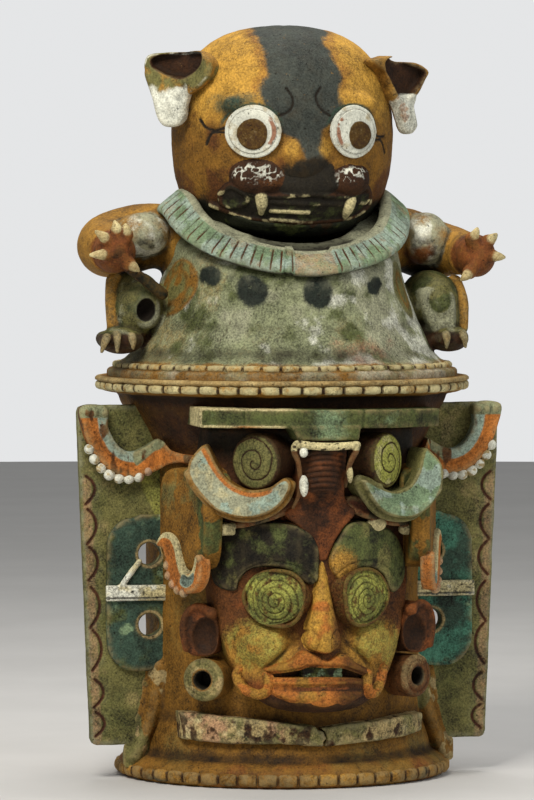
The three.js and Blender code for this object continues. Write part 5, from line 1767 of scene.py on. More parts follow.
    def build_bracket(self, shop: Workshop, side: Side) -> None:
        """Makes the ridge low in the angle between a wing and the wall.

        Args:
            shop: Where its pieces are fired.
            side: The side that it is on.
        """
        s = side.value
        ridge = rod([(s * 201, -58, 167), (s * 208, -59, 111), (s * 220, -59, 71), (s * 235, -58, 34)], 8.5)
        coats = ((Slip.OLIVE, cloud(40, 66, 0, 0.4)), (Slip.BUFF, cloud(22, 67, 0.2, 0.5)))
        carriers = [self.sided(self.front_of([(188, 20), (300, 20), (300, 200), (188, 200)], 18, 0), side)]
        carriers.append(drum(205, 30, 400))
        name = f"wing_bracket_{side.label}"
        finish = Finish(Slip.DEEP_OCHRE, rubbed=Slip.BUFF, rub=0.6)
        shop.lute(name, [ridge], carriers, "buff_clay", finish, coats, soft=14, reach=14)


def relief(outline: Outline, height: Callable[[Array, Array], Array], back: float, edge: float = 2) -> Form:
    """A block seen in front view whose front surface stands at a given distance before the axis.

    Args:
        outline: Its outline in front view.
        height: How far in front of the axis its surface is, across and up.
        back: How far in front of the axis its back is.
        edge: The rounding of its edges.

    Returns:
        The form.
    """

    def distance(x: Array, y: Array, z: Array) -> Array:
        """The signed distance at places across, front to back and up."""
        deep = np.maximum((-y - height(x, z)) * 0.85, y + back)
        return rounded(outline.distance(x, z), deep, edge)

    low, high = outline.low + Outline.MARGIN, outline.high - Outline.MARGIN
    across, up = np.meshgrid(
        np.linspace(low[0], high[0], 24), np.linspace(low[1], high[1], 24), indexing="ij"
    )
    return Form(distance, (low[0], -float(height(across, up).max()), low[1]), (high[0], -back, high[1]))


def spiral(plane: Plane, pitch: float, turn: float, hand: int = 1) -> Mask:
    """The distance to a spiral line drawn on a flat place.

    Args:
        plane: The flat place, with the spiral about its origin.
        pitch: The distance between turns.
        turn: Where the line starts, in turns.
        hand: 1 or -1, the way it winds.

    Returns:
        A function of points.
    """

    def distance(points: Array) -> Array:
        """How far points are from the line."""
        u, _, w = plane.local(*points.T)
        place = np.hypot(u, w) / pitch + hand * np.arctan2(w, u) / (2 * math.pi) + turn
        place = place + 0.12 * unevenness(points, 22, 83)
        return np.abs(place - np.round(place)) * pitch

    return distance


@dataclass(frozen=True)
class BeastJaw:
    """The open upper jaw that frames the mask: brow, snout, eyes, lids, lips and side plates.

    Attributes:
        wall: The radius of the vessel's wall.
        core: How far the jaw's block stands out of the axis.
        plank: The radius of the brow plank's front.
        eye: The radius of an eye.
        eye_turn: Degrees that an eye is turned outwards.
    """

    wall: float = 205.0
    core: float = 243.0
    plank: float = 293.0
    eye: float = 41.0
    eye_turn: float = 44.0

    def core_form(self) -> Form:
        """The block behind everything else."""
        corners = [(-158, 398), (-150, 392), (150, 392), (158, 398), (158, 527), (-158, 527)]
        return wrapped(Outline(corners, smooth=False), 196, self.core, 6)

    def build(self, shop: Workshop) -> None:
        """Makes the jaw's pieces.

        Args:
            shop: Where its pieces are fired.
        """
        # The core's top is darkened towards soot: painted shadow under the brow plank.
        coats = (
            (Slip.BROWN, cloud(60, 71, -0.2, 0.9)), (Slip.SOOT, lambda p: 0.85 * ease(450, 510, p[:, 2]))
        )
        block = Block((-160, -246, 388), (160, -100, 530), 2.6)
        block.add(self.core_form()).cut(drum(198, 380, 540))
        finish = Finish(Slip.DARK_BROWN, rubbed=Slip.BROWN)
        shop.fire("jaw_core", block.skin(), "brown_clay", finish, coats, seed=71)
        self.build_plank(shop)
        self.build_snout(shop)
        for side in Side:
            self.build_eye(shop, side)
            self.build_fold(shop, side)
            self.build_lip(shop, side)
            self.build_panel(shop, side)

    def build_plank(self, shop: Workshop) -> None:
        """Makes the brow plank with its tab.

        Args:
            shop: Where its pieces are fired.
        """
        bar = wrapped(
            Outline([(-174, 530), (186, 528), (187, 554), (-175, 558.5)], False), 200, self.plank, 2.5
        )
        tab = wrapped(
            Outline([(-40, 512), (50, 511.5), (53, 534), (-52, 534)], False), 240, self.plank + 5, 3
        )
        block = Block((-189, -300, 510), (189, -84, 560), 1.9)
        block.add(bar).add(tab, 5).cut(drum(198, 500, 570))
        curls = [flow([(-32, 549), (-18, 541), (-12, 531), (-11, 519)], 5)]
        curls.append(flow([(19, 519), (21, 533), (31, 544), (46, 549)], 5))

        def ahead(p: Array) -> Array:
            """Is 1 on the plank's front."""
            return ease(self.plank - 6, self.plank - 2, np.hypot(p[:, 0], p[:, 1]))

        def lines(p: Array) -> Array:
            """The curls on the tab and the cracks through the plank."""
            curved = np.minimum(near_line(front(p), curls[0]), near_line(front(p), curls[1]))
            wander = 1.6 * unevenness(p, 14, 73)
            cracks = np.minimum(np.abs(p[:, 0] + 116 + wander), np.abs(p[:, 0] - 57 + wander))
            return 1.8 * mark(curved, 1, 1.2) * ahead(p) + 2.4 * mark(cracks, 0.7, 1)

        def pale_edge(p: Array) -> Array:
            """The pale paint along the left edges and the left end, partly a painted highlight."""
            low = mark(np.abs(p[:, 2] - 530), 3.2) * ease(-50, -70, p[:, 0])
            top = 0.7 * mark(np.abs(p[:, 2] - 557), 2.2) * ease(-20, -60, p[:, 0])
            corner = 0.7 * mark(np.abs(p[:, 0] + 174), 2.6)
            return 1.1 * (low + top + corner) * ease(230, 250, np.hypot(p[:, 0], p[:, 1]))

        coats = (
            (Slip.SEA_GREEN, cloud(45, 72, 0, 1, 0.5)),
            (Slip.BLACK_GREEN, cloud(30, 74, 0.1, 0.9, 0.5)),
            (Slip.SEA_GREEN, lambda p: 0.6 * ease(46, 4, np.abs(p[:, 0] - 6)) * ahead(p)),
            # Pale edges on the left: pale paint and painted highlight.
            (Slip.CREAM, pale_edge),
            (
                Slip.ORANGE,
                lambda p: 0.8 * mark(np.abs(p[:, 2] - 530), 3) * bump(p[:, 0], -112, 34) * ahead(p),
            ),
        )
        finish = Finish(Slip.MOSS, speckle=0.4, mottle=0.36, rubbed=Slip.BUFF, rub=0.45, wear=0.5)
        shop.fire("brow_plank", block.skin(), "olive_slip", finish, coats, seed=73, dents=lines)

    def build_snout(self, shop: Workshop) -> None:
        """Makes the ribbed snout and the strip that frames it, with its two teeth.

        Args:
            shop: Where its pieces are fired.
        """
        shape = [
            (-36, 507), (36, 507), (35, 470), (33, 438), (40, 418), (52, 405), (34, 384), (21, 366),
            (12, 348), (6, 337), (-4, 337), (-10, 348), (-20, 368), (-34, 386), (-53, 404), (-42, 418),
            (-34, 438), (-35, 470),
        ]

        def height(x: Array, z: Array) -> Array:
            """How far in front of the axis its surface stands."""
            column = 242 + 50 * np.sqrt(np.clip(1 - (x / 41) ** 2, 0, 1))
            low = 268 + 2 * ease(400, 340, z) - 0.0022 * x**2
            share = ease(408, 452, z)
            ribs = np.abs(np.sin((z + 0.006 * x**2) * math.pi / 8.2)) ** 0.7
            return low + share * (column - low) + 3.4 * ribs * ease(424, 444, z)

        form = relief(Outline(shape), height, 200, 3)
        coats = (
            (Slip.DARK_BROWN, cloud(34, 75, -0.8, 0.4, 0.85)),
            # Painted shadow across the snout's top, under the plank's tab.
            (Slip.SOOT, lambda p: 0.9 * ease(484, 502, p[:, 2])),
        )
        finish = Finish(Slip.RUST, speckle=0.32, rubbed=Slip.RUST, rub=0.5, grime=1)
        carriers = [self.core_form()]
        shop.lute("snout", [form], carriers, "brown_clay", finish, coats, 1.5, 7, 7, seed=76)
        depth = 296
        left = [(-40, 508), (-47, 504), (-47, 494), (-41, 480), (-37, 455), (-37, 432), (-43, 414)]
        right = [(44, 506), (45, 498), (40, 488), (36, 478), (34, 466), (34, 454), (35, 444)]
        rails = []
        for path in (left, right):
            back = [4, 0, 0, 2, 8, 18, 28]
            rails.append(
                rod(
                    [(x, -depth + b, z) for (x, z), b in zip(path, back)], [4.5, 4.5, 4.5, 4, 3.6, 3.2, 2.6]
                )
            )
        bar = rod([(-42, -depth, 507), (0, -depth - 3, 503), (46, -depth, 505)], 5.6)
        round_tooth = ball((-34, -depth - 2, 495), (6.4, 6, 7.4))
        long_tooth = ball((-32, -depth + 4, 446), (6.5, 7, 16))
        stub = ball((36.5, -depth + 4, 462), (4.6, 6, 13))
        block = Block((-60, -308, 404), (66, -262, 515), 1.3)
        for piece in (bar, *rails):
            block.add(piece, 3)
        for tooth in (round_tooth, long_tooth, stub):
            block.add(tooth, 1.2)

        def white(p: Array) -> Array:
            """The two white teeth."""
            return sum(ease(2, -0.5, tooth.at(p)) for tooth in (round_tooth, long_tooth))

        coats = (
            (Slip.CREAM, lambda p: ease(496, 499, p[:, 2]) + ease(1.5, -0.5, stub.at(p))),
            (Slip.SOOT, lambda p: ease(0.25, 0.5, unevenness(p, 8, 77)) * ease(496, 499, p[:, 2])),
            (Slip.WHITE, white),
        )
        finish = Finish(Slip.BROWN, speckle=0.35, rubbed=Slip.BUFF, rub=0.35, wear=0.25)
        shop.fire("snout_frame", block.skin(), "cream_slip", finish, coats, lumps=0.4, seed=78)

    def build_eye(self, shop: Workshop, side: Side) -> None:
        """Makes one of the beast's eyes, with an incised spiral.

        Args:
            shop: Where its pieces are fired.
            side: The side that it is on.
        """
        s = side.value
        plane = Plane((-94 if side is Side.LEFT else 99, -252, 480), s * self.eye_turn)
        form = slab(plane, Outline(circle(self.eye)), -44, 4, 5, 5)
        line = spiral(plane, 17, 0.2, s)

        def inside(p: Array) -> Array:
            """Is 1 on the eye's face, within its edge."""
            u, v, w = plane.local(*p.T)
            return ease(self.eye - 1, self.eye - 7, np.hypot(u, w)) * ease(-6, 0, v)

        def grooves(p: Array) -> Array:
            """The depth of the incised spiral."""
            u, _, w = plane.local(*p.T)
            return 2.3 * mark(line(p), 1.2, 1.5) * inside(p) * ease(34, 26, np.hypot(u, w))

        coats = (
            (Slip.MOSS if s < 0 else Slip.CREAM, cloud(16, 81 + s, -0.4, 0.8, 0.5)),
            (Slip.DARK_BROWN, lambda p: 0.9 * (1 - inside(p)) + 0.9 * mark(line(p), 1.2, 1.2) * inside(p)),
        )
        name = f"beast_eye_{side.label}"
        hue = Slip.OLIVE if side is Side.LEFT else Slip.LIME
        finish = Finish(hue, speckle=0.45, mottle=0.2, rubbed=hue, grime=1, wear=0.1)
        block = Block(form.low, tuple(np.array(form.high) + 2), 1.3).add(form)
        shop.fire(name, block.skin(), "eye_green_slip", finish, coats, seed=82, dents=grooves)

    def build_fold(self, shop: Workshop, side: Side) -> None:
        """Makes the crescent fold below one eye, scooped out towards the eye.

        Args:
            shop: Where its pieces are fired.
            side: The side that it is on.
        """
        s = side.value
        plane = Plane((s * 123, -250, 0), s * 18)
        if side is Side.LEFT:
            shape = [
                (-53, 501), (-68, 482), (-70, 462), (-58, 440), (-33, 414), (-7, 402), (20, 399), (49, 407),
                (71, 425), (81, 447), (71, 457), (49, 444), (20, 439), (-7, 449), (-27, 471), (-43, 501),
            ]
            split = [(-60, 492), (-40, 458), (-14, 433), (18, 420), (48, 424), (80, 446)]
        else:
            shape = [
                (50, 493), (67, 471), (62, 438), (36, 409), (7, 396), (-28, 400), (-53, 416), (-76, 450),
                (-66, 453), (-40, 442), (-11, 435), (15, 443), (32, 465), (41, 494),
            ]
            split = [(44, 493), (37, 466), (14, 445), (-12, 438), (-40, 445), (-66, 456)]
        outline = Outline(shape)
        form = slab(plane, outline, -48, 19, 5)
        scoop = ball(plane.place(-10 if side is Side.LEFT else 4, 26, 492), (86, 30, 82), s * 18)
        rim = rod([plane.place(u, 2, z) for u, z in shape[2:10]], 6.5)
        low = np.minimum(form.low, rim.low)
        block = Block(tuple(low), tuple(np.maximum(form.high, rim.high)), 1.6)
        block.add(form).cut(scoop, 3).add(rim, 4)
        divide = flow(split, 5)

        def flat(p: Array) -> Array:
            """Places in the fold's own plane."""
            u, _, w = plane.local(*p.T)
            return np.stack([u, w], axis=1)

        def orange(p: Array) -> Array:
            """The orange paint along the fold's inner edge."""
            inner = flow(shape[-7:], 4)
            near, apart = near_line(flat(p), inner), near_line(flat(p), divide)
            return 0.9 * ease(-4, 3, apart - near) * ease(62, 48, flat(p)[:, 0])

        def outside(p: Array) -> Array:
            """The fold's back and its edge."""
            _, v, _ = plane.local(*p.T)
            return np.maximum(ease(-9, -15, v), ease(-5, -2, outline.distance(*flat(p).T)))

        coats: tuple[Coat, ...] = ((Slip.PALE_BLUE, cloud(24, 86 + s, 0, 0.5)), (Slip.OLIVE, outside))
        if side is Side.LEFT:
            warm = lambda p: 0.5 * ease(0, 0.8, unevenness(p, 18, 88))
            coats = (coats[0], (Slip.CREAM, warm), (Slip.ORANGE, orange), (Slip.DEEP_OCHRE, outside))
        name = f"eyelid_fold_{side.label}"
        hue = Slip.STONE if side is Side.LEFT else Slip.SEA_GREEN
        finish = Finish(hue, speckle=0.3, mottle=0.26, rubbed=Slip.CREAM, rub=0.4, wear=0.25)
        shop.fire(name, block.skin(), "grey_white_slip", finish, coats, seed=87)

    def build_lip(self, shop: Workshop, side: Side) -> None:
        """Makes the lip under one fold, with its teeth.

        Args:
            shop: Where its pieces are fired.
            side: The side that it is on.
        """
        s = side.value
        shape = [
            (36, 426), (37, 413), (50, 406), (68, 399), (92, 392), (118, 386), (150, 383), (158, 388),
            (156, 408), (120, 414), (90, 420), (60, 428),
        ]
        lip = wrapped(Outline([(s * x, z) for x, z in shape]), 200, 261, 5)
        edge = rod(
            [(s * 40, -256, 414), (s * 68, -251, 400), (s * 110, -237, 388), (s * 152, -211, 384)], 4.5
        )
        if side is Side.LEFT:
            teeth = [
                block_form((-148, -238, 372), (-121, -206, 390), 4.5),
                ball((-158, -201, 352), (7, 8, 15)),
            ]
        else:
            teeth = [
                ball((86, -243, 386), (16, 9, 11)),
                ball((140, -215, 377), (13, 9, 9)),
            ]
        low = np.min([f.low for f in (lip, edge, *teeth)], axis=0)
        high = np.max([f.high for f in (lip, edge, *teeth)], axis=0)
        block = Block(tuple(low), (high[0], -120, high[2]), 1.8)
        block.add(lip).add(edge, 6).cut(drum(200, 330, 440))
        for tooth in teeth:
            block.add(tooth, 1.5)

        def bone(p: Array) -> Array:
            """The teeth."""
            return sum(ease(2, -0.5, tooth.at(p)) for tooth in teeth)

        coats = (
            (Slip.RUST, lambda p: ease(2, -0.5, edge.at(p)) * 0.7),
            (Slip.SOOT, cloud(26, 91 + s, 0.1, 0.5)),
            (Slip.CREAM, bone),
        )
        name = f"beast_lip_{side.label}"
        finish = Finish(Slip.OXBLOOD, rubbed=Slip.BUFF, rub=0.45, wear=0.25)
        shop.fire(name, block.skin(), "brown_clay", finish, coats, seed=92)

    def build_panel(self, shop: Workshop, side: Side) -> None:
        """Makes one upright side plate and the beaded curl at its foot.

        Args:
            shop: Where its pieces are fired.
            side: The side that it is on.
        """
        s = side.value
        plane = Plane((s * 181, -178, 0), s * 70.5)
        shape = [
            (-72, 345), (-74, 400), (-72, 440), (-62, 458), (-42, 466), (0, 468), (48, 466), (68, 455),
            (74, 430), (72, 380), (62, 345), (40, 326), (8, 318), (-30, 322), (-58, 332),
        ]
        outline = Outline([(s * -u, z) for u, z in shape])
        form = slab(plane, outline, -36, 5, 7, 3)
        ridge = rod(
            [plane.place(-s * u, 5, z) for u, z in ((56, 452), (60, 420), (62, 385), (58, 350))], 4.5
        )
        carriers = [drum(205, 300, 500), self.core_form()]
        coats = (
            (
                Slip.OLIVE,
                lambda p: 0.8 * ease(-0.5, 0.6, unevenness(p, 46, 94 + s, 4)) * ease(360, 450, p[:, 2]),
            ),
            (Slip.MOSS, lambda p: ease(-205, -232, p[:, 1])),
            (Slip.DEEP_OCHRE, cloud(24, 96, 0, 0.4)),
        )
        name = f"jaw_panel_{side.label}"
        finish = Finish(Slip.DEEP_OCHRE, speckle=0.4, rubbed=Slip.OCHRE, rub=0.4)
        forms = [form, ridge]
        low, high = min(s * 100, s * 142), max(s * 100, s * 142)
        cuts = [block_form((low, -275, 290), (high, -195, 430), 4)]
        cuts.append(ball((s * 156, -262, 455), (34, 42, 45)))
        shop.lute(name, forms, carriers, "ochre_clay", finish, coats, 2, 9, 9, cuts, seed=95)
        band = [
            (-68, 352), (-60, 364), (-44, 372), (-26, 370), (-10, 360), (-2, 344), (4, 326), (14, 315),
            (28, 317), (38, 328), (44, 343), (54, 342), (58, 325), (52, 304), (36, 290), (14, 285),
            (-8, 288), (-24, 297), (-36, 312), (-40, 330), (-46, 344), (-56, 350),
        ]
        curl = slab(plane, Outline([(s * -u, z) for u, z in band]), -6, 15, 4)
        sunk = slab(
            plane,
            Outline(
                [(s * -u, z) for u, z in ((4, 300), (20, 296), (38, 304), (40, 316), (26, 309), (10, 312))]
            ),
            11.5,
            30,
            1,
        )
        block = Block(tuple(np.array(curl.low) - 8), tuple(np.array(curl.high) + 8), 1.5)
        block.add(curl).cut(sunk, 2)
        beads = [
            ball(plane.place(-s * u, 12, z), (7.2, 7.2, 7)) for u, z in (
                (-36, 324), (-32, 309), (-21, 297), (-7, 289), (9, 286)
            )
        ]
        for bead in beads:
            block.add(bead, 1)
        pale = flow(
            [
                (-66, 358), (-52, 367), (-36, 369), (-20, 364), (-9, 350), (-3, 333), (6, 318), (20, 308),
                (36, 314), (46, 336),
            ],
            5,
        )

        def flat(p: Array) -> Array:
            """Places in the plate's own plane."""
            u, _, w = plane.local(*p.T)
            return np.stack([-s * u, w], axis=1)

        coats = (
            (Slip.CREAM, lambda p: mark(near_line(flat(p), pale), 5, 1.5)),
            (Slip.PALE_BLUE, lambda p: ease(3, 0, sunk.at(p))),
            (Slip.PINK, lambda p: sum(ease(1.5, -0.5, bead.at(p)) for bead in beads)),
        )
        name = f"jaw_curl_{side.label}"
        finish = Finish(Slip.ORANGE, speckle=0.34, rubbed=Slip.CREAM, rub=0.5, wear=0.3)
        shop.fire(name, block.skin(), "cream_slip", finish, coats, lumps=0.4, seed=97)


@dataclass(frozen=True)
class DeityMask:
    """The face that looks out of the jaw, with its eyes, ears, spools and the band below it.

    Attributes:
        top: The height of its top.
        chin: The height of its chin.
        wall: The radius of the vessel's wall.
    """

    top: float = 391.7
    chin: float = 112.7
    wall: float = 205.0

    def height(self, x: Array, z: Array) -> Array:
        """How far in front of the axis the face stands, across and up.

        Args:
            x: Places across.
            z: Heights.

        Returns:
            Millimetres in front of the axis.
        """
        plan = np.interp(np.abs(x), [0, 35, 70, 110, 149, 165], [268, 261, 245, 222, 187, 165])
        hollow = 9 * bump(np.hypot((np.abs(x) - 66) / 1.25, z - 278), 0, 58)
        trough = 12 * bump(np.hypot(np.abs(x) - 40, (z - 236) / 2.2), 0, 22)
        cheek = 15 * ease(34, 12, np.hypot((np.abs(x) - 84) / 1.3, (z - 212) * 0.95))
        mouth = 10 * ease(1.15, 0.55, np.hypot(x / 92, (z - 158) / 50))
        crease = 7 * bump(np.abs(np.abs(x) - 42 - (215 - z) * 0.95), 0, 9) * bump(z, 192, 36)
        chin = 7 * bump(np.hypot(x / 1.6, z - 124), 0, 40) - 16 * ease(128, 112, z)
        return plan - hollow - trough + cheek + mouth - crease + chin

    def face_form(self) -> Form:
        """The face's block, without what is luted on to it.

        Returns:
            The form.
        """
        shape = [
            (0, 112.7), (34, 113.5), (66, 120), (90, 138), (110, 162), (124, 190), (136, 225), (146, 270),
            (149, 320), (148, 372), (142, 391), (0, 391.7),
        ]
        outline = Outline(shape + [(-x, z) for x, z in shape[-2:0:-1]])
        return relief(outline, self.height, 140, 7)

    def build(self, shop: Workshop) -> None:
        """Makes the mask's pieces.

        Args:
            shop: Where its pieces are fired.
        """
        face = self.face_form()
        mouth = [(-76, 176), (-50, 178), (0, 181), (48, 177), (68, 169), (60, 158), (0, 160), (-74, 159)]
        opening = slab(Plane((0, 0, 0)), Outline(mouth), 246, 300, 3)
        block = Block((-151, -276, 110), (151, -138, 394), 1.8)
        block.add(face).cut(opening, 3).cut(drum(203, 90, 400))

        def cheek(p: Array) -> Array:
            """The yellow paint on the cheeks."""
            spot = ease(50, 28, np.hypot((np.abs(p[:, 0]) - 92) / 1.1, p[:, 2] - 212))
            return spot * ease(-0.5, 0.2, unevenness(p, 26, 101, 4))

        coats = (
            (
                Slip.RUST,
                lambda p: 0.8 * ease(-0.4, 0.7, unevenness(p, 50, 102, 4)) * ease(112, 150, p[:, 2]),
            ),
            (
                Slip.OCHRE,
                lambda p: 0.85 * ease(64, 24, np.hypot((np.abs(p[:, 0]) - 84) / 1.2, p[:, 2] - 205)),
            ),
            (Slip.LIME, lambda p: 0.5 * cheek(p)),
            # Painted shade over the face's top, under the jaw's lips and brow.
            (Slip.DARK_BROWN, lambda p: 0.8 * ease(300, 345, p[:, 2])),
            # Painted shadow under the lower lip and down into the mouth's opening.
            (
                Slip.DARK_BROWN,
                lambda p: np.maximum(
                    ease(150, 128, p[:, 2]) * ease(95, 70, np.abs(p[:, 0])), ease(1.5, -1, opening.at(p))
                ),
            ),
        )
        finish = Finish(Slip.BROWN, speckle=0.42, rubbed=Slip.DEEP_OCHRE, rub=0.4)
        shop.fire("deity_mask", block.skin(), "brown_clay", finish, coats, seed=103, lumps=0.7)
        self.build_nose(shop, face)
        self.build_lips(shop, face)
        for side in Side:
            self.build_brow(shop, side, face)
            self.build_eye(shop, side)
            self.build_hook(shop, side, face)
            self.build_ear(shop, side)
            self.build_neck(shop, side)

    def build_nose(self, shop: Workshop, face: Form) -> None:
        """Makes the long straight nose with its wings.

        Args:
            shop: Where its pieces are fired.
            face: The face that it is luted on to.
        """
        shape = [
            (0, 334), (5, 318), (11, 292), (18, 258), (24, 232), (26, 218), (20, 209), (8, 203), (-8, 204),
            (-20, 210), (-26, 219), (-24, 234), (-18, 258), (-11, 292), (-5, 318),
        ]

        def height(x: Array, z: Array) -> Array:
            """How far in front of the axis its surface stands."""
            ridge = 268 + 31 * ease(345, 222, z)
            slope = 0.62 + 0.25 * ease(330, 240, z)
            return ridge - slope * np.sqrt(x**2 + 9) + 1.8 - 0.5 * np.maximum(218 - z, 0)

        bridge = relief(Outline(shape), height, 236, 3.5)
        wings = [ball((s * 16, -270, 220), (8.5, 15, 12.5)) for s in (-1, 1)]
        crease = [
            flow([(s * 27, 231), (s * 21, 236), (s * 13, 230), (s * 10, 218), (s * 12, 207)], 5)
            for s in (-1, 1)
        ]

        def dents(p: Array) -> Array:
            """The depth of the creases round the nose's wings."""
            return 2.2 * mark(
                np.minimum(near_line(front(p), crease[0]), near_line(front(p), crease[1])), 0.9, 1.5
            )

        # Gold in patches, and brown over the right side as painted shade.
        coats = ((Slip.GOLD, cloud(30, 105, -1, 0.5)), (Slip.BROWN, lambda p: 0.7 * ease(2, 18, p[:, 0])))
        finish = Finish(Slip.ORANGE, speckle=0.32, rubbed=Slip.OCHRE, rub=0.5)
        forms = [bridge, *wings]
        shop.lute("nose", forms, [face], "ochre_clay", finish, coats, 1.4, 5, 5, seed=106, dents=dents)

    def build_lips(self, shop: Workshop, face: Form) -> None:
        """Makes the lips and the strip of teeth between them.

        Args:
            shop: Where its pieces are fired.
            face: The face that it is luted on to.
        """
        upper = [
            (-80, 177.5), (-66, 184), (-53, 188), (-42, 194.5), (-31, 203), (-20, 202), (-9, 195.5),
            (4, 190), (17, 195), (27, 200), (38, 196.5), (50, 186), (70, 174), (70, 168.5), (48, 176.5),
            (33, 181.5), (17, 183.5), (4, 183.3), (-9, 185.2), (-22, 185), (-36, 180), (-53, 176.4),
            (-76, 173.5),
        ]

        def jut(x: Array, z: Array) -> Array:
            """How far in front of the axis the upper lip stands."""
            return 284 - 0.0052 * x**2 + 0 * z

        form = relief(Outline(upper), jut, 236, 3)
        # Ochre in patches, and brown over the right half as painted shade.
        coats = (
            (Slip.OCHRE, cloud(24, 107, -0.4, 0.8)), (Slip.BROWN, lambda p: 0.85 * ease(0, 50, p[:, 0]))
        )
        finish = Finish(Slip.ORANGE, rubbed=Slip.OCHRE, rub=0.6)
        shop.lute("upper_lip", [form], [face], "ochre_clay", finish, coats, 1.4, 4, 4, seed=108)
        lower = [
            (-75, 160), (-40, 162), (0, 162.5), (38, 160.5), (62, 157), (64, 147), (58, 136), (40, 128),
            (5, 125), (-28, 127.5), (-57, 135), (-74, 147),
        ]

        def pout(x: Array, z: Array) -> Array:
            """How far in front of the axis the lower lip stands."""
            upper_band = 4 * bump(z, 158, 5)
            lower_band = 5 * bump(z, 137, 14)
            return 278 - 0.0052 * x**2 + upper_band + lower_band - 3 * bump(z, 149, 6)

        form = relief(Outline(lower), pout, 236, 4)
        # Ochre in patches, brown over the right half as painted shade, and a dark line of painted shadow in
        # the groove.
        coats = (
            (Slip.OCHRE, cloud(30, 109, -0.4, 0.8)),
            (Slip.BROWN, lambda p: 0.85 * ease(-10, 45, p[:, 0])),
            (
                Slip.DARK_BROWN,
                lambda p: 0.8 * mark(
                    np.abs(p[:, 2] - 149 + 0.0012 * p[:, 0] ** 2), 2.6
                ) * ease(-60, -20, p[:, 0]),
            ),
        )
        shop.lute("lower_lip", [form], [face], "ochre_clay", finish, coats, 1.4, 4, 4, seed=110)
        teeth = block_form((-29, -268, 163.5), (31, -240, 181), 2.5)
        gaps = lambda p: 1.2 * mark(np.abs(p[:, 2] - 172), 0.7, 1)
        coats = ((Slip.SEA_GREEN, cloud(9, 111, 0.1, 0.5)), (Slip.SOOT, cloud(7, 112, 0.1, 0.4)))
        finish = Finish(Slip.MOSS, speckle=0.5, rubbed=Slip.OLIVE)
        skin = Block(teeth.low, teeth.high, 1.3).add(teeth).skin()
        shop.fire("tooth_plate", skin, "olive_slip", finish, coats, lumps=0.3, dents=gaps)

    def build_brow(self, shop: Workshop, side: Side, face: Form) -> None:
        """Makes the lobed plate above one eye.

        Args:
            shop: Where its pieces are fired.
            side: The side that it is on.
            face: The face that it is luted on to.
        """
        if side is Side.LEFT:
            shape = [
                (-142, 368), (-148, 344), (-147, 311), (-139.6, 297), (-126, 291), (-117, 292.5),
                (-113.6, 306.6), (-103, 320.5), (-87, 327), (-69, 328), (-47, 322), (-34, 312), (-23, 304),
                (-14, 302), (-8, 307), (-6, 318), (-5, 347), (-9, 362), (-15, 372), (-26, 381), (-43, 388),
                (-69, 391), (-100, 388), (-124, 380),
            ]
            hues = (Slip.SOOT, Slip.OLIVE)
        else:
            shape = [
                (33.5, 304), (21.4, 313), (13, 326), (12, 341), (17, 354), (28, 373), (39, 386),
                (54.5, 391), (81, 387), (110, 376), (131, 356), (141, 330), (140, 307), (131, 290),
                (120, 285), (112, 290), (107, 300), (98, 313), (84, 321), (68, 323.5), (54, 319),
                (41, 308.5),
            ]
            hues = (Slip.BLACK_GREEN, Slip.OLIVE)

        def height(x: Array, z: Array) -> Array:
            """How far in front of the axis its surface stands."""
            return self.height(x, z) + 9 + 6 * bump(np.hypot((np.abs(x) - 74) / 1.5, z - 352), 0, 52)

        form = relief(Outline(shape), height, 180, 4)
        middle = 69 if side is Side.RIGHT else -66
        gold = lambda p: 0.8 * ease(
            46, 12, np.hypot(p[:, 0] - 26, (p[:, 2] - 322) * 0.9)
        ) * (side is Side.RIGHT)
        coats = (
            (
                hues[0],
                lambda p: 0.9 * ease(-0.9, 0.5, unevenness(p, 22, 113 + side.value, 4) - 0.3 * side.value),
            ),
            (hues[1], cloud(34, 116, 0.1, 0.9, 0.7)),
            (Slip.OCHRE, gold),
        )
        lip = lambda p: 1.8 * mark(
            np.abs(np.hypot((p[:, 0] - middle) / 1.18, p[:, 2] - 282) - 52), 0.9, 1.3
        ) * ease(290, 300, p[:, 2])
        name = f"brow_plate_{side.label}"
        finish = Finish(Slip.MOSS, speckle=0.5, mottle=0.4, rubbed=Slip.BUFF, rub=0.35, wear=0.5)
        shop.lute(name, [form], [face], "olive_slip", finish, coats, 1.7, 3, 3, seed=114, dents=lip)

    def build_eye(self, shop: Workshop, side: Side) -> None:
        """Makes one of the mask's bulging eyes, with its incised rings.

        Args:
            shop: Where its pieces are fired.
            side: The side that it is on.
        """
        s = side.value
        plane = Plane((s * 68, -258, 281), s * 36)
        shape = [
            (47, 8), (44, 24), (28, 37), (4, 41), (-22, 36), (-40, 22), (-50, 2), (-42, -18), (-24, -33),
            (0, -40), (24, -38), (41, -22),
        ]
        outline = Outline([(-s * -u if s < 0 else -u, z) for u, z in shape])
        form = slab(plane, outline, -34, 0, 6, 9)
        rim = rod(
            [plane.place((u if s < 0 else -u) * 0.99, 0, z * 0.99) for u, z in [*shape, shape[0]]], 3.2, 4
        )
        line = spiral(Plane(plane.place(s * -4, 0, -4), s * 36), 9.2, 0.35, -s)

        def flat(p: Array) -> Array:
            """How far points are from the eye's outline."""
            u, _, w = plane.local(*p.T)
            return outline.distance(u, w)

        def grooves(p: Array) -> Array:
            """The depth of the spiral and of the line round it."""
            return 2.1 * mark(line(p), 0.9, 1.4) * ease(-5, -8, flat(p)) + 1.4 * mark(
                np.abs(flat(p) + 4), 0.8, 1.2
            )

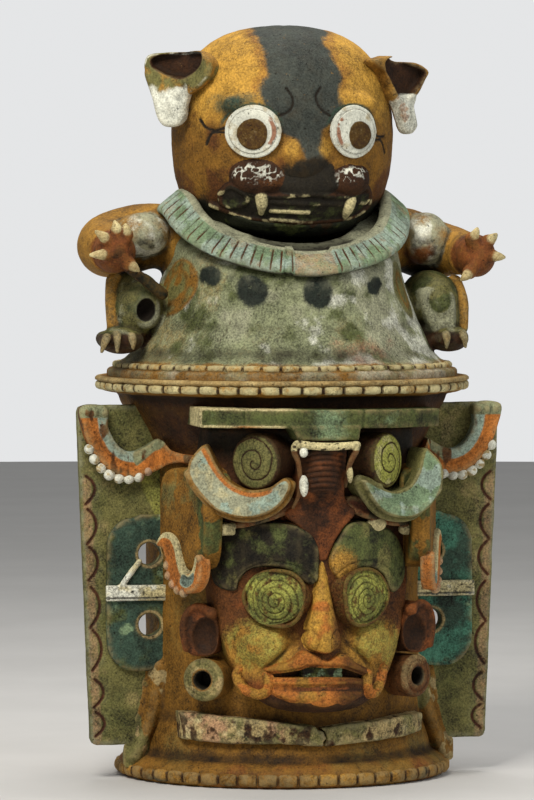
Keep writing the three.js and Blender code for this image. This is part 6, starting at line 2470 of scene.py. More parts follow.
        coats = (
            (Slip.MOSS, cloud(20, 119 + s, -1, 0.4, 0.6)),
            (Slip.BROWN, cloud(8, 117 + s, -0.2, 0.9, 0.7)),
            (Slip.BROWN, lambda p: np.maximum(0.8 * ease(-4, -1, flat(p)), 0.6 * mark(line(p), 0.9, 1.6))),
        )
        name = f"mask_eye_{side.label}"
        finish = Finish(Slip.LIME, speckle=0.5, mottle=0.16, rubbed=Slip.LIME, grime=1, wear=0.1)
        low, high = np.minimum(form.low, rim.low), np.maximum(form.high, rim.high)
        skin = Block(tuple(low), tuple(high), 1.2).add(form).add(rim, 2).skin()
        shop.fire(name, skin, "eye_green_slip", finish, coats, lumps=0.4, seed=118, dents=grooves)

    def build_hook(self, shop: Workshop, side: Side, face: Form) -> None:
        """Makes the hook that curls out of one corner of the mouth.

        Args:
            shop: Where its pieces are fired.
            side: The side that it is on.
            face: The face that it is luted on to.
        """
        s = side.value
        path = [
            (-113, 177), (-116, 166), (-111, 152), (-99, 142), (-86, 139.5), (-77, 146), (-75, 158),
            (-79, 169),
        ]
        if side is Side.RIGHT:
            path = [(103, 174), (98, 160), (93, 148), (86, 139), (77, 140), (72, 152), (75, 168)]
        deep = [self.height(np.array(x), np.array(z)) + 1 for x, z in path]
        roll = rod(
            [(x, -float(d), z) for (x, z), d in zip(path, deep)], [6] + [7.4] * (len(path) - 2) + [6]
        )
        coats = ((Slip.ORANGE, cloud(18, 121 + s, -0.4, 0.6)), (Slip.RUST, cloud(24, 122, 0.1, 1.1)))
        name = f"mouth_hook_{side.label}"
        finish = Finish(Slip.OCHRE, speckle=0.45, rubbed=Slip.OCHRE, rub=0.4)
        shop.lute(name, [roll], [face], "ochre_clay", finish, coats, 1.3, 3, 3, seed=123)

    def build_ear(self, shop: Workshop, side: Side) -> None:
        """Makes one ear and the spool through its lobe.

        Args:
            shop: Where its pieces are fired.
            side: The side that it is on.
        """
        s = side.value
        plane = Plane((s * 162, -184, 230), s * 30)
        shape = [
            (-20, -34), (-26, -10), (-25, 16), (-14, 33), (4, 38), (18, 30), (24, 8), (22, -14), (14, -36)
        ]
        ear = slab(plane, Outline([(-s * -u, z) for u, z in shape]), -34, 8, 5)
        cup = ball(plane.place(s * -11, 12, -8), (23, 17, 28), s * 30)
        helix = [(20, -26), (25, 4), (18, 27), (2, 36), (-14, 30)]
        roll = rod([plane.place(s * u, 8, z) for u, z in helix], 5.5)
        knob = ball(plane.place(s * -18, 8, 26), (9, 8, 9))
        carriers = [drum(self.wall, 120, 300)]
        coats = (
            (Slip.DARK_BROWN, cloud(24, 125, -0.8, 0.5, 0.8)),
            (Slip.DARK_BROWN, lambda p: 0.95 * ease(4, 0, cup.at(p))),
        )
        name = f"mask_ear_{side.label}"
        finish = Finish(Slip.RUST, rubbed=Slip.ORANGE, rub=0.2)
        forms = [ear, roll, knob]
        shop.lute(name, forms, carriers, "brown_clay", finish, coats, 1.6, 7, 7, (cup,), seed=126)
        plane = Plane((s * 160, -190, 158), s * 34)
        body = slab(plane, Outline(circle(31.5)), -44, 4, 6, 2)
        hole = slab(plane, Outline(circle(13, 8)), -30, 40, 2)
        block = Block(body.low, tuple(np.array(body.high) + 2), 1.4).add(body).cut(hole, 5)

        def apart(p: Array) -> Array:
            """How far points are from the spool's middle."""
            u, _, w = plane.local(*p.T)
            return np.hypot(u, w)

        def pale(p: Array) -> Array:
            """The pale paint round the spool's face."""
            u, v, w = plane.local(*p.T)
            crescent = 0.4 * ease(-10, 20, w - u) if side is Side.RIGHT else 0.85
            return ease(15, 18, apart(p)) * ease(-4, 0, v) * crescent

        coats = (
            (Slip.BUFF, pale),
            (Slip.OLIVE, lambda p: 0.85 * pale(p) * ease(-0.9, 0.3, unevenness(p, 14, 128))),
            (Slip.SOOT, lambda p: ease(16, 13, apart(p))),
        )
        name = f"ear_spool_{side.label}"
        hue = Slip.DEEP_OCHRE if side is Side.LEFT else Slip.BROWN
        finish = Finish(hue, speckle=0.4, rubbed=Slip.BUFF, rub=0.4)
        ring = lambda p: 1.2 * mark(np.abs(apart(p) - 23), 0.8, 1.2)
        shop.fire(name, block.skin(), "ochre_clay", finish, coats, lumps=0.4, seed=129, dents=ring)

    def build_neck(self, shop: Workshop, side: Side) -> None:
        """Makes one half of the band below the chin.

        Args:
            shop: Where its pieces are fired.
            side: The side that it is on.
        """
        shape = [
            (-183, 66), (-183, 106), (-160, 107), (-120, 103), (-80, 99), (-40, 95), (0, 90), (5, 84),
            (12, 82), (16, 72), (11, 66), (13, 60), (-20, 62), (-50, 64), (-120, 63),
        ]
        if side is Side.RIGHT:
            shape = [
                (14, 60), (18, 72), (14, 83), (8, 87), (40, 90), (80, 93), (120, 96), (160, 98), (183, 97),
                (183, 72), (140, 66), (60, 63),
            ]
        form = wrapped(Outline(shape, smooth=False), 198, 231, 5)
        coats = (
            (Slip.PINK, lambda p: 0.8 * ease(-0.4, 0.4, unevenness(p, 30, 131)) * ease(0, -60, p[:, 0])),
            (Slip.OLIVE, cloud(22, 132 + side.value, -0.6, 0.5, 0.75)),
            (Slip.CREAM, cloud(16, 135, 0, 0.8, 0.5)),
            (Slip.DARK_BROWN, cloud(12, 134, 0, 0.7, 0.8)),
        )
        name = f"neck_band_{side.label}"
        finish = Finish(Slip.BUFF, speckle=0.5, mottle=0.36, rubbed=Slip.CREAM, grime=1)
        block = Block(form.low, (form.high[0], -90, form.high[2]), 1.9).add(form).cut(drum(200, 50, 120))
        shop.fire(name, block.skin(), "buff_clay", finish, coats, lumps=1, seed=133)


@dataclass(frozen=True)
class Lid:
    """The lid: the cat's hollow torso with its foot, rope band and ruff collar.

    Attributes:
        seat: The height that the lid rests at.
        foot: The radius of its foot.
        wall: The thickness of its wall.
        shoulder: The radius of its shoulder.
        top: The height of its shoulder above the seat.
        start: The height above the seat where it starts to lean.
        tilt: Degrees that the front of its top slopes.
        back_tilt: Degrees that the back of its top slopes.
        collar_tilt: Degrees that the ruff slopes.
        collar_bend: How far in front of the axis and behind it the ruff's slope changes.
        collar_lift: How far the ruff is raised.
        lean: How far its top is moved forward.
        deepening: The share by which its top is deeper than it is wide.
        neck: The radius of the hole under the head.
        beads: The number of beads in the rope band.
        insets: How far in its wall is at some heights above the seat.
    """

    seat: float = 597.3
    foot: float = 263.0
    wall: float = 16.0
    shoulder: float = 158.0
    top: float = 246.0
    start: float = 40.0
    tilt: float = 23.0
    back_tilt: float = -3.0
    collar_tilt: float = 24.5
    collar_bend: float = 60.0
    collar_lift: float = 6.0
    lean: float = 12.0
    deepening: float = 0.15
    neck: float = 108.0
    beads: int = 56
    insets: tuple[tuple[float, float], ...] = ((38, 37), (60, 82), (74, 124), (87, 165), (95, 205))

    def leaned(self, rings: Array) -> Array:
        """Leans upright rings, given above the seat, and lifts them to it.

        Args:
            rings: The rings.

        Returns:
            The rings where they stand in the frame.
        """
        share = ease(self.start, self.top, rings[..., 2])
        y = rings[..., 1]
        moved = rings.copy()
        moved[..., 1] = y * (1 + self.deepening * share) - self.lean * share
        moved[..., 2] = rings[..., 2] + self.slope(y) * y * share + self.seat
        return moved

    def slope(self, y: Array) -> Array:
        """How steeply the torso's top rises backwards, in front of and behind its axis."""
        ahead, behind = math.tan(math.radians(self.tilt)), math.tan(math.radians(self.back_tilt))
        return behind + (ahead - behind) * ease(20, -20, y)

    def upright(self, x: Array, y: Array, z: Array) -> tuple[Array, Array]:
        """The radius and the height above the seat that a place had before the lean.

        Args:
            x: Places across.
            y: Places front to back.
            z: Heights.

        Returns:
            Radii and heights.
        """
        level = z - self.seat
        before = level
        for _ in range(6):
            share = ease(self.start, self.top, before)
            deep = (y + self.lean * share) / (1 + self.deepening * share)
            before = 0.5 * before + 0.5 * (level - self.slope(deep) * deep * share)
        return np.hypot(x, deep), before

    def torso_form(self, grow: float = 0) -> Form:
        """The torso as a full lump of clay, grown or shrunk.

        Args:
            grow: How far it is grown.

        Returns:
            The form.
        """
        heights = [-5, 11, 21, *(z for _, z in self.insets), self.top]
        radii = [self.foot - 2, 250, 238, *(self.foot - inset for inset, _ in self.insets), self.shoulder]

        def distance(x: Array, y: Array, z: Array) -> Array:
            """The signed distance at places across, front to back and up."""
            radius, level = self.upright(x, y, z)
            side = (radius - np.interp(level, heights, radii)) * 0.9 - grow
            return rounded(side, (level - self.top) * 0.92 - grow, 18)

        reach = self.foot + grow
        return Form(distance, (-reach, -reach, self.seat - 5), (reach, reach, self.seat + self.top + 90))

    def build(self, shop: Workshop) -> None:
        """Makes the torso, the rope band and the collar.

        Args:
            shop: Where its pieces are fired.
        """
        sides = 540
        foot, top, wall = self.foot, self.top, self.wall
        outer = [(foot, 0), (foot, 9), (foot - 2, 11), (252, 12.5), (248, 15), (247, 21), (238, 24)]
        outer += [(foot - inset, z) for inset, z in self.insets]
        outer += [(self.shoulder, top - 26), (self.shoulder - 4, top - 12), (self.shoulder - 14, top - 3)]
        outer += [(self.shoulder - 30, top), (self.neck, top), (self.neck, top - wall), (128, top - wall)]
        inside = [(foot - wall - inset, z) for inset, z in reversed(self.insets)]
        profile = spaced([*outer, *inside, (236, 11), (236, 0), (foot, 0)], 4.5, 1)
        angle = np.arange(sides) * 2 * math.pi / sides
        x, y = profile[:, :1] * np.cos(angle), profile[:, :1] * np.sin(angle)
        rings = self.leaned(np.stack([x, y, np.repeat(profile[:, 1:], sides, axis=1)], axis=2))
        spots = [((-135, 748), 15), ((-84, 727), 24), ((9, 724), 25), ((104, 733), 15), ((-112, 743), 8)]
        crack = [flow([(-107, 697), (-121, 668), (-131, 651), (-135, 620), (-138, 600)], 4)]
        crack.append(flow([(-159, 674), (-144, 660), (-131, 651)], 4))

        def ahead(p: Array) -> Array:
            """Is 1 on the front half."""
            return ease(0, -30, p[:, 1])

        def spotted(p: Array) -> Array:
            """The dark painted spots."""
            total = np.zeros(len(p))
            for (across, up), size in spots:
                gap = np.hypot(p[:, 0] - across, (p[:, 2] - up) * 0.9) + 2.5 * unevenness(p, 14, 141)
                total = np.maximum(total, (1.2 if size > 10 else 0.45) * ease(size * 1.2, size * 0.5, gap))
            return total * ahead(p)

        def oval(p: Array) -> Array:
            """How far out points are in the painted ovals: 1 is their edge."""
            left = np.hypot((p[:, 1] + 62) / 47, (p[:, 2] - 730) / 43) + EMPTY * (p[:, 0] > 0)
            right = np.hypot((p[:, 1] + 96) / 26, (p[:, 2] - 726) / 44) + EMPTY * (p[:, 0] < 0)
            return np.minimum(left, right)

        def patches(p: Array) -> Array:
            """The reddish stain low on the right."""
            place = np.hypot((p[:, 0] - 75) / 1.6, p[:, 2] - 642) + 16 * unevenness(p, 26, 142, 4)
            return 0.6 * ease(40, 4, place) * ahead(p)

        def cracked(p: Array) -> Array:
            """The thin cracks down the front."""
            gap = np.minimum(near_line(front(p), crack[0]), near_line(front(p), crack[1]))
            return mark(gap + 0.6 * np.abs(unevenness(p, 7, 147)), 0.6, 1.2) * ahead(p)

        def within(p: Array) -> Array:
            """Is 1 on the torso's top, inside the ruff."""
            radius, level = self.upright(*p.T)
            return ease(158, 148, radius) * ease(self.top - 40, self.top - 30, level)

        def shadow(p: Array) -> Array:
            """The dark of the opening and of the foot's inside."""
            low = ease(222, 205, np.hypot(p[:, 0], p[:, 1])) * ease(606, 596, p[:, 2])
            return np.maximum(within(p) * ease(88, 60, np.abs(p[:, 0])) * ease(-60, -90, p[:, 1]), low)

        right_oval = lambda p: ease(0, 20, p[:, 0])
        coats = (
            (Slip.OCHRE, lambda p: 0.35 * ease(-0.4, 0.8, unevenness(p, 90, 149, 4) - 0.003 * p[:, 0])),
            (
                Slip.MOSS,
                lambda p: 0.75 * ease(-0.3, 0.7, unevenness(p, 30, 144, 4)) * ease(590, 640, p[:, 2]),
            ),
            (Slip.STONE, lambda p: 0.75 * ease(-0.3, 0.8, unevenness(p, 60, 143, 4) + 0.003 * p[:, 0])),
            (Slip.WHITE, lambda p: 0.6 * ease(0, 0.8, unevenness(p, 34, 145, 4) + 0.002 * p[:, 0])),
            (Slip.ROSE, patches),
            (
                Slip.DEEP_OCHRE,
                lambda p: 0.9 * ease(1.1, 0.9, oval(p)) * (1 - right_oval(p)) * (p[:, 2] > 660),
            ),
            (
                Slip.OLIVE,
                lambda p: ease(1, 0.8, oval(p)) * ease(-0.4, 0.5, unevenness(p, 20, 140)) * (p[:, 2] > 660),
            ),
            (Slip.OLIVE, lambda p: 0.8 * ease(1.1, 0.9, oval(p)) * right_oval(p) * (p[:, 2] > 660)),
            (Slip.DEEP_OCHRE, lambda p: 0.7 * mark(np.abs(oval(p) - 0.55), 0.12, 0.12) * (p[:, 2] > 660)),
            (Slip.INK, spotted),
            (Slip.DARK_BROWN, lambda p: 0.8 * cracked(p)),
            (
                Slip.DEEP_OCHRE,
                lambda p: ease(626, 616, p[:, 2]) * (0.55 + 0.4 * ease(-0.2, 0.3, unevenness(p, 40, 146))),
            ),
            (Slip.STONE, lambda p: 0.9 * within(p)),
            (Slip.SOOT, lambda p: 0.95 * shadow(p)),
        )

        def dents(p: Array) -> Array:
            """The depth of the cracks and of the ovals' outline."""
            return 1.4 * cracked(p) + 1.2 * mark(np.abs(oval(p) - 1) * 32, 1, 1.4) * ahead(p)

        finish = Finish(Slip.GREY_GREEN, speckle=0.38, mottle=0.24, rubbed=Slip.STONE, wear=0.3)
        skin = swept(rings, closed_ends=False)
        shop.fire("lid_shell", skin, "grey_white_slip", finish, coats, lumps=1, seed=148, dents=dents)
        painted = Finish(Slip.BUFF, rubbed=Slip.CREAM, grime=1, rub=0.8)
        # The rope band's paint, with painted shade in the gaps between its beads.
        worn = (
            (Slip.OCHRE, cloud(40, 151, -0.4, 0.6)),
            (Slip.OLIVE, cloud(50, 152, 0, 0.9)),
            (Slip.DARK_BROWN, between(self.beads)),
        )
        points, quads = pressed_band(247, 10.5, 21, 8.5, self.beads, 5)
        points = points + np.array([0, 0, self.seat])
        shop.fire("lid_rope_band", (points, quads), "buff_clay", painted, worn, lumps=0.25)
        self.build_collar(shop)

    def build_collar(self, shop: Workshop) -> None:
        """Makes the ruff, cut with slashes all round.

        Args:
            shop: Where its pieces are fired.
        """
        sides, slashes = (900), 76
        section = [
            (150, -9), (163, -11), (177, -9.5), (188, -3), (189.5, 3), (186, 9), (172, 21), (160, 31),
            (154, 34.5), (148, 34), (142, 28), (143, 8), (146, -4), (150, -9),
        ]
        profile = spaced(section, 2.2, 2)
        angle = np.arange(sides) * 2 * math.pi / sides
        along = angle * slashes / (2 * math.pi)
        chance = np.random.default_rng(9)
        shift = 0.24 * (chance.random(slashes) - 0.5)[np.round(along).astype(int) % slashes]
        gap = np.abs(along - np.round(along) + shift) * 2 * math.pi * 175 / slashes
        face = ease(157, 162, profile[:, 0]) * ease(-1, 4, profile[:, 1])
        mended = mark(np.abs(190 * np.cos(angle) - 6), 34, 3) * (angle > math.pi)
        slashed = mark(gap, 0.9, 1.5) * (1 - mended)
        cut = 2.4 * slashed[None, :] * face[:, None]
        lowered = 0.44 * ease(-30, -130, 190 * np.sin(angle)) + 0.16 * mended
        lowered = lowered[None, :] * np.maximum(profile[:, 1:] - 8, 0)
        wave = 1.3 * np.sin(3 * angle + 0.6) + 0.9 * np.sin(7 * angle)
        wave = wave - 5 * mark(np.abs(angle - math.radians(259)) * 190, 7, 2)
        radius = profile[:, :1] + wave[None, :] - cut * 0.5
        height = profile[:, 1:] - cut * 0.85 - lowered
        x, y = radius * np.cos(angle), radius * np.sin(angle) * (1 + self.deepening)
        turn = self.collar_tilt + (self.back_tilt - self.collar_tilt) * ease(
            -self.collar_bend, self.collar_bend, y
        )
        cos, sin = np.cos(np.radians(turn)), np.sin(np.radians(turn))
        rings = np.stack([x, y * cos - height * sin, y * sin + height * cos], axis=2)
        rings = rings + np.array([0, -self.lean, self.seat + self.top - 8 + self.collar_lift])
        points, quads = swept(rings, closed_ends=False)
        stained = ((mark(gap, 1.3, 0.9) * (1 - mended))[None, :] * face[:, None]).ravel()
        inner = np.repeat(ease(161, 157, profile[:, 0]) * ease(12, 22, profile[:, 1]), sides)
        inside = np.repeat(ease(154, 151, profile[:, 0]), sides)
        # Along the ruff's lower edge, where painted shadow goes.
        under = np.repeat(ease(2, -3, profile[:, 1]) * ease(150, 160, profile[:, 0]), sides)
        stain = ease(-0.3, 0.2, unevenness(points, 22, 153))
        mend = np.tile(mended, len(profile))
        coats = (
            (Slip.SEA_GREEN, cloud(34, 154, -0.3, 0.6)),
            (Slip.PINK, lambda p: np.maximum(0.5 * mend, 0.4 * ease(0.25, 0.6, unevenness(p, 26, 155)))),
            (Slip.STONE, lambda p: inner * 0.9),
            (Slip.STONE, lambda p: 0.8 * inside),
            # Painted shadow inside the ruff's front and along its lower edge.
            (
                Slip.SOOT,
                lambda p: np.maximum(inside * ease(84, 64, np.abs(p[:, 0])) * (p[:, 1] < -60), under * 0.8),
            ),
            (Slip.BROWN, lambda p: stained * (0.45 + 0.5 * stain)),
        )
        finish = Finish(Slip.PALE_BLUE, speckle=0.3, mottle=0.26, rubbed=Slip.STONE, rub=0.4, grime=0.9)
        shop.fire("collar", (points, quads), "teal_slip", finish, coats, lumps=0.7, seed=156)


@dataclass(frozen=True)
class Cat:
    """The head and limbs of the spotted cat on the lid.

    Attributes:
        centre: The height of the head's centre.
        radius: The head's radius across and up.
        depth: The head's radius front to back.
        squareness: The power that squares the head's outline.
        wall: The thickness of the head's wall.
        ear_turn: Degrees that each ear is turned outwards.
        lid: The lid that the cat is built on.
    """

    centre: float = 954.3
    radius: float = 165.5
    depth: float = 159.5
    squareness: float = 2.5
    wall: float = 16.0
    ear_turn: float = 36.0
    lid: Lid = field(default_factory=Lid)

    def head_form(self, grow: float = 0) -> Form:
        """The head as a full lump, grown or shrunk.

        Args:
            grow: How far it is grown.

        Returns:
            The form.
        """
        power = self.squareness

        def distance(x: Array, y: Array, z: Array) -> Array:
            """The signed distance at places across, front to back and up."""
            flat = np.hypot(x, y * self.radius / self.depth)
            size = (flat**power + np.abs(z - self.centre) ** power) ** (1 / power)
            return (size - self.radius) * 0.95 - grow

        reach = self.radius + grow
        return Form(distance, (-reach, -reach, self.centre - reach), (reach, reach, self.centre + reach))

    def front_y(self, x: float, z: float) -> float:
        """The place front to back of the head's surface."""
        up = max(1 - abs((z - self.centre) / self.radius) ** self.squareness, 0.01) ** (1 / self.squareness)
        return -self.depth * math.sqrt(max(up**2 - (x / self.radius) ** 2, 0.01))

    def build(self, shop: Workshop) -> None:
        """Makes the cat.

        Args:
            shop: Where its pieces are fired.
        """
        self.build_head(shop)
        self.build_muzzle(shop)
        for side in Side:
            self.build_eye(shop, side)
            self.build_ear(shop, side)
            self.build_arm(shop, side)
            self.build_haunch(shop, side)

    def build_head(self, shop: Workshop) -> None:
        """Makes the hollow head.

        Args:
            shop: Where its pieces are fired.
        """
        reach = self.radius + 1
        block = Block((-reach, -reach, 790), (reach, reach, self.centre + reach), 2.5)
        block.add(self.head_form())
        for s in (-1, 1):
            block.add(ball((s * 75, self.front_y(75, 1002) + 14, 1002), (40, 19, 14)), 16)
        block.add(ball((0, self.front_y(0, 922) + 6, 922), (26, 12, 26)), 18)
        block.cut(self.head_form(-self.wall)).cut(self.lid.torso_form(-7), 2)
        lines = [
            flow([(-27, 1024), (-18, 1008), (-23, 991), (-39, 983)], 5),
            flow([(25, 1025), (17, 1011), (24, 994), (39, 983)], 5),
            flow([(-142, 978), (-135, 966), (-124, 962), (-112, 966)], 5),
            flow([(-112, 959), (-128, 958), (-135, 941)], 5),
            flow([(116, 958), (126, 953), (136, 954)], 5),
            flow([(118, 948), (130, 947), (137, 930)], 5),
        ]

        def drawn(p: Array) -> Array:
            """The lines drawn on the face."""
            gap = np.min([near_line(front(p), line) for line in lines], axis=0)
            return mark(gap, 1.8, 1.4) * ease(-20, -50, p[:, 1])

        def stripe(p: Array) -> Array:
            """How far points are inside the dark stripe up the face."""
            heights = [900, 920, 948, 960, 986, 1001, 1031, 1050, 1089, 1113]
            left = np.interp(p[:, 2], heights, [-8, -6, -14, -33, -46, -64, -58, -52, -55, -50])
            right = np.interp(p[:, 2], heights, [28, 28, 29, 33, 54, 57, 60, 62, 42, 60])
            edge = np.minimum(p[:, 0] - left, right - p[:, 0])
            return edge + 7 * unevenness(p, 30, 161, 4)

        def face(p: Array) -> Array:
            """Is 1 on the head's front half."""
            return ease(40, -20, p[:, 1])

        def gold(p: Array) -> Array:
            """The lighter ochre of the crown."""
            return 0.9 * ease(905, 1050, p[:, 2] + 30 * unevenness(p, 60, 162, 4))

        def fringe(p: Array) -> Array:
            """The burnt edge of the stripe."""
            near = ease(-30, -4, stripe(p)) * ease(985, 1030, p[:, 2])
            return 0.5 * near * face(p)

        def shade(p: Array) -> Array:
            """The dark paint above the eyes."""
            left = np.hypot((p[:, 0] + 100) / 1.9, p[:, 2] - 1000) + 8 * unevenness(p, 30, 166)
            ring = np.abs(np.hypot((np.abs(p[:, 0]) - 75) / 1.06, p[:, 2] - 960) - 40)
            lined = 0.9 * mark(ring, 2.4, 2.4) * ease(955, 985, p[:, 2])
            return np.maximum(0.8 * ease(26, 2, left), lined) * face(p)

        def bridge(p: Array) -> Array:
            """The dark paint between the pads."""
            gap = np.hypot((p[:, 0] - 6) * 0.62, p[:, 2] - 893) + 5 * unevenness(p, 20, 187)
            return ease(36, 22, gap) * face(p)

        def blush(p: Array) -> Array:
            """The ochre spots beside the bridge."""
            return 0.6 * ease(20, 4, np.hypot(np.abs(p[:, 0] - 5) - 26, (p[:, 2] - 936) * 0.8)) * face(p)

        def tanned(p: Array) -> Array:
            """The browner patches of the face."""
            return 0.8 * ease(-0.5, 0.6, unevenness(p, 34, 163, 4) + 0.012 * (915 - p[:, 2])) * face(p)

        def low(p: Array) -> Array:
            """The painted shade under the chin."""
            rise = p[:, 2] - 0.0009 * p[:, 0] ** 2 + 8 * unevenness(p, 30, 164)
            return 0.95 * ease(862, 828, rise) * face(p)

        coats = (
            (Slip.GOLD, gold),
            (Slip.BROWN, tanned),
            (Slip.RUST, fringe),
            (Slip.SLATE, lambda p: 0.96 * ease(-10, 9, stripe(p)) * face(p) * ease(885, 900, p[:, 2])),
            (Slip.DEEP_TEAL, shade),
            (Slip.GOLD, blush),
            (Slip.SOOT, bridge),
            (Slip.BLACK_GREEN, low),
            (Slip.SOOT, drawn),
        )
        finish = Finish(Slip.DEEP_OCHRE, speckle=0.3, mottle=0.26, rubbed=Slip.OCHRE, rub=0.1, wear=0.25)
        dents = lambda p: 2.4 * drawn(p)
        shop.fire("head_shell", block.skin(), "ochre_clay", finish, coats, lumps=0.9, seed=165, dents=dents)

    def build_muzzle(self, shop: Workshop) -> None:
        """Makes the pads, the nose and the grin, and the jaw below.

        Args:
            shop: Where its pieces are fired.
        """
        head = self.head_form()

        def on_head(x: float, z: float, proud: float) -> Point:
            """A place so far proud of the head."""
            return x, self.front_y(x, z) - proud, z

        def along(path: Sequence[tuple[float, float]], radius: float, proud: float) -> Form:
            """A roll of clay along the head's front."""
            return rod([on_head(x, z, proud) for x, z in path], radius)

        pads = [ball(on_head(-66, 892, -7), (39, 20, 25), -22)]
        pads.append(ball(on_head(73, 889, -7), (35, 20, 23), 24))
        nose = [ball(on_head(6, 884, -7), (44, 13, 19)), ball(on_head(9, 898, -8), (34, 12, 26))]
        upper = along([(-100, 880), (-84, 872), (-47, 865), (6, 868), (45, 866)], 3.4, 4)
        other = along(
            [(35, 866), (71, 865), (88, 872), (101, 877), (110, 868), (104, 856), (92, 856)], 3.4, 4
        )
        curl = along(
            [
                (-116, 866), (-111, 854), (-96, 850), (-83, 854), (-80, 863), (-90, 873), (-104, 879),
                (-116, 868),
            ],
            3.6,
            4.5,
        )
        ridge = along([(-46, 857), (-20, 855), (10, 854), (40, 854), (60, 853)], 3, 2.2)
        lower = along(
            [
                (-124, 852), (-100, 842), (-81, 835), (-58, 831), (-1, 827), (57, 830), (92, 837),
                (112, 852), (109, 868),
            ],
            3.6,
            4,
        )
        shape = [
            (-111, 871), (-105, 880), (-84, 870), (-47, 864), (6, 866), (71, 864), (106, 868), (100, 850),
            (88, 838), (57, 832), (0, 829), (-58, 833), (-85, 838), (-108, 850),
        ]
        band = common(slab(Plane((0, 0, 0)), Outline(shape), 60, 190), self.head_form(2.5))
        fangs = []
        for x, tip, high, end in ((-61, -59, 865, 840), (75, 70, 858, 834)):
            middle = on_head((x + tip) / 2, (high + end) / 2, 7)
            fangs.append(rod([on_head(x, high, 4), middle, on_head(tip, end, 6)], [9.5, 8, 3.6]))
        strips = [
            along([(-45, 844), (-20, 843), (9, 842)], 3.4, 3.5),
            along([(-43, 832), (-15, 830), (16, 828)], 3.6, 3.5),
        ]
        lips = (upper, other, lower)
        forms = [band, *pads, *nose, *lips, curl, ridge, *fangs, *strips]

        def bone(p: Array) -> Array:
            """The teeth and the worn paint on the lips."""
            teeth = sum(ease(1.6, -0.4, form.at(p)) for form in (*fangs, *strips))
            pale = 0.75 * sum(ease(1.4, -0.4, form.at(p)) for form in (*lips, curl))
            pale = pale + 0.6 * ease(1.4, -0.4, ridge.at(p)) * ease(0, 0.4, unevenness(p, 8, 165))
            return teeth + pale * ease(-0.2, 0.3, unevenness(p, 16, 166))

        def hatched(p: Array) -> Array:
            """The white strokes on the pads."""
            near = np.minimum(pads[0].at(p), pads[1].at(p))
            strokes = ease(0.3, 0.12, np.abs(unevenness(p, 8, 167, 2)))
            return 0.9 * ease(4, -2, near) * strokes * ease(880, 898, p[:, 2] + 8 * unevenness(p, 18, 189))

        def inside(p: Array) -> Array:
            """The dark of the mouth, a painted shade of its opening, and the nose's own dark."""
            gap = Outline(shape).distance(p[:, 0], p[:, 2])
            snout = np.min([form.at(p) for form in nose], axis=0)
            return np.maximum(ease(3, -1, gap), ease(6, 2, snout) * ease(0, 4, pads[0].at(p)))

        coats = (
            (Slip.DARK_BROWN, cloud(26, 168, -1.4, -0.2)),
            (Slip.SOOT, inside),
            (
                Slip.MOSS,
                lambda p: 0.5 * inside(p) * ease(872, 864, p[:, 2]) * ease(
                    -0.4, 0.5, unevenness(p, 14, 188)
                ),
            ),
            (Slip.WHITE, hatched),
            (Slip.CREAM, bone),
        )
        finish = Finish(Slip.BROWN, speckle=0.34, rubbed=Slip.DEEP_OCHRE, rub=0.08, wear=0.2)
        shop.lute("muzzle", forms, [head], "grey_white_slip", finish, coats, 1.6, 7, 6, seed=169, lumps=0.4)
        chin = [
            (-94, 838), (-58, 829), (0, 825), (60, 827), (90, 834), (88, 820), (60, 808), (0, 802),
            (-60, 808), (-90, 820),
        ]
        jaw = common(slab(Plane((0, 0, 0)), Outline(chin), 40, 190), self.head_form(7), 8)
        # The jaw is kept near black-green: painted shade below the mouth.
        coats = ((Slip.MOSS, cloud(24, 171, 0.1, 0.8)), (Slip.DARK_BROWN, cloud(40, 172, 0.2, 0.8)))
        finish = Finish(Slip.BLACK_GREEN, speckle=0.4, rubbed=Slip.MOSS, rub=0.2)
        cuts = [self.lid.torso_form(-7)]
        shop.lute("lower_jaw", [jaw], [head], "brown_clay", finish, coats, 2, 8, 7, cuts, seed=173)

    def build_eye(self, shop: Workshop, side: Side) -> None:
        """Makes one round staring eye.

        Args:
            shop: Where its pieces are fired.
            side: The side that it is on.
        """
        s = side.value
        plane = Plane((s * 75, self.front_y(75, 960) - 2.5, 960.3), s * 24, -1)
        size = (40, 36.5) if side is Side.LEFT else (38.5, 36.5)
        offset, radius = ((0, -4), 22.5) if side is Side.LEFT else ((6, -5), 20)
        around = np.linspace(0, 2 * math.pi, 13)
        disc = slab(
            plane,
            Outline([(size[0] * math.cos(a), size[1] * math.sin(a)) for a in around[1:]]),
            -18,
            7,
            6,
            3,
        )
        pupil_plane = Plane(plane.place(offset[0], 9, offset[1]), s * 24, -1)
        worn = [1 + 0.02 * math.sin(3 * a + s) for a in around[1:]]
        edge = [(radius * r * math.cos(a), radius * r * math.sin(a)) for a, r in zip(around[1:], worn)]
        pupil = slab(pupil_plane, Outline(edge), -8, 2, 2)
        rim = rod(
            [plane.place(size[0] * 1.01 * math.cos(a), 2, size[1] * 1.01 * math.sin(a)) for a in around],
            2.6,
            4,
        )

        def polar(p: Array) -> tuple[Array, Array]:
            """How far points are from the eye's middle, and which way."""
            u, _, w = plane.local(*p.T)
            return np.hypot(u * 38 / size[0], w * 38 / size[1]), np.arctan2(w, -s * u)

        def crescents(p: Array) -> Array:
            """The rosy crescents in the eye's corners."""
            apart, angle = polar(p)
            arc = mark(np.abs(apart - 31), 3.2) * ease(0.85, 0.55, np.abs(angle))
            return 0.95 * arc * ease(-0.6, 0, unevenness(p, 9, 175))

        def ringed(p: Array) -> Array:
            """The dark rings round the pupil and the eye."""
            thin = mark(np.abs(polar(p)[0] - 34.8), 0.5, 1.1)
            return np.maximum(mark(np.abs(pupil.at(p)), 0.8, 1.2) * 0.7, 0.75 * thin)

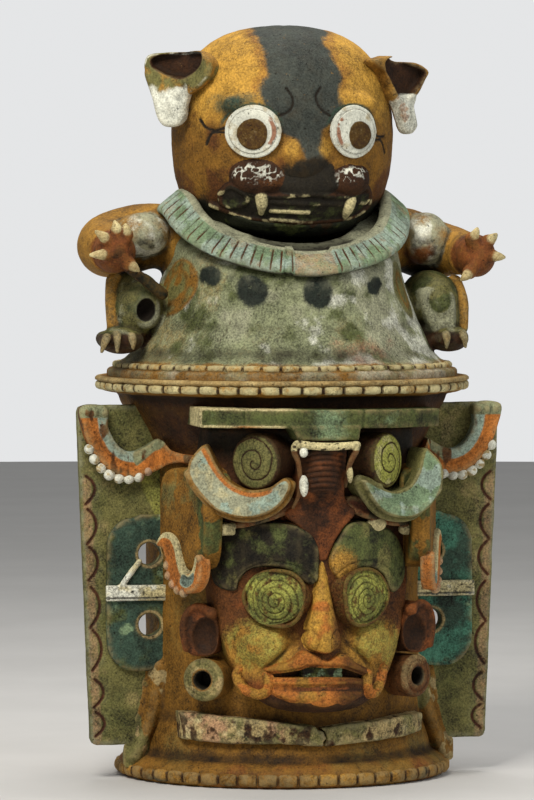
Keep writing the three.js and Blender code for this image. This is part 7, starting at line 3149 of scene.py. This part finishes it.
        coats = (
            (Slip.BUFF, cloud(20, 176, 0, 0.8, 0.5, 3)),
            (Slip.ROSE, crescents),
            (Slip.AMBER, lambda p: 1.3 * ease(1.6, -1, pupil.at(p))),
            (
                Slip.MOSS,
                lambda p: 0.5 * ease(0, -1.5, pupil.at(p)) * ease(-0.3, 0.5, unevenness(p, 12, 177)),
            ),
            (Slip.DARK_BROWN, ringed),
        )
        name = f"cat_eye_{side.label}"
        finish = Finish(
            Slip.WHITE, speckle=0.14, mottle=0.12, rubbed=Slip.WHITE, rub=0, grime=0.8, wear=0.1
        )
        low = tuple(np.min([disc.low, rim.low], 0))
        block = Block(low, tuple(np.array(disc.high) + 3), 1.3).add(disc).add(rim, 1).add(pupil, 1)
        groove = lambda p: 1.4 * mark(np.abs(polar(p)[0] - 34.8), 0.6, 1)
        shop.fire(name, block.skin(), "cream_slip", finish, coats, lumps=0.4, seed=178, dents=groove)

    def build_ear(self, shop: Workshop, side: Side) -> None:
        """Makes one ear: a folded cup turned outwards, with a tip that hangs in front.

        Args:
            shop: Where its pieces are fired.
            side: The side that it is on.
        """
        if side is Side.LEFT:
            shape = [
                (-62, 1063), (-54, 1075), (-31, 1078), (-1, 1078), (23, 1080), (41, 1071), (49, 1057),
                (45, 1042), (29, 1026), (9, 1015), (-10, 1012), (-30, 1016), (-50, 1030), (-60, 1045),
            ]
            hollow = [
                (-45, 1070), (-12, 1075), (24, 1077), (32, 1069), (26, 1055), (3, 1040), (-18, 1043),
                (-46, 1057),
            ]
            tip = [
                (-60, 1050), (-30, 1043), (2, 1040), (9, 1015), (5, 999), (3, 983), (-7, 971), (-22, 967),
                (-35, 971), (-44, 987), (-50, 1010), (-60, 1035),
            ]
        else:
            shape = [
                (-57, 1058), (-62, 1067), (-45, 1071), (-25, 1074), (-4, 1066), (35, 1063), (58, 1052),
                (52, 1039), (31, 1014), (10, 1004), (-14, 1004), (-32, 1032), (-41, 1049),
            ]
            hollow = [(-41, 1062), (-16, 1071), (10, 1062), (50, 1049), (20, 1018), (-5, 1010), (-28, 1038)]
            tip = [
                (-14, 1012), (31, 1014), (29, 997), (35, 977), (35, 968), (25, 959), (13, 959), (4, 968),
                (-5, 987),
            ]
        s = side.value
        plane = Plane((s * 160, -64, 0), s * self.ear_turn)
        cup = slab(plane, Outline(shape), -14, 17, 6)
        sunk = slab(plane, Outline(hollow), 2, 40, 5)
        hung = slab(plane, Outline(tip), -6, 14, 6, 4)
        low, high = np.minimum(cup.low, hung.low), np.maximum(cup.high, hung.high)
        block = Block(tuple(low), tuple(high), 1.7)
        block.add(cup).cut(sunk, 4).add(hung, 5)
        block.cut(self.head_form(-10))

        def ahead(p: Array) -> Array:
            """Is 1 on the ear's front."""
            return ease(-4, 4, plane.local(*p.T)[1])

        def white(p: Array) -> Array:
            """The white paint on the tip."""
            gap = Outline(tip).distance(plane.local(*p.T)[0], p[:, 2])
            return ease(1034, 1018, p[:, 2] + 8 * unevenness(p, 20, 181)) * ease(4, 0, gap) * ahead(p)

        def edge(p: Array) -> Array:
            """The white line round the cup."""
            rim = mark(np.abs(Outline(shape).distance(plane.local(*p.T)[0], p[:, 2]) + 2.5), 2.2, 1.4)
            return 0.6 * rim * ahead(p) * ease(-0.2, 0.4, unevenness(p, 24, 182)) * (side is Side.LEFT)

        coats = (
            (Slip.OCHRE, cloud(30, 183 + s, -0.4, 0.5)),
            (Slip.BROWN, lambda p: 0.7 * ease(1.2, -1, hung.at(p)) * ease(1012, 1034, p[:, 2]) * ahead(p)),
            (Slip.DARK_BROWN, lambda p: 0.98 * ease(4, 0.5, sunk.at(p))),
            (Slip.WHITE, lambda p: np.maximum(white(p), edge(p))),
            (
                Slip.ORANGE,
                lambda p: 0.5 * ease(0.3, 0.7, unevenness(p, 22, 185)) * white(p) * (side is Side.RIGHT),
            ),
        )
        name = f"cat_ear_{side.label}"
        finish = Finish(
            Slip.OLIVE if side is Side.LEFT else Slip.DEEP_OCHRE, speckle=0.3, rubbed=Slip.BUFF, rub=0.35,
            wear=0.2,
        )
        shop.fire(name, block.skin(), "cream_slip", finish, coats, lumps=0.8, seed=186)

    def build_arm(self, shop: Workshop, side: Side) -> None:
        """Makes one foreleg, bent back to its elbow and forward to a raised paw with claws.

        Args:
            shop: Where its pieces are fired.
            side: The side that it is on.
        """
        s = side.value
        if side is Side.LEFT:
            path = [(-134, 12, 785), (-186, 42, 805), (-244, 54, 793), (-268, 8, 788), (-270, -58, 783)]
            radii, wrist, fist = [46, 49, 50, 40, 31], (-271, 783), (31, 36, 31)
            breast = ball((-216, -2, 807), (43, 46, 33), 20)
            ends = [
                ((-288, 780), (-313, 779)), ((-287, 801), (-305, 813)), ((-273, 811), (-277, 828)),
                ((-259, 808), (-261, 823)),
            ]
            ends.append(((-255, 766), (-242, 756)))
        else:
            path = [(134, 10, 783), (188, 40, 800), (238, 50, 785), (268, 4, 782), (277, -58, 776)]
            radii, wrist, fist = [46, 48, 46, 36, 30], (278, 776), (29, 36, 32)
            breast = ball((222, 4, 800), (37, 46, 40), -10)
            ends = [
                ((265, 801), (272, 817)), ((289, 797), (301, 808)), ((294, 776), (313, 774)),
                ((262, 752), (248, 741)),
            ]
        arm = rod(path, radii, 8)
        paw = ball((wrist[0], -84, wrist[1]), fist)
        circle = np.linspace(0, 2 * math.pi, 13)
        cuff = rod(
            [(wrist[0] + 30 * math.cos(a), -54, wrist[1] + 30 * math.sin(a)) for a in circle], 3.6, 2
        )
        toes, claws = [], []
        for (x, up), (end_x, end_z) in ends:
            start_x, start_z = wrist[0] + 0.2 * (x - wrist[0]), wrist[1] + 0.2 * (up - wrist[1])
            toes.append(rod([(start_x, -112, start_z), (x, -110, up)], [9, 10.5], 2))
            middle = ((x + end_x) / 2, -118, (up + end_z) / 2)
            claws.append(rod([(x, -112, up), middle, (end_x, -117, end_z)], [8.4, 6.8, 2.8]))
        forms = [arm, breast, paw, cuff, *toes]
        # A rod from the left elbow to the body, painted dark as shadow.
        strut = rod([(-249, -92, 757), (-226, -88, 741), (-199, -78, 721)], [7.5, 8, 9])
        if side is Side.LEFT:
            forms.append(strut)
        torso = self.lid.torso_form()

        def pale(p: Array) -> Array:
            """The pale shoulder."""
            return ease(10, -6, breast.at(p) + 5 * unevenness(p, 30, 191)) * ease(40, 10, p[:, 1])

        def pepper(p: Array) -> Array:
            """The dark speckles on the shoulder."""
            return 0.75 * pale(p) * ease(-0.1, 0.5, unevenness(p, 14, 195, 4)) * ease(6, -20, p[:, 2] - 812)

        def fur(p: Array) -> Array:
            """The brown of the paw and of the patch by it."""
            spot = np.hypot(s * p[:, 0] - 208, (p[:, 2] - 776) * 1.1) + 9 * unevenness(p, 20, 193)
            patch = ease(30, 10, spot) * ease(40, 10, p[:, 1]) * (side is Side.RIGHT)
            return 0.8 * np.maximum(ease(-50, -64, p[:, 1]), patch)

        def low(p: Array) -> Array:
            """The painted shadow on the underside, and on the left arm's strut."""
            under = ease(772, 748, p[:, 2] + 6 * unevenness(p, 20, 198)) * ease(258, 230, np.abs(p[:, 0]))
            return 0.85 * np.maximum(under, ease(2, -1, strut.at(p)) * (side is Side.LEFT))

        coats = (
            (Slip.DEEP_OCHRE, cloud(44, 194, -0.4, 0.7, 0.8)),
            (Slip.STONE, pale),
            (Slip.WHITE, lambda p: 0.8 * pale(p) * ease(-0.2, 0.6, unevenness(p, 26, 199))),
            (Slip.SLATE, pepper),
            (Slip.RUST, fur),
            (Slip.DARK_BROWN, lambda p: 0.7 * fur(p) * ease(-0.1, 0.6, unevenness(p, 16, 196, 4))),
            (Slip.BLACK_GREEN, low),
            (
                Slip.CREAM,
                lambda p: sum(ease(1.4, -1, claw.at(p)) * ease(-102, -108, p[:, 1]) for claw in claws),
            ),
        )
        name = f"arm_{side.label}"
        finish = Finish(Slip.OCHRE, speckle=0.26, rubbed=Slip.OCHRE, rub=0.3, wear=0.25)
        cuts = [self.lid.torso_form(-7)]
        forms = [*forms, *claws]
        shop.lute(name, forms, [torso], "buff_clay", finish, coats, 2, 12, 9, cuts, seed=197)

    def build_haunch(self, shop: Workshop, side: Side) -> None:
        """Makes one folded hind leg with its foot and claws.

        Args:
            shop: Where its pieces are fired.
            side: The side that it is on.
        """
        s = side.value
        thigh = ball((s * 226, -4, 709), (41, 75, 44))
        shin = ball((s * 237, -34, 682), (27, 34, 42))
        if side is Side.LEFT:
            shank = rod([(-259, -18, 738), (-263, -34, 706), (-262, -42, 668)], 13)
            foot = ball((-257, -56, 652), (34, 36, 20))
            ends = [((-284, 657), (-293, 637)), ((-270, 661), (-270, 637)), ((-247, 658), (-246, 641))]
            ring = [
                (-222 + 17 * math.cos(a), -64, 697 + 21 * math.sin(a))
                for a in np.linspace(0, 2 * math.pi, 13)
            ]
            cuts = [ball((-222, -76, 697), (14, 26, 17))]
            forms = [rod(ring, 6, 3), ball((-228, -50, 700), (34, 26, 36))]
            dark, pale = cuts[0], forms[0]
        else:
            shank = rod([(262, -18, 734), (268, -32, 706), (266, -40, 668)], 12)
            foot = ball((243, -56, 651), (30, 36, 19))
            ends = [((231, 658), (230, 639)), ((256, 660), (259, 640))]
            face = [(196, 722), (221, 657), (250, 664), (246, 720)]
            forms = [slab(Plane((0, 0, 0)), Outline(face), 40, 72, 8)]
            cuts = [rod([(254, -74, 728), (256, -74, 674)], 5.5)]
            dark, pale = cuts[0], forms[0]
        toes = [rod([(x, -60, up - 2), (x, -84, up - 6)], [11, 11], 2) for (x, up), _ in ends]
        claws = []
        for (x, up), (end_x, end_z) in ends:
            claws.append(
                rod([(x, -90, up), ((x + end_x) / 2, -98, up - 6), (end_x, -97, end_z)], [6.6, 5.6, 2.6])
            )
        forms = [thigh, shin, shank, foot, *forms, *toes, *claws]

        def outer(p: Array) -> Array:
            """The ochre shank."""
            return ease(3, -1, shank.at(p)) * ease(660, 670, p[:, 2])

        coats = (
            (Slip.MOSS, cloud(26, 201 + s, -0.3, 0.6, 0.8)),
            (Slip.STONE, lambda p: 0.6 * ease(-0.1, 0.7, unevenness(p, 22, 203)) * ease(-10, -50, p[:, 1])),
            (Slip.STONE, lambda p: 0.7 * ease(3, 0, pale.at(p))),
            # Painted shade in the hole of the left haunch and in the groove of the right one.
            (Slip.SOOT, lambda p: ease(2.5, -0.5, dark.at(p))),
            (Slip.OCHRE, lambda p: 0.9 * outer(p)),
            (Slip.DARK_BROWN, lambda p: 0.85 * ease(668, 658, p[:, 2])),
            (Slip.BUFF, lambda p: 0.9 * sum(ease(1.4, -1, claw.at(p)) for claw in claws)),
        )
        name = f"haunch_{side.label}"
        finish = Finish(Slip.OLIVE, speckle=0.36, mottle=0.3, rubbed=Slip.STONE, rub=0.3, wear=0.25)
        cuts.append(self.lid.torso_form(-7))
        torso = self.lid.torso_form()
        shop.lute(name, forms, [torso], "buff_clay", finish, coats, 2, 12, 9, cuts, seed=204)


class Studio:
    """The plain pale room: floor, backdrop, soft lights and the camera."""

    FLOOR_RADIUS = 9
    CAMERA_PLACE = (-1.7315, -7.810, 0.883)
    CAMERA_AIM = (-0.02197, 0.00487, 0.559)
    LENS = 240

    def build(self) -> None:
        """Sets up everything but the urn."""
        self.build_camera()
        self.build_floor()
        self.build_world()
        self.build_light("key", (-1.7, -2.6, 3.4), 1.5, 144, (1, 0.965, 0.9))
        self.build_light("fill", (2.8, -2.4, 1.9), 2.4, 30, (0.95, 0.98, 1))
        self.build_light("top", (0.3, 0.8, 3.6), 1.6, 52, (1, 0.98, 0.95))

    def build_camera(self) -> None:
        """Puts the camera where the photograph was taken from."""
        camera = bpy.data.cameras.new("camera")
        camera.lens = self.LENS
        camera.sensor_width = 36
        camera.clip_end = 100
        viewer = bpy.data.objects.new("camera", camera)
        viewer.location = self.CAMERA_PLACE
        aim = Vector(self.CAMERA_AIM) - Vector(self.CAMERA_PLACE)
        viewer.rotation_euler = aim.to_track_quat("-Z", "Y").to_euler()
        bpy.context.scene.collection.objects.link(viewer)
        bpy.context.scene.camera = viewer

    def build_floor(self) -> None:
        """Makes the wide pale floor."""
        angle = np.arange(96) * 2 * math.pi / 96
        reach = self.FLOOR_RADIUS
        corners = [(reach * math.cos(a), reach * math.sin(a), -0.0004) for a in angle]
        mesh = bpy.data.meshes.new("floor")
        mesh.from_pydata(corners, [], [tuple(range(96))])
        material = bpy.data.materials.new("floor_paint")
        material.use_nodes = True
        nodes = Nodes(material.node_tree)
        vector = nodes.add("ShaderNodeTexCoord").outputs["Object"]
        grain = nodes.span(nodes.noise(vector, 3, 5, 0.6), 0.3, 0.7)
        shader = nodes.add("ShaderNodeBsdfPrincipled")
        nodes.feed(
            shader.inputs["Base Color"], nodes.mix(grain, (0.62, 0.61, 0.59, 1), (0.66, 0.65, 0.63, 1))
        )
        nodes.feed(shader.inputs["Roughness"], nodes.span(grain, 0, 1, 0.72, 0.8))
        nodes.feed(nodes.add("ShaderNodeOutputMaterial").inputs["Surface"], shader.outputs["BSDF"])
        mesh.materials.append(material)
        floor = bpy.data.objects.new("floor", mesh)
        bpy.context.scene.collection.objects.link(floor)

    def build_world(self) -> None:
        """Lights the room evenly and shows a pale background."""
        world = bpy.data.worlds.new("room")
        world.use_nodes = True
        nodes = Nodes(world.node_tree)
        seen = nodes.add("ShaderNodeLightPath").outputs["Is Camera Ray"]
        shader = nodes.add("ShaderNodeBackground")
        nodes.feed(shader.inputs["Color"], (0.93, 0.94, 0.95, 1))
        nodes.feed(shader.inputs["Strength"], nodes.span(seen, 0, 1, 0.3, 0.84))
        nodes.feed(nodes.add("ShaderNodeOutputWorld").inputs["Surface"], shader.outputs["Background"])
        bpy.context.scene.world = world

    def build_light(self, name: str, place: Point, size: float, power: float, tint: Point) -> None:
        """Adds one soft light that looks at the urn's middle.

        Args:
            name: Its name.
            place: Where it stands.
            size: How wide it is.
            power: How strong it is.
            tint: Its colour.
        """
        light = bpy.data.lights.new(name, "AREA")
        light.size = size
        light.energy = power
        light.color = tint
        lamp = bpy.data.objects.new(name, light)
        lamp.location = place
        lamp.rotation_euler = (Vector((0, 0, 0.6)) - Vector(place)).to_track_quat("-Z", "Y").to_euler()
        bpy.context.scene.collection.objects.link(lamp)


def main() -> None:
    """Builds the room and the urn."""
    logging.basicConfig(level=logging.INFO, format="%(message)s")
    bpy.context.scene.view_settings.view_transform = "Standard"
    Studio().build()
    groups = Groups()
    for body, parts in (("vessel", (Vessel(), Wings(), BeastJaw(), DeityMask())), ("lid", (Lid(), Cat()))):
        for part in parts:
            part.build(Workshop(body, groups))


if __name__ == "__main__":
    main()
